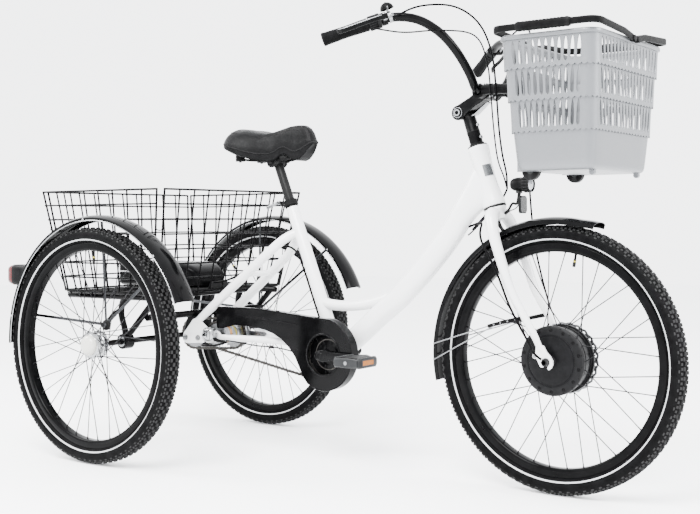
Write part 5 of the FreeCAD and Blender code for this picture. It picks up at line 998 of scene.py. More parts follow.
# ------------------------------------------------------------------ rear fenders
FR, FC = 366.0, (33.0, 327.1)


def fender(mb, cx, cz, R, half, depth, a0, a1, y0, n=72, flare=None, thick=1.8, skirt=8.0, m=0):
    """Curved band with a crowned section and short skirts; returns edge paths."""
    secs = []
    for t in np.linspace(-1, 1, 15):
        y = half * math.copysign(abs(t) ** 0.92, t)
        r = -depth * (abs(t) ** 2.4)
        secs.append((y, r))
    secs = [(-half, -depth - skirt)] + secs + [(half, -depth - skirt)]
    inner = [(y * (half - thick) / half, r - thick * 0.9) if abs(y) < half - 0.1 else (math.copysign(half - thick, y), r) for y, r in secs]
    ring = secs + inner[::-1]
    k = len(ring)
    vs = []
    e1, e2 = [], []
    for i in range(n + 1):
        a = math.radians(a0 + (a1 - a0) * i / n)
        fl = flare(i / n) if flare else (0.0, 1.0)
        for y, r in ring:
            rr2 = R + r + fl[0]
            vs.append((cx + rr2 * cos(a), y0 + y * fl[1], cz + rr2 * sin(a)))
        re = R - depth - skirt + fl[0]
        e1.append((cx + re * cos(a), y0 - (half - thick / 2) * fl[1], cz + re * sin(a)))
        e2.append((cx + re * cos(a), y0 + (half - thick / 2) * fl[1], cz + re * sin(a)))
    fs = []
    for i in range(n):
        for j in range(k):
            j2 = (j + 1) % k
            fs.append((i * k + j, i * k + j2, (i + 1) * k + j2, (i + 1) * k + j))
    fs.append(tuple(range(k)))
    fs.append(tuple(n * k + j for j in reversed(range(k))))
    mb.add(vs, fs, m)
    return np.array(e1), np.array(e2)


mb = MB()
mt = MB()
for s in (-1, 1):
    e1, e2 = fender(mb, FC[0], FC[1], FR - 0.2, 32.8, 7.0, 22.0, 181.0, s * TR)
    for e in (e1, e2):
        tube(mt, e, 1.5, 8)
    for ang in (168.0, 95.0, 46.0):
        a = math.radians(ang)
        for yy in (-32.9, 32.9):
            d = A(cos(a), 0, sin(a))
            p = A(FC[0], s * TR + yy, FC[1]) + d * (FR - 11.5)
            revolve(mt, [(0, -1.5), (3.6, -1.5), (3.4, 0.6), (2.0, 1.6), (0, 1.9)], p, (0, math.copysign(1, yy), 0), 14)
mb.make("rear_fender_pair", [M_BLACKG], "frame", ("rear_fenders",), angle=50)
mt.make("rear_fender_trim", [M_CHROME], "frame", (), angle=50)
mb = MB()
mk = MB()
for s in (-1, 1):
    yk, yf = s * 322.0, s * (TR - 33 - 1.6)
    for ang in (168.0, 95.0, 46.0):
        a = math.radians(ang)
        p = A(6 + 10 * cos(a), yk, 382 + 10 * sin(a))
        q = A(FC[0] + (FR - 10) * cos(a), yf, FC[1] + (FR - 10) * sin(a))
        d = unit(q - p)
        w = np.cross(d, A(0, 1, 0))
        tube(mb, np.array([p, p + (q - p) * 0.5, q]), (1.4, 4.2), up=(0, 1, 0), shape=rrect(1, 1, 0.6, 3))
    revolve(mk, [(0, -4.5), (13, -4.5), (15, -3), (15, 3), (13, 4.5), (0, 4.5)], (6, yk, 382), (0, 1, 0), 36)
    tube(mk, spline([(6, yk, 378), (-2, s * 302, 396), (-10, s * 280, 410), (-16, s * 254, 420)], 6), (6.0, 4.5), 16, up=(0, 0, 1))
    revolve(mb, [(0, -1), (7, -1), (7, 2), (5.6, 3.6), (2.6, 3.8), (2.2, 2.4), (0, 2.2)], (6, yk + s * 4.5, 382), (0, s, 0), 24)
mb.make("fender_stay_bars", [M_DSTEEL], "frame", ("rear_fender_stays",), angle=45)
mk.make("fender_stay_knuckles", [M_BLACKM], "frame", (), angle=40)

# tail light on the right fender
mb = MB()
tb = NODES["tail_light"]
tlo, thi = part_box("tail_light")
tx0, tx1 = tlo[0] * 1000 - RX, thi[0] * 1000 - RX
tz0, tz1 = tlo[2] * 1000, thi[2] * 1000
ty0, ty1 = tlo[1] * 1000, thi[1] * 1000
cxm, cym, czm = (tx0 + tx1) / 2, (ty0 + ty1) / 2, (tz0 + tz1) / 2
hx, hy, hz_ = (tx1 - tx0) / 2, (ty1 - ty0) / 2 * 0.72, (tz1 - tz0) / 2
sec = rrect(1, 1, 0.45, 6)
vs = []
lev = [(1.0, 0.62), (0.9, 0.86), (0.5, 0.96), (0.0, 1.0), (-0.35, 1.0), (-0.37, 0.95)]
for f, sc in lev:
    for a, b in sec:
        vs.append((cxm + hx * f, cym + hy * a * sc, czm + hz_ * b * sc))
k = len(sec)
fs = [tuple(range(k))]
for i in range(len(lev) - 1):
    for j in range(k):
        j2 = (j + 1) % k
        fs.append((i * k + j, i * k + j2, (i + 1) * k + j2, (i + 1) * k + j))
mb.add(vs, fs, 0)
vs = []
lev = [(-0.35, 0.95), (-0.6, 0.93), (-0.85, 0.82), (-0.97, 0.6), (-1.0, 0.3)]
for f, sc in lev:
    for a, b in sec:
        vs.append((cxm + hx * f, cym + hy * a * sc, czm + hz_ * b * sc))
fs = [tuple((len(lev) - 1) * k + j for j in range(k))]
for i in range(len(lev) - 1):
    for j in range(k):
        j2 = (j + 1) % k
        fs.append((i * k + j, i * k + j2, (i + 1) * k + j2, (i + 1) * k + j))
mb.add(vs, fs, 1)
mb.make("tail_lamp", [M_BLACKM, M_RED], "frame", ("tail_light",), angle=40)

# ------------------------------------------------------------------ chain guard
cx, cz = 584.0, 306.0
GC = (584.0, 307.0)


def arc_pts(c, r, a0, a1, n):
    return [(c[0] + r * cos(math.radians(a0 + (a1 - a0) * i / n)), c[1] + r * sin(math.radians(a0 + (a1 - a0) * i / n))) for i in range(n + 1)]


mb = MB()
outline = [(190, 362), (188, 372), (188, 414), (191, 421), (200, 424), (270, 424), (345, 423.5), (420, 418), (490, 411.5), (560, 405.5)]
outline += arc_pts(GC, 98.7, 88, -116, 40)
outline += [(528, 224.5), (512, 243), (500, 266), (484, 296), (462, 321), (436, 341), (408, 355), (376, 365), (330, 372), (262, 374), (236, 368), (214, 362)]
inner_r = 54.2
# front plate with a round opening: bridge outline to the ring
n_in = 72
inner = [(GC[0] + inner_r * cos(2 * pi * i / n_in), GC[1] + inner_r * sin(2 * pi * i / n_in)) for i in range(n_in)]
me = bpy.data.meshes.new("guard_tmp")
bm = bmesh.new()


def ring_edges(bm, pts):
    vs = [bm.verts.new((x, z, 0)) for x, z in pts]
    es = [bm.edges.new((vs[i], vs[(i + 1) % len(vs)])) for i in range(len(vs))]
    return vs, es


_, e1 = ring_edges(bm, outline)
_, e2 = ring_edges(bm, inner)
bmesh.ops.triangle_fill(bm, use_beauty=True, use_dissolve=False, edges=e1 + e2)
bmesh.ops.join_triangles(bm, faces=bm.faces, angle_face_threshold=3.1, angle_shape_threshold=3.1)
bm.verts.index_update()
gv = [(v.co.x, v.co.y) for v in bm.verts]
gf = [tuple(v.index for v in f.verts) for f in bm.faces]
bm.free()
bpy.data.meshes.remove(me)
v = [(x, -69.0, z) for x, z in gv] + [(x, -66.4, z) for x, z in gv]
k = len(gv)
f = [q for q in gf] + [tuple(i + k for i in reversed(q)) for q in gf]
no, ni = len(outline), n_in
f += [(i, (i + 1) % no, k + (i + 1) % no, k + i) for i in range(no)]
f += [(no + i, no + (i + 1) % ni, k + no + (i + 1) % ni, k + no + i) for i in range(ni)]
mb.add(v, f, 0)
# side wall along the top and the front of the disc
wall = outline[2:10] + arc_pts(GC, 98.7, 88, -100, 40)
wi = []
for i, (x, z) in enumerate(wall):
    a, b = wall[max(i - 1, 0)], wall[min(i + 1, len(wall) - 1)]
    t = unit(A(b[0] - a[0], b[1] - a[1], 0))
    wi.append((x + t[1] * 2.4, z - t[0] * 2.4))
k = len(wall)
vs = [(x, -67.5, z) for x, z in wall] + [(x, -38.8, z) for x, z in wall] + [(x, -38.8, z) for x, z in wi] + [(x, -67.5, z) for x, z in wi]
fs = []
for i in range(k - 1):
    fs += [(i, i + 1, k + i + 1, k + i), (k + i, k + i + 1, 2 * k + i + 1, 2 * k + i), (2 * k + i, 2 * k + i + 1, 3 * k + i + 1, 3 * k + i)]
fs += [(0, k, 2 * k, 3 * k), (k - 1, 4 * k - 1, 3 * k - 1, 2 * k - 1)]
mb.add(vs, fs, 0)
# rolled lip round the opening and the outer bead
revolve(mb, [(56.8 + 2.6 * cos(t), 2.2 * sin(t)) for t in np.linspace(0, 2 * pi, 13)[:-1]], (GC[0], -69.2, GC[1]), (0, 1, 0), 72, 0, closed=True)
tube(mb, np.array([(x, -68.4, z) for x, z in (outline[3:10] + arc_pts(GC, 97.6, 88, -116, 40))]), 1.9, 8, 0)
# long swage line on the arm
tube(mb, np.array([(x, -69.3, z) for x, z in ((300, 399), (360, 397), (430, 392), (492, 386))]), (1.2, 2.6), 10, 0, up=(0, 1, 0))
mb.make("guard_cover", [M_BLACKG], "frame", ("chainguard",), angle=32, bevel=0.6)


# ------------------------------------------------------------------ chains as links
def chain(name, x1, z1, r1, x2, z2, r2, y, replaces, body="frame"):
    d = math.hypot(x2 - x1, z2 - z1)
    base = math.atan2(z2 - z1, x2 - x1)
    g = math.acos((r1 - r2) / d)
    pts = []
    # start on wheel 2 upper tangent, go round
    a_up = base + g
    a_dn = base - g

    def on(xc, zc, r, a):
        return (xc + r * cos(a), zc + r * sin(a))
    for i in range(41):
        pts.append(on(x1, z1, r1, a_up + (2 * pi - 2 * g) * i / 40))
    for i in range(41):
        a = a_dn + (2 * g) * i / 40
        pts.append(on(x2, z2, r2, a))
    pts.append(pts[0])
    P2 = np.array([(x, 0, z) for x, z in pts])
    s = np.concatenate([[0], np.cumsum(np.linalg.norm(np.diff(P2, axis=0), axis=1))])
    n = int(round(s[-1] / 12.7 / 2)) * 2
    q = np.linspace(0, s[-1], n + 1)[:-1]
    pos = np.stack([np.interp(q, s, P2[:, i]) for i in range(3)], 1)
    mb = MB()
    for i in range(n):
        p, p2 = pos[i], pos[(i + 1) % n]
        u = unit(p2 - p)
        w = np.cross(A(0, 1, 0), u)
        L2 = np.linalg.norm(p2 - p)
        out = i % 2 == 0
        hw = 4.1
        poly = []
        for j in range(7):
            a = pi / 2 + pi * j / 6
            poly.append((hw * cos(a), hw * sin(a)))
        poly.append((L2 / 2, -2.7))
        for j in range(7):
            a = -pi / 2 + pi * j / 6
            poly.append((L2 + hw * cos(a), hw * sin(a)))
        poly.append((L2 / 2, 2.7))
        for s_ in (-1, 1):
            yy = y + s_ * (3.05 if out else 2.0)
            prism(mb, poly, (p[0], yy - 0.45, p[2]), u, -w, 0.9)
        revolve(mb, [(0, -3.9 if out else -3.0), (1.9, -3.9 if out else -3.0), (1.9, -2.0), (3.6, -2.0), (3.6, 2.0), (1.9, 2.0), (1.9, 3.9 if out else 3.0), (0, 3.9 if out else 3.0)], (p[0], y, p[2]), (0, 1, 0), 10)
    return mb.make(name, [M_CHAIN], body, replaces, angle=35)


chain("first_chain", cx, cz, 77.6, HX, HZ, 37.4, -45.0, ("drive_chains",))
chain("second_chain", HX, HZ, 45.4, 0.0, R0, 45.4, 28.0, ())

# ------------------------------------------------------------------ crankset and pedals
mb = MB()
revolve(mb, [(0, -79), (8.4, -79), (8.4, 79), (0, 79)], (cx, 0, cz), (0, 1, 0), 28, 0)
sprocket(mb, (cx, 0, cz), -45.0, 3.4, 76.8 - 1.5, 38, 1, hole=62.0)
for i in range(5):
    a = math.radians(72 * i + 54)
    pth = np.array([(cx + r * cos(a), -45.0, cz + r * sin(a)) for r in (10, 30, 64)])
    tube(mb, pth, (2.2, np.array([12.0, 10.0, 8.5])), up=(0, 1, 0), shape=rrect(1, 1, 0.4, 3), m=0)
revolve(mb, [(8.4, -46.8), (60, -46.8), (62.4, -46.4), (64.0, -45.2), (64.0, -44.2), (8.4, -43.6)], (cx, 0, cz), (0, 1, 0), 64, 0)
revolve(mb, [(40, -47.6), (41.6, -48.0), (43.2, -47.6), (43.2, -46.6), (40, -46.6)], (cx, 0, cz), (0, 1, 0), 64, 1)
revolve(mb, [(8.4, -72), (12.5, -72), (13, -71), (16, -52), (26, -49), (30, -47.4), (30, -43.4), (8.4, -43)], (cx, 0, cz), (0, 1, 0), 40, 0)
for s, sx in ((-1, 1), (1, -1)):
    n_a = 25
    xs = np.linspace(0, 160, n_a)
    sec = rrect(1, 1, 0.5, 4)
    vs = []
    full = [-16.5, -15.6, -12.5] + list(xs[1:-1]) + [160 + 7, 160 + 11, 160 + 12.6]
    for x in full:
        if x < 0:
            hh = math.sqrt(max(0.02, 1 - (x / 16.8) ** 2)) * 17
            th = 6.9
        elif x > 152:
            hh = math.sqrt(max(0.04, 1 - ((x - 152) / 21.3) ** 2)) * 12.5
            th = 6.6
        else:
            hh = np.interp(x, [0, 12, 40, 120, 152], [17, 16.6, 11.6, 10.2, 12.5])
            th = np.interp(x, [0, 30, 120, 152], [6.9, 6.0, 5.6, 6.6])
        for a, b in sec:
            vs.append((cx + sx * x, s * 79.0 + a * th, cz + b * hh))
    k = len(sec)
    fs = [tuple(range(k)), tuple((len(full) - 1) * k + j for j in reversed(range(k)))]
    for i in range(len(full) - 1):
        for j in range(k):
            j2 = (j + 1) % k
            fs.append((i * k + j, i * k + j2, (i + 1) * k + j2, (i + 1) * k + j))
    mb.add(vs, fs, 0)
    revolve(mb, [(0, -1), (10.5, -1), (10.5, 0.3), (9.4, 1.1), (5.6, 1.1), (5.2, 0.0), (0, 0)], (cx, s * 85.6, cz), (0, s, 0), 28, 0)
mb.make("crank_arms", [M_BLACKG, M_CHAIN], "crank", ("crankset",), angle=36)


def pedal(name, s, sx, body, node):
    xe = cx + sx * 160
    mb = MB()
    bar(mb, (xe, s * 73.5, cz), (xe, s * 180, cz), 5.0, 16, 2)
    revolve(mb, [(0, 86.4), (7.6, 86.4), (7.6, 89), (9.8, 90), (9.8, 176), (8, 178), (0, 178)], (xe, 0, cz), (0, s, 0), 24, 0)
    # cage: two side rails, two ends, cross bars
    for d in (-1, 1):
        path = np.array([(xe + d * 36, s * y, cz) for y in (94, 98, 120, 150, 172, 176)])
        tube(mb, path, (np.array([9, 12, 12.6, 12.6, 12, 9.0]), np.array([4.0, 5.6, 5.9, 5.9, 5.6, 4.0])), up=(0, 0, 1), shape=rrect(1, 1, 0.5, 4), m=1)
        # serrations
        for i in range(9):
            for zz in (-1, 1):
                block(mb, (xe + d * 36, s * (102 + i * 8.4), cz + zz * 12.6), (9.5, 3.6, 2.2), m=1)
        # reflector in each rail
        block(mb, (xe + d * 41.7, s * 136, cz), (1.6, 54, 17), m=1)
        block(mb, (xe + d * 41.9, s * 136, cz), (2.0, 46, 12), m=3)
    for y in (96, 175):
        path = np.array([(xe + x, s * y, cz) for x in (-37, -20, 0, 20, 37)])
        tube(mb, path, (np.array([10, 11.5, 12.5, 11.5, 10]), 4.2 * np.ones(5)), up=(0, 0, 1), shape=rrect(1, 1, 0.5, 4), m=1)
    for y in (118, 136, 154):
        for zz in (-1, 1):
            block(mb, (xe, s * y, cz + zz * 9.4), (62, 5.0, 4.6), m=0)
    block(mb, (xe, s * 136, cz + 11.2), (40, 50, 2.4), m=0)
    block(mb, (xe, s * 136, cz - 11.2), (40, 50, 2.4), m=0)
    mb.make(name, [M_BLACKM, M_GREY, M_STEEL, M_ORANGE], body, (node,), angle=36, bevel=0.5)


pedal("pedal_body_right", -1, 1, "pedal_r", "pedal_right")
pedal("pedal_body_left", 1, -1, "pedal_l", "pedal_left")

# ------------------------------------------------------------------ fork
mb = MB()
revolve(mb, [(14.5, -6.2), (27.8, -6.2), (28.4, -7.5), (28.0, -10), (25.5, -14), (22.5, -20), (20, -30), (18.5, -36), (14, -39), (0, -40)], HL, HU, 48)
for s in (-1, 1):
    p = spline([(1092, s * 2, 684), (1093, s * 20, 688), (1098, s * 38, 680), (1106, s * 50, 660), (1116, s * 57, 632), (1128, s * 60.5, 600), (1141, s * 62, 564), (1163, s * 62, 503), (1187, s * 62, 460), (1212, s * 62, 420), (1232, s * 61.3, 386), (1246, s * 61, 356)], 6)
    z = p[:, 2]
    r = np.interp(z, [350, 362, 400, 460, 560, 620, 660, 690], [5.5, 7.6, 9.2, 10.6, 12.4, 13.6, 15.2, 17.5])
    rw = np.interp(z, [350, 360, 400, 460, 560, 620, 660, 690], [3.2, 5.2, 8.2, 10.2, 12.4, 13.6, 15.2, 17.5])
    tube(mb, p, (rw, r), 24, up=(0, 1, 0))
    poly = [(1234, 366), (1244, 371), (1254, 368), (1262, 354), (1272, 344), (1278, 334), (1278.5, 324), (1274, 315), (1267, 311), (1264, 316), (1268, 324), (1267.5, 331), (1262, 336.5), (1256, 335), (1253.5, 329), (1254.5, 321), (1251, 316), (1245, 318), (1240, 327), (1236, 336), (1229, 337), (1225.5, 343), (1228, 349.5), (1233, 352)]
    prism(mb, poly, (0, s * 61 + 3.1, 0), (1, 0, 0), (0, 0, 1), 6.2)
    for z0, dx in ((560, 0),):
        pass
mb.make("fork_blades", [M_WHITE], "steering", ("fork",), angle=42, bevel=0.8)
mb = MB()
for s in (-1, 1):
    o = A(1232, s * 61 - 3.6, 343)
    revolve(mb, [(2.6, -1.4), (6.2, -1.4), (6.6, -0.8), (6.6, 8.0), (6.2, 8.6), (2.6, 8.6)], o, (0, 1, 0), 24, 0, closed=True)
mb.make("fork_eyelet_rings", [M_WHITE], "steering", ("fork_eyelets",), angle=36)
mb = MB()
for s in (-1, 1):
    y = 66.4 if s > 0 else -66.4
    revolve(mb, [(0, 0), (4.6, 0), (4.6, 1.6), (3.4, 2.8), (0, 3.0)], (1232, y, 343), (0, s, 0), 18)
mb.make("fork_eyelet_bolts", [M_STEEL], "steering", (), angle=36)

mb = MB()
mt = MB()
e1, e2 = fender(mb, FX, R0, 349.6, 31.6, 7.0, 71.0, 192.0, 0.0, n=64, flare=lambda t: (5.0 * (1 - smoothstep(0, 0.07, t)), 1.0 + 0.03 * (1 - smoothstep(0, 0.07, t))), skirt=10.0)
for e in (e1, e2):
    tube(mt, e, 1.5, 8)
for a_deg in (176.0, 183.0, 158.0):
    a = math.radians(a_deg)
    for yy in (-32.0, 32.0):
        p = A(FX + 338 * cos(a), yy, R0 + 338 * sin(a))
        revolve(mt, [(0, -1.5), (3.6, -1.5), (3.4, 0.8), (2.0, 1.8), (0, 2.0)], p, (0, math.copysign(1, yy), 0), 14)
mb.make("front_fender_blade", [M_BLACKG], "steering", ("front_fender",), angle=50)
mt.make("front_fender_trim", [M_BLACKG], "steering", (), angle=50)
# fender bridge to the fork crown and small side flap
mb = MB()
tube(mb, spline([(1096, 0, 668), (1102, 0, 655), (1110, 0, 645), (1116, 0, 636)], 5), (9.0, 1.6), up=(0, 1, 0), shape=rrect(1, 1, 0.4, 3))
revolve(mb, [(0, 0), (5, 0), (5, 3), (3.6, 4.4), (0, 4.6)], hp(-15, 0, 18), HF, 20)
mb.make("fender_bridge", [M_BLACKM], "steering", (), angle=40)
mb = MB()
mc = MB()
for s in (-1, 1):
    for ang, p0 in ((176.0, (1108, s * 67.0, 411.0)), (183.0, (1130, s * 67.5, 416.5))):
        a = math.radians(ang)
        q = (FX + 341 * cos(a), s * 33.6, R0 + 341 * sin(a))
        m_ = (0.5 * (p0[0] + q[0]), 0.55 * p0[1] + 0.45 * q[1], 0.5 * (p0[2] + q[2]))
        tube(mb, spline([p0, m_, q], 8), 1.6, 10)
    pth = spline([(1203, s * 66.0, 434), (1176, s * 67.6, 428), (1150, s * 68.0, 422), (1126, s * 67.6, 415.5), (1103, s * 67.0, 409.5)], 5)
    tube(mc, pth, (np.linspace(5.4, 4.2, len(pth)), np.linspace(3.0, 2.4, len(pth))), up=(0.2, 0, 1), shape=rrect(1, 1, 0.5, 3))
    for q_ in (4, 8, 12, 16):
        revolve(mc, [(0, 0), (2.2, 0), (2.0, 1.0), (0, 1.2)], pth[q_] + A(0, s * 2.6, 0), (0, s, 0), 12, 1)
mb.make("front_stay_wires", [M_STEEL], "steering", ("front_fender_stays",), angle=50)
mc.make("front_stay_brackets", [M_BLACKM, M_STEEL], "steering", (), angle=40)

# headlight
mb = MB()
revolve(mb, [(0, 1134), (8, 1134), (12.5, 1136.5), (15.5, 1142), (17.4, 1151), (17.8, 1160), (17.8, 1168), (18.6, 1169.5), (20, 1172), (20.3, 1180), (20.3, 1188), (19.8, 1191), (18.2, 1191.6), (17.6, 1189)], (0, 0, 760.6), (1, 0, 0), 48, 0)
for i in range(16):
    a = 2 * pi * i / 16
    bar(mb, (1172, 20.1 * cos(a), 760.6 + 20.1 * sin(a)), (1187, 20.1 * cos(a), 760.6 + 20.1 * sin(a)), 0.9, 6, 0)
revolve(mb, [(17.6, 1186.5), (17.0, 1187.6), (12, 1190.4), (6, 1191.6), (0, 1192)], (0, 0, 760.6), (1, 0, 0), 48, 1)
block(mb, (1156, 0, 743), (14, 9, 9), m=0)
revolve(mb, [(0, -7.5), (3.6, -7.5), (3.6, 7.5), (0, 7.5)], (1156, 0, 742), (0, 1, 0), 16, 2)
tube(mb, spline([hp(-26, 0, 21), hp(-22, 0, 34), hp(-10, 0, 50), (1150, 0, 714), (1156, 0, 745)], 6), (3.2, 3.2), 12, 2)
tube(mb, spline([hp(-30, 7, 15), hp(-24, 9, 32), (1146, 10, 706), (1156, 8, 741)], 6), 1.6, 8, 2)
mb.make("headlight_lamp", [M_BLACKM, M_LENS, M_BLACKS], "steering", ("headlight",), angle=36)
mb = MB()
cR = [(0, 0)]
sec = rrect(18.0, 22.0, 7.0, 5)
prism(mb, sec, (1163.4, 0, 710), (0, 1, 0), (0, 0, 1), 4.4, 0)
prism(mb, rrect(15.6, 19.6, 6.0, 5), (1167.6, 0, 710), (0, 1, 0), (0, 0, 1), 2.6, 1)
bar(mb, (1150, 0, 714), (1165, 0, 712), 3.0, 12, 0)
mb.make("front_reflector", [M_BLACKM, M_REFL], "steering", (), angle=36, bevel=0.6)

# disc caliper
mb = MB()
ra = math.radians(28)
Rc = np.array([[cos(ra), 0, sin(ra)], [0, 1, 0], [-sin(ra), 0, cos(ra)]])
cc = A(1178, 34, 356)


def cpt(x, y, z):
    return cc + Rc @ A(x, y, z)


prism(mb, [(-15, -24), (-6, -27), (9, -26), (16.5, -18), (17, 2), (13, 22), (4, 27), (-10, 26), (-16, 14)], cpt(0, 10.6, 0), Rc @ A(1, 0, 0), Rc @ A(0, 0, 1), 9.6, 0)
prism(mb, [(-13, -20), (-4, -24), (9, -22), (14, -12), (13, 10), (2, 20), (-10, 18), (-14, 6)], cpt(0, -2.2, 0), Rc @ A(1, 0, 0), Rc @ A(0, 0, 1), 4.2, 0)
block(mb, cpt(-3, 2.5, -19), (20, 15, 8), Rc, 0)
revolve(mb, [(0, 0), (9.5, 0), (9.5, 2), (8, 3.4), (4, 3.4), (3.6, 2.2), (0, 2.2)], cpt(0, 10.6, 2), (0, 1, 0), 28, 1)
for z in (-21, 22):
    bolt(mb, cpt(-1, 10.6, z), (0, 1, 0), 3.6, 3.4, 1)
tube(mb, np.array([cpt(2, 4, 24), cpt(6, 12, 33), cpt(10, 22, 44)]), 3.0, 10, 1)
mb.make("caliper_body", [M_BLACKM, M_STEEL], "steering", ("brake_caliper",), angle=36, bevel=0.8)

# ------------------------------------------------------------------ stem
PV = A(993, 0, 947)
CB = A(1066, 0, 996)
su = unit(CB - PV)
sn = A(su[2], 0, -su[0])
mb = MB()
revolve(mb, [(14.5, 164.3), (19.0, 164.3), (19.4, 165.2), (19.4, 168), (18.6, 169), (17.0, 169.6), (17.0, 198), (17.6, 199), (17.6, 201), (17.0, 202), (17.0, 232), (16.4, 238.4), (12, 240)], HL, HU, 48)
tube(mb, np.array([hp(236), hp(244) + A(-3, 0, 0), PV]), (np.array([14, 13.6, 13.0]), np.array([14.0, 13.4, 12.6])), 28, up=(0, 1, 0))
revolve(mb, [(5.2, -16.8), (16.2, -16.8), (17, -16), (17, 16), (16.2, 16.8), (5.2, 16.8)], PV, (0, 1, 0), 40)
for h in (181, 214):
    bolt(mb, hp(h, 0, 16.6), HF, 5.2, 4.2, 1)
    bolt(mb, hp(h, 9.0, 13.8), unit(HF + A(0, 0.5, 0)), 0.1, 0.1, 1)
mb.make("stem_post", [M_BLACKS, M_STEEL], "steering", ("stem_riser",), angle=36, bevel=0.3)
mb = MB()
for s in (-1, 1):
    y0, y1 = s * 17.9, s * 25.7
    lo, hi = min(y0, y1), max(y0, y1)
    revolve(mb, [(5.2, lo), (18.2, lo), (19, lo + 0.8), (19, hi - 0.8), (18.2, hi), (5.2, hi)], PV, (0, 1, 0), 44, 0)
    # toothed silver ring and pin head
    k_ = 36
    pts = []
    for i in range(k_):
        for r, f in ((14.6, 0), (16.0, 0.25), (16.0, 0.55), (14.6, 0.8)):
            a = 2 * pi * (i + f) / k_
            pts.append((r * cos(a), r * sin(a)))
    prism(mb, pts, (PV[0], (s * 25.6 + (1.5 if s > 0 else 0.0)), PV[2]), (1, 0, 0), (0, 0, 1), 1.5, 0)
    revolve(mb, [(12.0, 26.6), (12.3, 27.6), (13.4, 27.6), (13.7, 26.6)], PV, (0, s, 0), 40, 1)
    revolve(mb, [(0, 25.8), (9.2, 25.8), (9.4, 28.0), (8.4, 29.4), (4.4, 29.4), (4.0, 28.2), (0, 28.2)], PV, (0, s, 0), 28, 0)
    L_arm = np.linalg.norm(CB - PV)
    p = np.array([PV + su * 6, PV + su * 24, PV + su * 48, CB - su * 12])
    p = p + A(0, s * 1, 0) * np.array([21.8, 21.4, 17.0, 12.5])[:, None]
    tube(mb, p, (np.array([3.8, 4.0, 6.0, 9.5]), np.array([17.5, 15.5, 13.5, 15.5])), up=(0, 1, 0), shape=rrect(1, 1, 0.5, 4), m=0)
p = np.array([PV + su * 26.5, PV + su * 34, PV + su * 56, CB - su * 10])
tube(mb, p, (np.array([19.0, 20.0, 19.0, 20.0]), np.array([9.5, 12.2, 13.0, 15.8])), up=(0, 1, 0), shape=rrect(1, 1, 0.4, 5), m=0)
revolve(mb, [(11.3, -22), (17.8, -22), (19, -20.8), (19, 20.8), (17.8, 22), (11.3, 22)], CB, (0, 1, 0), 44, 0)
for y in (-13, 13):
    bolt(mb, CB + su * 8 - sn * 17.6 + A(0, y, 0), -sn, 4.6, 4.0, 1)
    bolt(mb, CB + su * 8 + sn * 17.0 + A(0, y, 0), sn, 4.6, 4.0, 1)
block(mb, CB + su * 15.5, (8, 40, 26), R=np.array([su, A(0, 1, 0), -sn]).T, m=0)
mb.make("stem_clamp_arm", [M_BLACKS, M_ALU], "stem", ("stem_arm",), angle=36, bevel=0.5)
mb = MB()
a, b = PV + su * 34 + sn * 26.4, PV + su * 78 + sn * 23.2
tube(mb, np.array([a - su * 4, a + su * 2, (a + b) / 2, b]), (np.array([9.5, 10.2, 9.4, 7.8]), np.array([2.4, 2.6, 2.4, 1.8])), up=(0, 1, 0), shape=rrect(1, 1, 0.6, 4))
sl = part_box("stem_lever")
slo = A(sl[0][0] * 1000 - RX, sl[0][1] * 1000, sl[0][2] * 1000)
shi = A(sl[1][0] * 1000 - RX, sl[1][1] * 1000, sl[1][2] * 1000)
tube(mb, np.array([PV + sn * 19.6 + su * 4, PV + sn * 23.0 + su * 16, a]), (np.array([6.0, 7.5, 9.2]), np.array([2.4, 2.6, 2.6])), up=(0, 1, 0), shape=rrect(1, 1, 0.6, 4))
for s in (-1, 1):
    revolve(mb, [(5.4, 0), (8.6, 0), (8.6, 1.4), (5.4, 1.4)], PV + A(0, s * 29.6, 0), (0, s, 0), 24, 0, closed=True)
mb.make("stem_release_lever", [M_ALU], "stem_release", ("stem_lever",), angle=40)

# ------------------------------------------------------------------ handlebar, grips, levers
BR = 11.1
half = [(1066, 0, 996), (1066, 58, 996), (1073, 92, 1028), (1066, 140, 1080), (1044, 182, 1126), (1004, 222, 1158), (953, 256, 1164), (824, 360, 1106)]
full = [(x, -y, z) for x, y, z in reversed(half[1:])] + half
p = arcs(full, step=0.12)
mb = MB()
tube(mb, p, BR, 28)
revolve(mb, [(BR, -30), (12.6, -28), (12.6, 28), (BR, 30)], CB, (0, 1, 0), 32)
mb.make("handlebar_tube", [M_BLACKG], "stem", ("handlebar",), angle=60)


def gf(s):
    e = A(824, s * 360, 1106)
    g = unit(e - A(953, s * 256, 1164))
    f = A(0.622, s * 0.782, 0)
    f = unit(f - g * np.dot(f, g))
    n = np.cross(g, f) if s < 0 else np.cross(f, g)
    return e, g, f, n


def gp(s, d, off=0.0, up=0.0):
    e, g, f, n = gf(s)
    return e - g * d + f * off + n * up


def fluted(mb, o, axis, prof, flutes, depth, n=None, m=0):
    """Revolved profile whose radius is grooved lengthwise where flagged."""
    u, w, a = basis(axis)
    n = n or flutes * 6
    vs = []
    for i in range(n):
        t = 2 * pi * i / n
        for r, h, fl in prof:
            rr3 = r - (depth * (0.5 - 0.5 * cos(flutes * t)) ** 1.5 if fl else 0)
            vs.append(np.asarray(o, float) + (u * cos(t) + w * sin(t)) * rr3 + a * h)
    k = len(prof)
    fs = []
    for i in range(n):
        j = (i + 1) % n
        for s in range(k - 1):
            fs.append((i * k + s, j * k + s, j * k + s + 1, i * k + s + 1))
    mb.add(vs, fs, m)


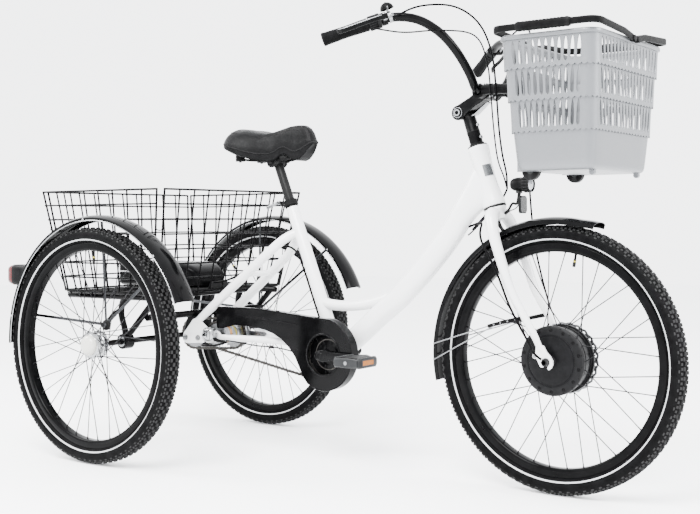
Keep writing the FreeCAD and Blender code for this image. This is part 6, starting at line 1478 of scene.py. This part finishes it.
mb = MB()
for s in (-1, 1):
    e, g, f, n = gf(s)
    Lg = 112.0 if s < 0 else 118.0
    prof = [(0, -4.0), (8, -4.0), (13, -3.6), (15.8, -2.4), (16.6, -0.5), (16.6, 3.0), (15.6, 5.5)]
    hs = np.linspace(8, Lg - 8, 58)
    for i, h in enumerate(hs):
        base = 15.4 + 0.7 * cos((h - 8) / (Lg - 16) * 2 * pi) * 0.9
        prof.append((base - (0.55 if i % 2 else 0.0), h))
    prof += [(15.4, Lg - 6), (16.2, Lg - 4), (16.2, Lg - 1), (15.4, Lg), (BR, Lg)]
    revolve(mb, prof, e, -g, 48)
mb.make("rubber_grips", [M_RUBBER], "stem", ("grips",), angle=70)

mb = MB()
e, g, f, n = gf(-1)
fluted(mb, e, -g, [(BR + 0.6, 114.2, 0), (16.8, 114.2, 0), (17.6, 115.0, 0), (18.3, 116.5, 1), (18.3, 131.5, 1), (17.4, 133.0, 0), (17.4, 134.0, 0), (18.4, 134.6, 0), (18.4, 142.6, 0), (17.4, 143.8, 0), (BR + 0.6, 143.8, 0)], 20, 1.5)
mb.make("twist_shift_barrel", [M_BLACKM], "shifter", ("twist_shifter",), angle=34)
mb = MB()
for i in range(7):
    pass

up_ = A(0, 0, 1)
for s in (-1, 1):
    e, g, f, n = gf(s)
    d0 = 146.0 if s < 0 else 120.0
    o = gp(s, d0)
    revolve(mb, [(BR, 0.0), (15.2, 0.0), (15.9, 0.8), (15.9, 13.2), (15.2, 14.0), (BR, 14.0)], o, -g, 36, 0)
    # perch that holds the lever
    Rm = np.array([f, g, np.cross(f, g)]).T
    path = np.array([o - g * 7 + f * q for q in (12, 18, 24, 31)])
    tube(mb, path, (np.array([8.5, 8.2, 8.0, 7.2]), np.array([7.6, 7.2, 6.8, 6.6])), up=tuple(n), shape=rrect(1, 1, 0.5, 4), m=0)
    # barrel adjuster for the cable
    q0 = o - g * 13 + f * 20
    revolve(mb, [(0, 0), (4.4, 0), (4.6, 2), (4.6, 9), (3.6, 10), (3.4, 16), (2.8, 17), (0, 17)], q0, -g, 20, 1)
    bolt(mb, o - g * 7 - f * 14.6, -f, 3.6, 3.2, 1)
# bell on the right
e, g, f, n = gf(-1)
upb = unit(up_ - g * np.dot(up_, g))
o = gp(-1, 164.0)
revolve(mb, [(BR, 0), (13.8, 0), (14.4, 0.8), (14.4, 7.2), (13.8, 8), (BR, 8)], o, -g, 32, 2)
bp_ = o - g * 4
revolve(mb, [(3.4, 12.5), (3.4, 22.5)], bp_, upb, 16, 2)
dome = [(17.0 * cos(t), 20.0 + 16.6 * sin(t)) for t in np.linspace(0, pi / 2, 14)]
revolve(mb, [(15.2, 20.6), (16.8, 19.6), (17.4, 20.0)] + dome[1:-1] + [(2.2, 36.5), (2.2, 37.4), (0, 37.6)], bp_, upb, 44, 0)
tube(mb, spline([bp_ + upb * 17, bp_ + upb * 17 + f * 10, bp_ + upb * 19 + f * 19, bp_ + upb * 23 + f * 22], 5), (1.1, 2.4), 8, 2)
mb.make("lever_perches_bell", [M_BLACKM, M_STEEL, M_ALU], "stem", ("bar_fittings",), angle=36, bevel=0.3)

for s, nm, node in ((-1, "right_brake_blade", "brake_lever_right"), (1, "left_brake_blade", "brake_lever_left")):
    e, g, f, n = gf(s)
    d0 = 146.0 if s < 0 else 120.0
    pv = gp(s, d0) - g * 7 + f * 33
    mb = MB()
    pts = [pv - g * 6 + f * 3, pv + g * 4 + f * 6.0, pv + g * 16 + f * 9.5, pv + g * 36 + f * 11, pv + g * 60 + f * 10, pv + g * 84 + f * 6.0, pv + g * 104 + f * 5, pv + g * 114 + f * 8.5, pv + g * 119 + f * 12]
    pth = spline(pts, 6)
    q = np.linspace(0, 1, len(pth))
    tube(mb, pth, (np.interp(q, [0, .1, .3, .8, .93, 1], [6.8, 7.0, 5.4, 5.8, 5.8, 3.6]), np.interp(q, [0, .1, .3, .8, .93, 1], [4.6, 4.4, 3.2, 3.0, 3.4, 2.6])), up=tuple(n), shape=rrect(1, 1, 0.6, 5), m=0)
    revolve(mb, [(0, -7.6), (4.8, -7.6), (5.4, -7.0), (5.4, 7.0), (4.8, 7.6), (0, 7.6)], pv, n, 24, 1)
    bolt(mb, pv + n * 7.2, n, 3.4, 1.8, 1)
    # silver face along the blade
    face = pth[8:-4] + f * 2.7
    q2 = q[8:-4]
    tube(mb, face + n * 4.2, (0.9, 1.6), up=tuple(n), shape=rrect(1, 1, 0.6, 3), m=1)
    mb.make(nm, [M_BLACKS, M_ALU], "lever_right" if s < 0 else "lever_left", (node,), angle=42)

# basket carrier
mb = MB()
for s in (-1, 1):
    y0, y1 = (26.3, 48.1) if s > 0 else (-48.1, -26.3)
    revolve(mb, [(11.4, y0), (17.0, y0), (18, y0 + 1), (18, y1 - 1), (17.0, y1), (11.4, y1)], CB, (0, 1, 0), 40)
    path = spline([(1076, s * 37, 998), (1090, s * 37, 999), (1120, s * 37, 998.5), (1150, s * 37, 996), (1184, s * 37, 994)], 6)
    tube(mb, path, (12.8, 14.2), 28, up=(0, 0, 1))
    for x in (1100, 1112):
        revolve(mb, [(13.0, 0), (14.9, 0.6), (14.9, 3.4), (13.0, 4)], (x, s * 37, 998.7), (1, 0, 0), 32)
    bolt(mb, (1066, s * 37, 1013), (0, 0, 1), 4.2, 3.6, 1)
prism(mb, rrect(59.6, 41.8, 10, 5), (1181, 0, 994), (0, 1, 0), (0, 0, 1), 10.6)
for y in (-44, 44):
    for z in (964, 1024):
        bolt(mb, (1181, y, z), (-1, 0, 0), 4.4, 3.6, 1)
tube(mb, spline([(1120, -24, 1001), (1120, 24, 1001)], 3), (8, 5), up=(0, 0, 1), shape=rrect(1, 1, 0.5, 3))
mb.make("carrier_adapter", [M_BLACKM, M_STEEL], "stem", ("basket_carrier",), angle=36, bevel=0.7)

# ------------------------------------------------------------------ front basket
ZT, ZL = 1098.0, 784.0


def bdim(z):
    f = (z - ZL) / (ZT - ZL)
    return 1330 + 2 * f, 98 + 26 * f, 162 + 35 * f, 26 + 4 * f


NF, NS, NCR = 17, 11, 7


def bpt(side, f, z, off):
    xc, a, b, rc = bdim(z)
    if side == 0:
        return (xc + a + off, f * (b - rc), z)
    if side == 1:
        return (xc - f * (a - rc), b + off, z)
    if side == 2:
        return (xc - a - off, -f * (b - rc), z)
    return (xc + f * (a - rc), -b - off, z)


def cpt2(corner, t, z, off):
    xc, a, b, rc = bdim(z)
    th = pi / 2 * (corner + t)
    sx = 1 if corner in (0, 3) else -1
    sy = 1 if corner in (0, 1) else -1
    return (xc + sx * (a - rc) + (rc + off) * cos(th), sy * (b - rc) + (rc + off) * sin(th), z)


BND = [(-1, -1), (-.5, -1), (0, -1), (.5, -1), (1, -1), (1, -.5), (1, 0), (1, .5), (1, 1), (.5, 1), (0, 1), (-.5, 1), (-1, 1), (-1, .5), (-1, 0), (-1, -.5)]
ARCH = [(-.60, -.62), (-.34, -.72), (0, -.76), (.34, -.72), (.60, -.62), (.63, -.25), (.58, .16), (.44, .50), (.25, .72), (.10, .82), (0, .86), (-.10, .82), (-.25, .72), (-.44, .50), (-.58, .16), (-.63, -.25)]
tiers = [(1089.0, 1022.0), (1022.0, 949.0), (949.0, 877.0)]
mb = MB()
for ti, (za, zb) in enumerate(tiers):
    def place(kind, idx, u, v, f0, f1):
        fr = f0 + (f1 - f0) * (u + 1) / 2
        vv = (v + 1) / 2
        z = zb + (za - zb) * vv
        sc = 0.0
        if v < -0.6:
            sc = 4.6 * cos(pi * u / 2) * ((-0.6 - v) / 0.4)
        off = 4.6 * (1 - vv) ** 1.3
        if kind == 0:
            p_ = bpt(idx, fr, z, off)
        else:
            p_ = cpt2(idx, fr, z, off)
        return (p_[0], p_[1], z - sc)
    for side, cnt in ((0, NF), (1, NS), (2, NF), (3, NS)):
        for c_ in range(cnt):
            f0, f1 = -1 + 2 * c_ / cnt, -1 + 2 * (c_ + 1) / cnt
            vs = [place(0, side, u, v, f0, f1) for u, v in BND] + [place(0, side, u, v, f0, f1) for u, v in ARCH]
            fs = [(j, (j + 1) % 16, 16 + (j + 1) % 16, 16 + j) for j in range(16)]
            if side == 2 and 952 < (za + zb) / 2 < 1040 and abs(c_ - 8) < 3:
                fs = fs + [tuple(range(16, 32))]
            mb.add(vs, fs)
            # ledge below each tier
            low = [place(0, side, u, -1, f0, f1) for u in (-1, -.5, 0, .5, 1)]
            inn = []
            for q_ in low:
                d = {0: (-1, 0), 1: (0, -1), 2: (1, 0), 3: (0, 1)}[side]
                inn.append((q_[0] + d[0] * 4.6, q_[1] + d[1] * 4.6, q_[2] + 0.5))
            mb.add(low + inn, [(i, i + 1, 6 + i, 5 + i) for i in range(4)])
    for corner in range(4):
        n2 = 4
        for c_ in range(n2):
            f0, f1 = c_ / n2, (c_ + 1) / n2
            cols = [-1, -.5, 0, .5, 1]
            rows_ = [-1, -.8, -.6, 0, .5, 1]
            vs = [place(1, corner, u, v, f0, f1) for v in rows_ for u in cols]
            mb.add(vs, [(r_ * 5 + i, r_ * 5 + i + 1, r_ * 5 + 6 + i, r_ * 5 + 5 + i) for r_ in range(5) for i in range(4)])
            low = [place(1, corner, u, -1, f0, f1) for u in cols]
            xc, a_, b_, rc_ = bdim(zb)
            inn = []
            for u in cols:
                q_ = cpt2(corner, f0 + (f1 - f0) * (u + 1) / 2, zb, 0.0)
                inn.append((q_[0], q_[1], zb - 4.2 * cos(pi * u / 2) + 0.5))
            mb.add(low + inn, [(i, i + 1, 6 + i, 5 + i) for i in range(4)])


def loop_pts(z, off, nst=8):
    out = []
    for k in range(4):
        for i in range(nst):
            out.append(bpt(k, -1 + 2 * i / nst, z, off))
        for i in range(NCR):
            out.append(cpt2(k, i / NCR, z, off))
    return out


def loft_loops(mb, loops, closed=False, m=0):
    n = len(loops[0])
    vs = [p_ for l_ in loops for p_ in l_]
    fs = []
    K = len(loops)
    for i in range(K if closed else K - 1):
        i2 = (i + 1) % K
        for j in range(n):
            j2 = (j + 1) % n
            fs.append((i * n + j, i * n + j2, i2 * n + j2, i2 * n + j))
    mb.add(vs, fs, m)


def loopz(zs, off, z_show):
    l_ = loop_pts(zs, off)
    return [(x, y, z_show) for x, y, z in l_]


low_rings = [(881, 0.0, 881), (866, 0.2, 866), (830, 0.2, 830), (810, 0.2, 810), (797, 0.0, 797), (790, -1.6, 790.5), (786, -5.0, 786.6), (784.6, -10.0, 784.9), (784.4, -16.0, 784.4)]
loft_loops(mb, [loopz(zs, off, zz_) for zs, off, zz_ in low_rings])
fl = loopz(784.4, -16.0, 784.4)
mb.add(fl + [(1330, 0, 784.4)], [(i, (i + 1) % len(fl), len(fl)) for i in range(len(fl))])
bask = mb.make("basket_shell", [M_SILVER], "basket", ("front_basket",), angle=30, weld=True)


def cut_boxes(obj, boxes, thickness):
    """Solid wall, then box pockets taken out of it, applied to the mesh."""
    s_ = obj.modifiers.new("wall", "SOLIDIFY")
    s_.thickness = thickness / 1000
    s_.offset = -1.0
    s_.use_even_offset = False
    cut_objs = []
    for lo, hi in boxes:
        c_ = MB()
        block(c_, (A(*lo) + A(*hi)) / 2, A(*hi) - A(*lo))
        me_ = bpy.data.meshes.new("cutter")
        v_ = (np.vstack(c_.v) + A(RX, 0, 0)) / 1000
        me_.from_pydata(v_.tolist(), [], c_.f)
        bm_ = bmesh.new()
        bm_.from_mesh(me_)
        bmesh.ops.recalc_face_normals(bm_, faces=bm_.faces)
        bm_.to_mesh(me_)
        bm_.free()
        co = bpy.data.objects.new("cutter", me_)
        bpy.context.scene.collection.objects.link(co)
        b_ = obj.modifiers.new("pocket", "BOOLEAN")
        b_.operation = "DIFFERENCE"
        b_.solver = "EXACT"
        b_.object = co
        cut_objs.append(co)
    dg = bpy.context.evaluated_depsgraph_get()
    new = bpy.data.meshes.new_from_object(obj.evaluated_get(dg), depsgraph=dg)
    obj.modifiers.clear()
    old = obj.data
    obj.data = new
    bpy.data.meshes.remove(old)
    for c_ in cut_objs:
        m_ = c_.data
        bpy.data.objects.remove(c_)
        bpy.data.meshes.remove(m_)
    new.set_sharp_from_angle(angle=math.radians(30))


cut_boxes(bask, [((1200, s * 118 - 12.5, 760), (1283.5, s * 118 + 12.5, 815)) for s in (-1, 1)], 2.4)
mb = MB()
# rolled lip: closed ring round the top
prof = [(-2.6, 1085), (0.6, 1086), (4.4, 1087), (5.0, 1088.4), (5.0, 1094.5), (4.2, 1097), (2.0, 1098), (-1.0, 1098), (-3.0, 1096.6), (-3.4, 1092)]
loft_loops(mb, [loopz(1092, off - (0.6 if off > 0 else 0), z) for off, z in prof], closed=True)
# mount block and ribs
prism(mb, rrect(47.5, 38.5, 8, 4), (1192.8, 0, 994), (0, 1, 0), (0, 0, 1), 29.0)
for y in (-30, -10, 10, 30):
    block(mb, (1200, y, 994), (16, 3, 84))
for s in (-1, 1):
    # roller housing inside the floor and the two front feet
    y = s * 118
    for yy in (-13.4, 13.4):
        block(mb, (1254, y + yy, 800.5), (62, 1.8, 31.5))
    block(mb, (1254, y, 816.2), (62, 28.0, 1.8))
    block(mb, (1283.6, y, 800.5), (1.8, 28.0, 31.5))
    revolve(mb, [(0, -5.6), (6.6, -5.6), (7.0, -4.6), (7.0, 4.6), (6.6, 5.6), (0, 5.6)], (1415, s * 127, 779.8), (0, 1, 0), 28)
    block(mb, (1415, s * 127, 784), (13.4, 10, 8))
# floor ribs
for x in np.linspace(1268, 1396, 7):
    block(mb, (x, 0, 786.8), (3, 200, 2.4))
mb.make("basket_lip_mount", [M_SILVER], "basket", (), angle=34, bevel=0.5)

mb = MB()
bar(mb, (1254, -131, 788), (1254, 131, 788), 3.9, 20, 1)
for s in (-1, 1):
    revolve(mb, [(4.0, -7.9), (21.4, -7.9), (23, -6.3), (23, 6.3), (21.4, 7.9), (4.0, 7.9)], (1254, s * 118, 788), (0, 1, 0), 48, 0)
    for d in (-1, 1):
        revolve(mb, [(4.0, 7.9), (9, 7.9), (9, 8.3), (4.0, 8.3)], (1254, s * 118, 788), (0, d, 0), 24, 2)
mb.make("basket_roller_set", [M_BLACKM, M_STEEL, M_GREY], "rollers", ("basket_rollers",), angle=36)

for s, nm, body, node in ((-1, "carry_handle_right", "handle_r", "basket_handle_right"), (1, "carry_handle_left", "handle_l", "basket_handle_left")):
    mb = MB()
    pts = [(1466.6, s * 12, 1094), (1466.6, s * 60, 1103), (1466.6, s * 208.5, 1111.5), (1197.4, s * 208.5, 1111.5), (1197.4, s * 60, 1103), (1197.4, s * 12, 1094)]
    p = arcs(pts, radius=26, step=0.14)
    tube(mb, p + A(0, 0, 1.5), (8.0, 3.6), up=(0, 0, 1), shape=rrect(1, 1, 0.55, 4))
    gx = np.concatenate([[1262, 1264, 1270], np.linspace(1278, 1386, 25), [1394, 1400, 1402]])
    rr_g = []
    for i, x in enumerate(gx):
        if i in (0, len(gx) - 1):
            rr_g.append(5.5)
        elif i in (1, len(gx) - 2):
            rr_g.append(8.8)
        elif i in (2, len(gx) - 3):
            rr_g.append(10.6)
        else:
            rr_g.append(10.6 - 0.9 * (i % 2))
    gpth = np.array([(x, s * 208.5, 1113.0) for x in gx])
    tube(mb, gpth, (np.array(rr_g) * 1.08, np.array(rr_g) * 0.86), up=(0, 0, 1), shape=rrect(1, 1, 0.7, 5))
    for xa, xb in ((1461.3, 1473.3), (1190.7, 1202.7)):
        revolve(mb, [(0, xa), (7.4, xa), (8, xa + 0.8), (8, xb - 0.8), (7.4, xb), (0, xb)], (0, s * 12, 1094), (1, 0, 0), 28)
    mb.make(nm, [M_BLACKM], body, (node,), angle=36, bevel=0.3)

# ------------------------------------------------------------------ seatpost and saddle
PT = A(370.06, 0, 835.7)
mb = MB()
lo_, hi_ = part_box("seatpost")
bot_z = lo_[2] * 1000
Lp = (PT[2] - bot_z) / abs(sd[2]) - 6
revolve(mb, [(0, -2), (10, -2), (13, -0.6), (13.5, 0.8), (13.5, Lp - 2), (12.6, Lp), (0, Lp)], PT, sd, 40, 0)
side_ax = unit(np.cross(sd, A(0, 1, 0)))
for i in range(9):
    pp = PT + sd * (60 + i * 6)
    revolve(mb, [(13.45, 0), (13.62, 0.1), (13.62, 0.7), (13.45, 0.8)], pp, sd, 10, 1, a0=-0.35 if i % 3 else -0.6, a1=0.35 if i % 3 else 0.6, ref=-side_ax)
hc = PT - sd * 4 + A(-4, 0, 4)
revolve(mb, [(0, -21), (13, -21), (14.6, -19.5), (14.6, 19.5), (13, 21), (0, 21)], hc, (0, 1, 0), 36, 0)
for s in (-1, 1):
    revolve(mb, [(0, 21), (15.6, 21), (16.2, 22), (16.2, 27), (15, 28.4), (6, 28.4), (0, 28.4)], hc, (0, s, 0), 36, 2)
    hexnut(mb, hc + A(0, s * 28.2, 0), (0, s, 0), 6.8, 4.6, 2)
rails = []
for s in (-1, 1):
    pth = spline([(462, s * 7, 888), (452, s * 10, 870), (434, s * 15, 856), (404, s * 21, 848.5), (366, s * 24, 848), (328, s * 28, 848), (298, s * 36, 849), (276, s * 44, 852), (264, s * 47, 858)], 6)
    tube(mb, pth, 3.5, 14, 2)
mb.make("seatpost_rails", [M_BLACKS, M_STEEL, M_BLACKS], "seat", ("seatpost",), angle=38)

OUT = [(507, 0), (505.5, 9), (500, 15.8), (489, 21.0), (470, 25.0), (445, 27.5), (417, 30.8), (394, 36.5), (372, 49), (354, 66), (337, 84), (320, 99), (302, 110), (287, 115), (272, 116), (260, 111), (250, 99), (243.5, 84), (240.5, 68), (241.5, 50), (245, 32), (248.5, 15), (250, 0)]
loop = OUT + [(x, -y) for x, y in reversed(OUT[1:-1])]
lp_ = spline([(x, y, 0) for x, y in loop], 4, closed=True)
nl = len(lp_)


def zt_(x, y):
    z = np.interp(x, [238, 250, 270, 300, 325, 348, 372, 398, 425, 450, 470, 486, 498, 508], [930, 937, 941, 937.5, 931, 927.5, 930.5, 938, 945, 947.5, 945, 936, 922, 906])
    z -= 5.0 * math.exp(-(y / 8.5) ** 2) * smoothstep(258, 292, x) * (1 - smoothstep(440, 478, x))
    z -= 7.0 * (abs(y) / 116) ** 2.2
    z += 1.8 * math.exp(-((abs(y) - 52) / 26) ** 2) * (1 - smoothstep(300, 360, x))
    return z


def zb_(x):
    return float(np.interp(x, [240, 262, 290, 318, 345, 372, 388, 402, 416, 432, 448, 468, 488, 507], [888, 880, 868, 857, 848, 845, 852, 864, 866, 856, 846, 852, 870, 894]))


random.seed(4)
mb = MB()
S_ = [0, 0.012, 0.03, 0.055, 0.085, 0.12, 0.16, 0.21, 0.27, 0.34, 0.42, 0.50, 0.58, 0.66, 0.74, 0.82, 0.90, 0.96]
rings = []
for si, s0 in enumerate(S_):
    ring = []
    for i in range(nl):
        x, y = lp_[i][0], lp_[i][1]
        sxp = min(max(x, 268), 484)
        xx = x + (sxp - x) * s0 ** 1.25
        yy = y * (1 - s0 ** 1.25)
        z1 = zt_(xx, yy)
        z0 = zb_(x)
        h_ = (1 - (1 - s0) ** 3.4) ** 0.62
        z = z0 + (z1 - z0) * h_
        bulge = 1.4 * sin(pi * min(1.0, h_)) * (1 if s0 < 0.12 else 0)
        d = unit(A(x - sxp, y, 0))
        # seam groove
        z -= 1.3 * math.exp(-((s0 - 0.30) / 0.028) ** 2)
        # soft pull lines near the rear edge
        w_ = math.exp(-((s0 - 0.10) / 0.06) ** 2) * (1 - smoothstep(300, 380, x))
        z += 0.55 * w_ * sin(i * 1.9 + 0.7 * sin(i * 0.37))
        ring.append((xx + d[0] * bulge, yy + d[1] * bulge, z))
    rings.append(ring)
vs = [p_ for r_ in rings for p_ in r_]
fs = []
for k in range(len(rings) - 1):
    for i in range(nl):
        j = (i + 1) % nl
        fs.append((k * nl + i, k * nl + j, (k + 1) * nl + j, (k + 1) * nl + i))
# close the top along the spine
last = (len(rings) - 1) * nl
hN = nl // 2
for i in range(hN):
    a_, b_ = last + i, last + i + 1
    c_, d_ = last + (nl - i - 1) % nl, last + (nl - i) % nl
    if i == 0:
        fs.append((a_, b_, c_))
    elif b_ == c_:
        fs.append((a_, b_, d_))
    elif b_ < c_:
        fs.append((a_, b_, c_, d_))
# underside
base = len(vs)
und = []
for i in range(nl):
    x, y = lp_[i][0], lp_[i][1]
    sxp = min(max(x, 268), 484)
    und.append((x + (sxp - x) * 0.05, y * 0.95, zb_(x) - 0.6))
vs += und
for i in range(nl):
    j = (i + 1) % nl
    fs.append((i, base + i, base + j, j))
mb.add(vs, fs)
sad = mb.make("saddle_cushion", [M_SADDLE], "seat", ("saddle",), angle=75, sub=1)
mb = MB()
ed = []
for i in range(nl):
    x, y, z = rings[2][i]
    ed.append((x, y, z))
edp = np.array(ed)
d_ = np.array([unit(A(p_[0] - min(max(p_[0], 268), 484), p_[1], 0)) for p_ in edp])
tube(mb, edp + d_ * 0.9, 1.35, 8, closed=True, caps=False)
# stitches along the seam
sr = np.array(rings[9])
for i in range(0, nl):
    j = (i + 1) % nl
    p0, p1 = sr[i], sr[j]
    m0, m1 = p0 + (p1 - p0) * 0.2 + A(0, 0, 1.0), p0 + (p1 - p0) * 0.7 + A(0, 0, 1.0)
    if np.linalg.norm(p1 - p0) > 2:
        bar(mb, m0, m1, 0.45, 6)
sp = mb.make("saddle_piping", [M_BLACKM], "seat", (), angle=60)
mb = MB()
pan = []
for off, dz in ((0.06, -0.2), (0.10, -3.0), (0.20, -3.0)):
    pan.append([(p_[0] + (min(max(p_[0], 268), 484) - p_[0]) * off, p_[1] * (1 - off), zb_(p_[0]) + dz) for p_ in lp_])
vs = [p_ for r_ in pan for p_ in r_]
fs = []
for k in range(2):
    for i in range(nl):
        j = (i + 1) % nl
        fs.append((k * nl + i, (k + 1) * nl + i, (k + 1) * nl + j, k * nl + j))
for i in range(1, hN):
    a_, b_, c_, d2 = 2 * nl + i, 2 * nl + i + 1, 2 * nl + (nl - i - 1) % nl, 2 * nl + (nl - i) % nl
    if b_ < c_:
        fs.append((a_, b_, c_, d2))
mb.add(vs, fs, 0)
for s in (-1, 1):
    revolve(mb, [(0, 846.5), (13.2, 846.5), (14, 848), (13.0, 851), (14.4, 854), (13.0, 857), (14.4, 860), (13.0, 863), (14.4, 866), (13.4, 870), (12, 873), (0, 873)], (264, s * 46, 0), (0, 0, 1), 32, 1)
    revolve(mb, [(0, 0), (4, 0), (4, 3), (0, 3)], (264, s * 46, 846.6), (0, 0, -1), 6, 2)
mb.make("saddle_pan", [M_BLACKM, M_BLACKS, M_DSTEEL], "seat", (), angle=50)

# ------------------------------------------------------------------ cables
def cable(name, r, pts, body=None, blend=None, replaces=()):
    p = spline(pts, 10)
    p, length = resample(p, 22.0)
    cu = bpy.data.curves.new(name, "CURVE")
    cu.dimensions = "3D"
    cu.resolution_u = 6
    cu.bevel_depth = r / 1000
    cu.bevel_resolution = 4
    cu.use_fill_caps = True
    spn = cu.splines.new("NURBS")
    spn.points.add(len(p) - 1)
    for q_, c_ in zip(spn.points, p):
        v_ = T(c_)
        q_.co = (v_[0], v_[1], v_[2], 1.0)
    spn.order_u = 3
    spn.use_endpoint_u = True
    o = bpy.data.objects.new(name, cu)
    bpy.context.scene.collection.objects.link(o)
    bpy.context.view_layer.update()
    dg = bpy.context.evaluated_depsgraph_get()
    me_ = bpy.data.meshes.new_from_object(o.evaluated_get(dg), depsgraph=dg)
    bpy.data.objects.remove(o)
    bpy.data.curves.remove(cu)
    me_.name = name
    me_.materials.clear()
    me_.materials.append(M_CABLE)
    me_.polygons.foreach_set("use_smooth", [True] * len(me_.polygons))
    o = bpy.data.objects.new(name, me_)
    bpy.context.scene.collection.objects.link(o)
    if replaces:
        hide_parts(*replaces)
    if blend:
        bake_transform(o)
    else:
        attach(o, body)
    return o


BARB = ("stem", "steering", (1066, 0, 1010), (1090, 0, 830))
cable("brake_cable_right", 2.5, [(963, -268, 1158), (1015, -236, 1184), (1078, -180, 1186), (1114, -122, 1150), (1128, -84, 1080), (1126, -60, 990), (1118, -34, 905), (1112, -6, 836), (1107, 24, 790), (1098, 43, 752)], blend=BARB, replaces=("fork_cables",))
cable("shift_cable_bar", 2.0, [(929, -290, 1131), (990, -262, 1120), (1050, -200, 1128), (1108, -132, 1120), (1120, -94, 1060), (1116, -70, 985), (1108, -42, 900), (1102, -12, 824), (1098, 28, 780), (1094, 50, 750)], blend=BARB)
cable("brake_cable_left", 2.5, [(955, 276, 1158), (1012, 238, 1184), (1078, 180, 1188), (1128, 118, 1150), (1148, 80, 1070), (1152, 66, 985), (1150, 58, 880), (1150, 64, 780), (1150, 76, 690), (1156, 82, 610), (1172, 82, 540), (1190, 80, 480), (1206, 78, 430), (1202, 66, 404), (1192, 54, 392)], blend=BARB)
cable("motor_cable", 3.0, [(1014, -8, 655), (1036, -11, 662), (1056, -18, 667), (1066, -30, 664), (1073, -48, 654), (1081, -67, 638), (1097, -80, 610), (1122, -82, 572), (1146, -79, 520), (1166, -78, 470), (1194, -78, 420), (1222, -80, 378), (1240, -86, 350), (1258, -82, 338)], blend=("frame", "steering", (1018, -10, 655), (1062, -20, 667)))
cable("brake_cable_head", 2.5, [(1098, 43, 752), (1096.2, 43.6, 749.0), (1084.5, 45.5, 729.5), (1063, 44, 708), (1040, 35.5, 687), (1020, 17, 657), (1013, 10, 647)], blend=("steering", "frame", (1094, 43, 745), (1034, 28, 672)), replaces=("rear_cables",))
cable("shift_cable_head", 2.0, [(1094, 50, 750), (1092.2, 51, 747.0), (1078, 52.5, 724), (1053, 50, 700), (1029, 39.5, 673), (1009, 17, 641), (1001, 9, 633)], blend=("steering", "frame", (1090, 51, 743), (1024, 32, 662)))
cable("brake_cable_hub", 2.5, [(596, 20, 288), (610, 26, 281), (560, 34, 276), (510, 42, 292), (460, 52, 310), (400, 70, 321), (340, 78, 324), (290, 77.5, 330)][1:], body="frame")
cable("shift_cable_hub", 2.0, [(610, -26, 281), (560, -32, 276), (510, -40, 290), (460, -52, 308), (410, -68, 318), (350, -78, 320), (290, -80, 326), (236, -80, 329)], body="frame")
cable("battery_cable", 3.0, [(138, -25, 492), (178, -25, 497), (228, -22, 514), (286, -16, 548), (346, -10, 584), (400, -6, 602), (440, -5, 585), (469, -5, 529), (495, -5, 465), (521, -5, 401), (543, -5, 345), (555, -6, 306)], body="frame")
# cable clips
mb = MB()
for c_, d in (((460, 52, 310), (1, 0, 0)), ((400, -70, 318.6), (1, 0, 0)), ((340, 78, 324), (1, 0, 0))):
    revolve(mb, [(3.6, -4), (4.6, -4), (4.6, 4), (3.6, 4)], c_, d, 16, closed=True)
mb.make("cable_clips", [M_BLACKM], "frame", (), angle=40)

# ------------------------------------------------------------------ floor, light, camera
fm = mat("floor_plain", (0.93, 0.935, 0.94), 0.6, var=0.004, rvar=0.02, scale=3)
me = bpy.data.meshes.new("floor")
nF = 24
R_f = 9.0
vv = [(-R_f, -R_f, -0.0005), (R_f, -R_f, -0.0005), (R_f, R_f, -0.0005), (-R_f, R_f, -0.0005)]
me.from_pydata(vv, [], [(0, 1, 2, 3)])
me.materials.append(fm)
floor = bpy.data.objects.new("floor", me)
bpy.context.scene.collection.objects.link(floor)
floor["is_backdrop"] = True

w = bpy.data.worlds.new("studio")
bpy.context.scene.world = w
w.use_nodes = True
bg = w.node_tree.nodes.get("Background")
if bg is None:
    bg = w.node_tree.nodes.new("ShaderNodeBackground")
    w.node_tree.links.new(bg.outputs[0], w.node_tree.nodes.new("ShaderNodeOutputWorld").inputs[0])
bg.inputs["Color"].default_value = (0.96, 0.97, 0.985, 1)
bg.inputs["Strength"].default_value = 5.0


def area(name, loc, target, size, power, color=(1, 1, 1), size_y=None):
    l = bpy.data.lights.new(name, "AREA")
    l.energy = power
    l.color = color
    l.size = size
    if size_y:
        l.shape = "RECTANGLE"
        l.size_y = size_y
    o = bpy.data.objects.new(name, l)
    bpy.context.scene.collection.objects.link(o)
    o.location = loc
    d = Vector(target) - Vector(loc)
    o.rotation_euler = d.to_track_quat("-Z", "Y").to_euler()
    return o


area("key_light", (0.6, -2.6, 3.6), (0.0, 0, 0.5), 2.2, 700)
area("fill_light", (3.6, 0.8, 2.2), (0.2, 0, 0.6), 1.8, 220)
area("rim_light", (-2.6, -1.2, 2.4), (-0.4, 0, 0.5), 1.4, 150)

cam = bpy.data.cameras.new("camera")
co = bpy.data.objects.new("camera", cam)
bpy.context.scene.collection.objects.link(co)
cam.lens = 57.76
cam.sensor_width = 36
cam.shift_x = -0.0981
cam.shift_y = -0.0480
cam.clip_end = 60
co.location = (1.873368, -2.472873, 0.664484)
az = math.radians(33.68)
fwd = Vector((-sin(az), cos(az), 0))
q = fwd.to_track_quat("-Z", "Y")
roll = Matrix.Rotation(math.radians(-0.31), 4, "Z")
co.rotation_euler = (q.to_matrix().to_4x4() @ roll).to_euler()
bpy.context.scene.camera = co

lo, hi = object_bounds()
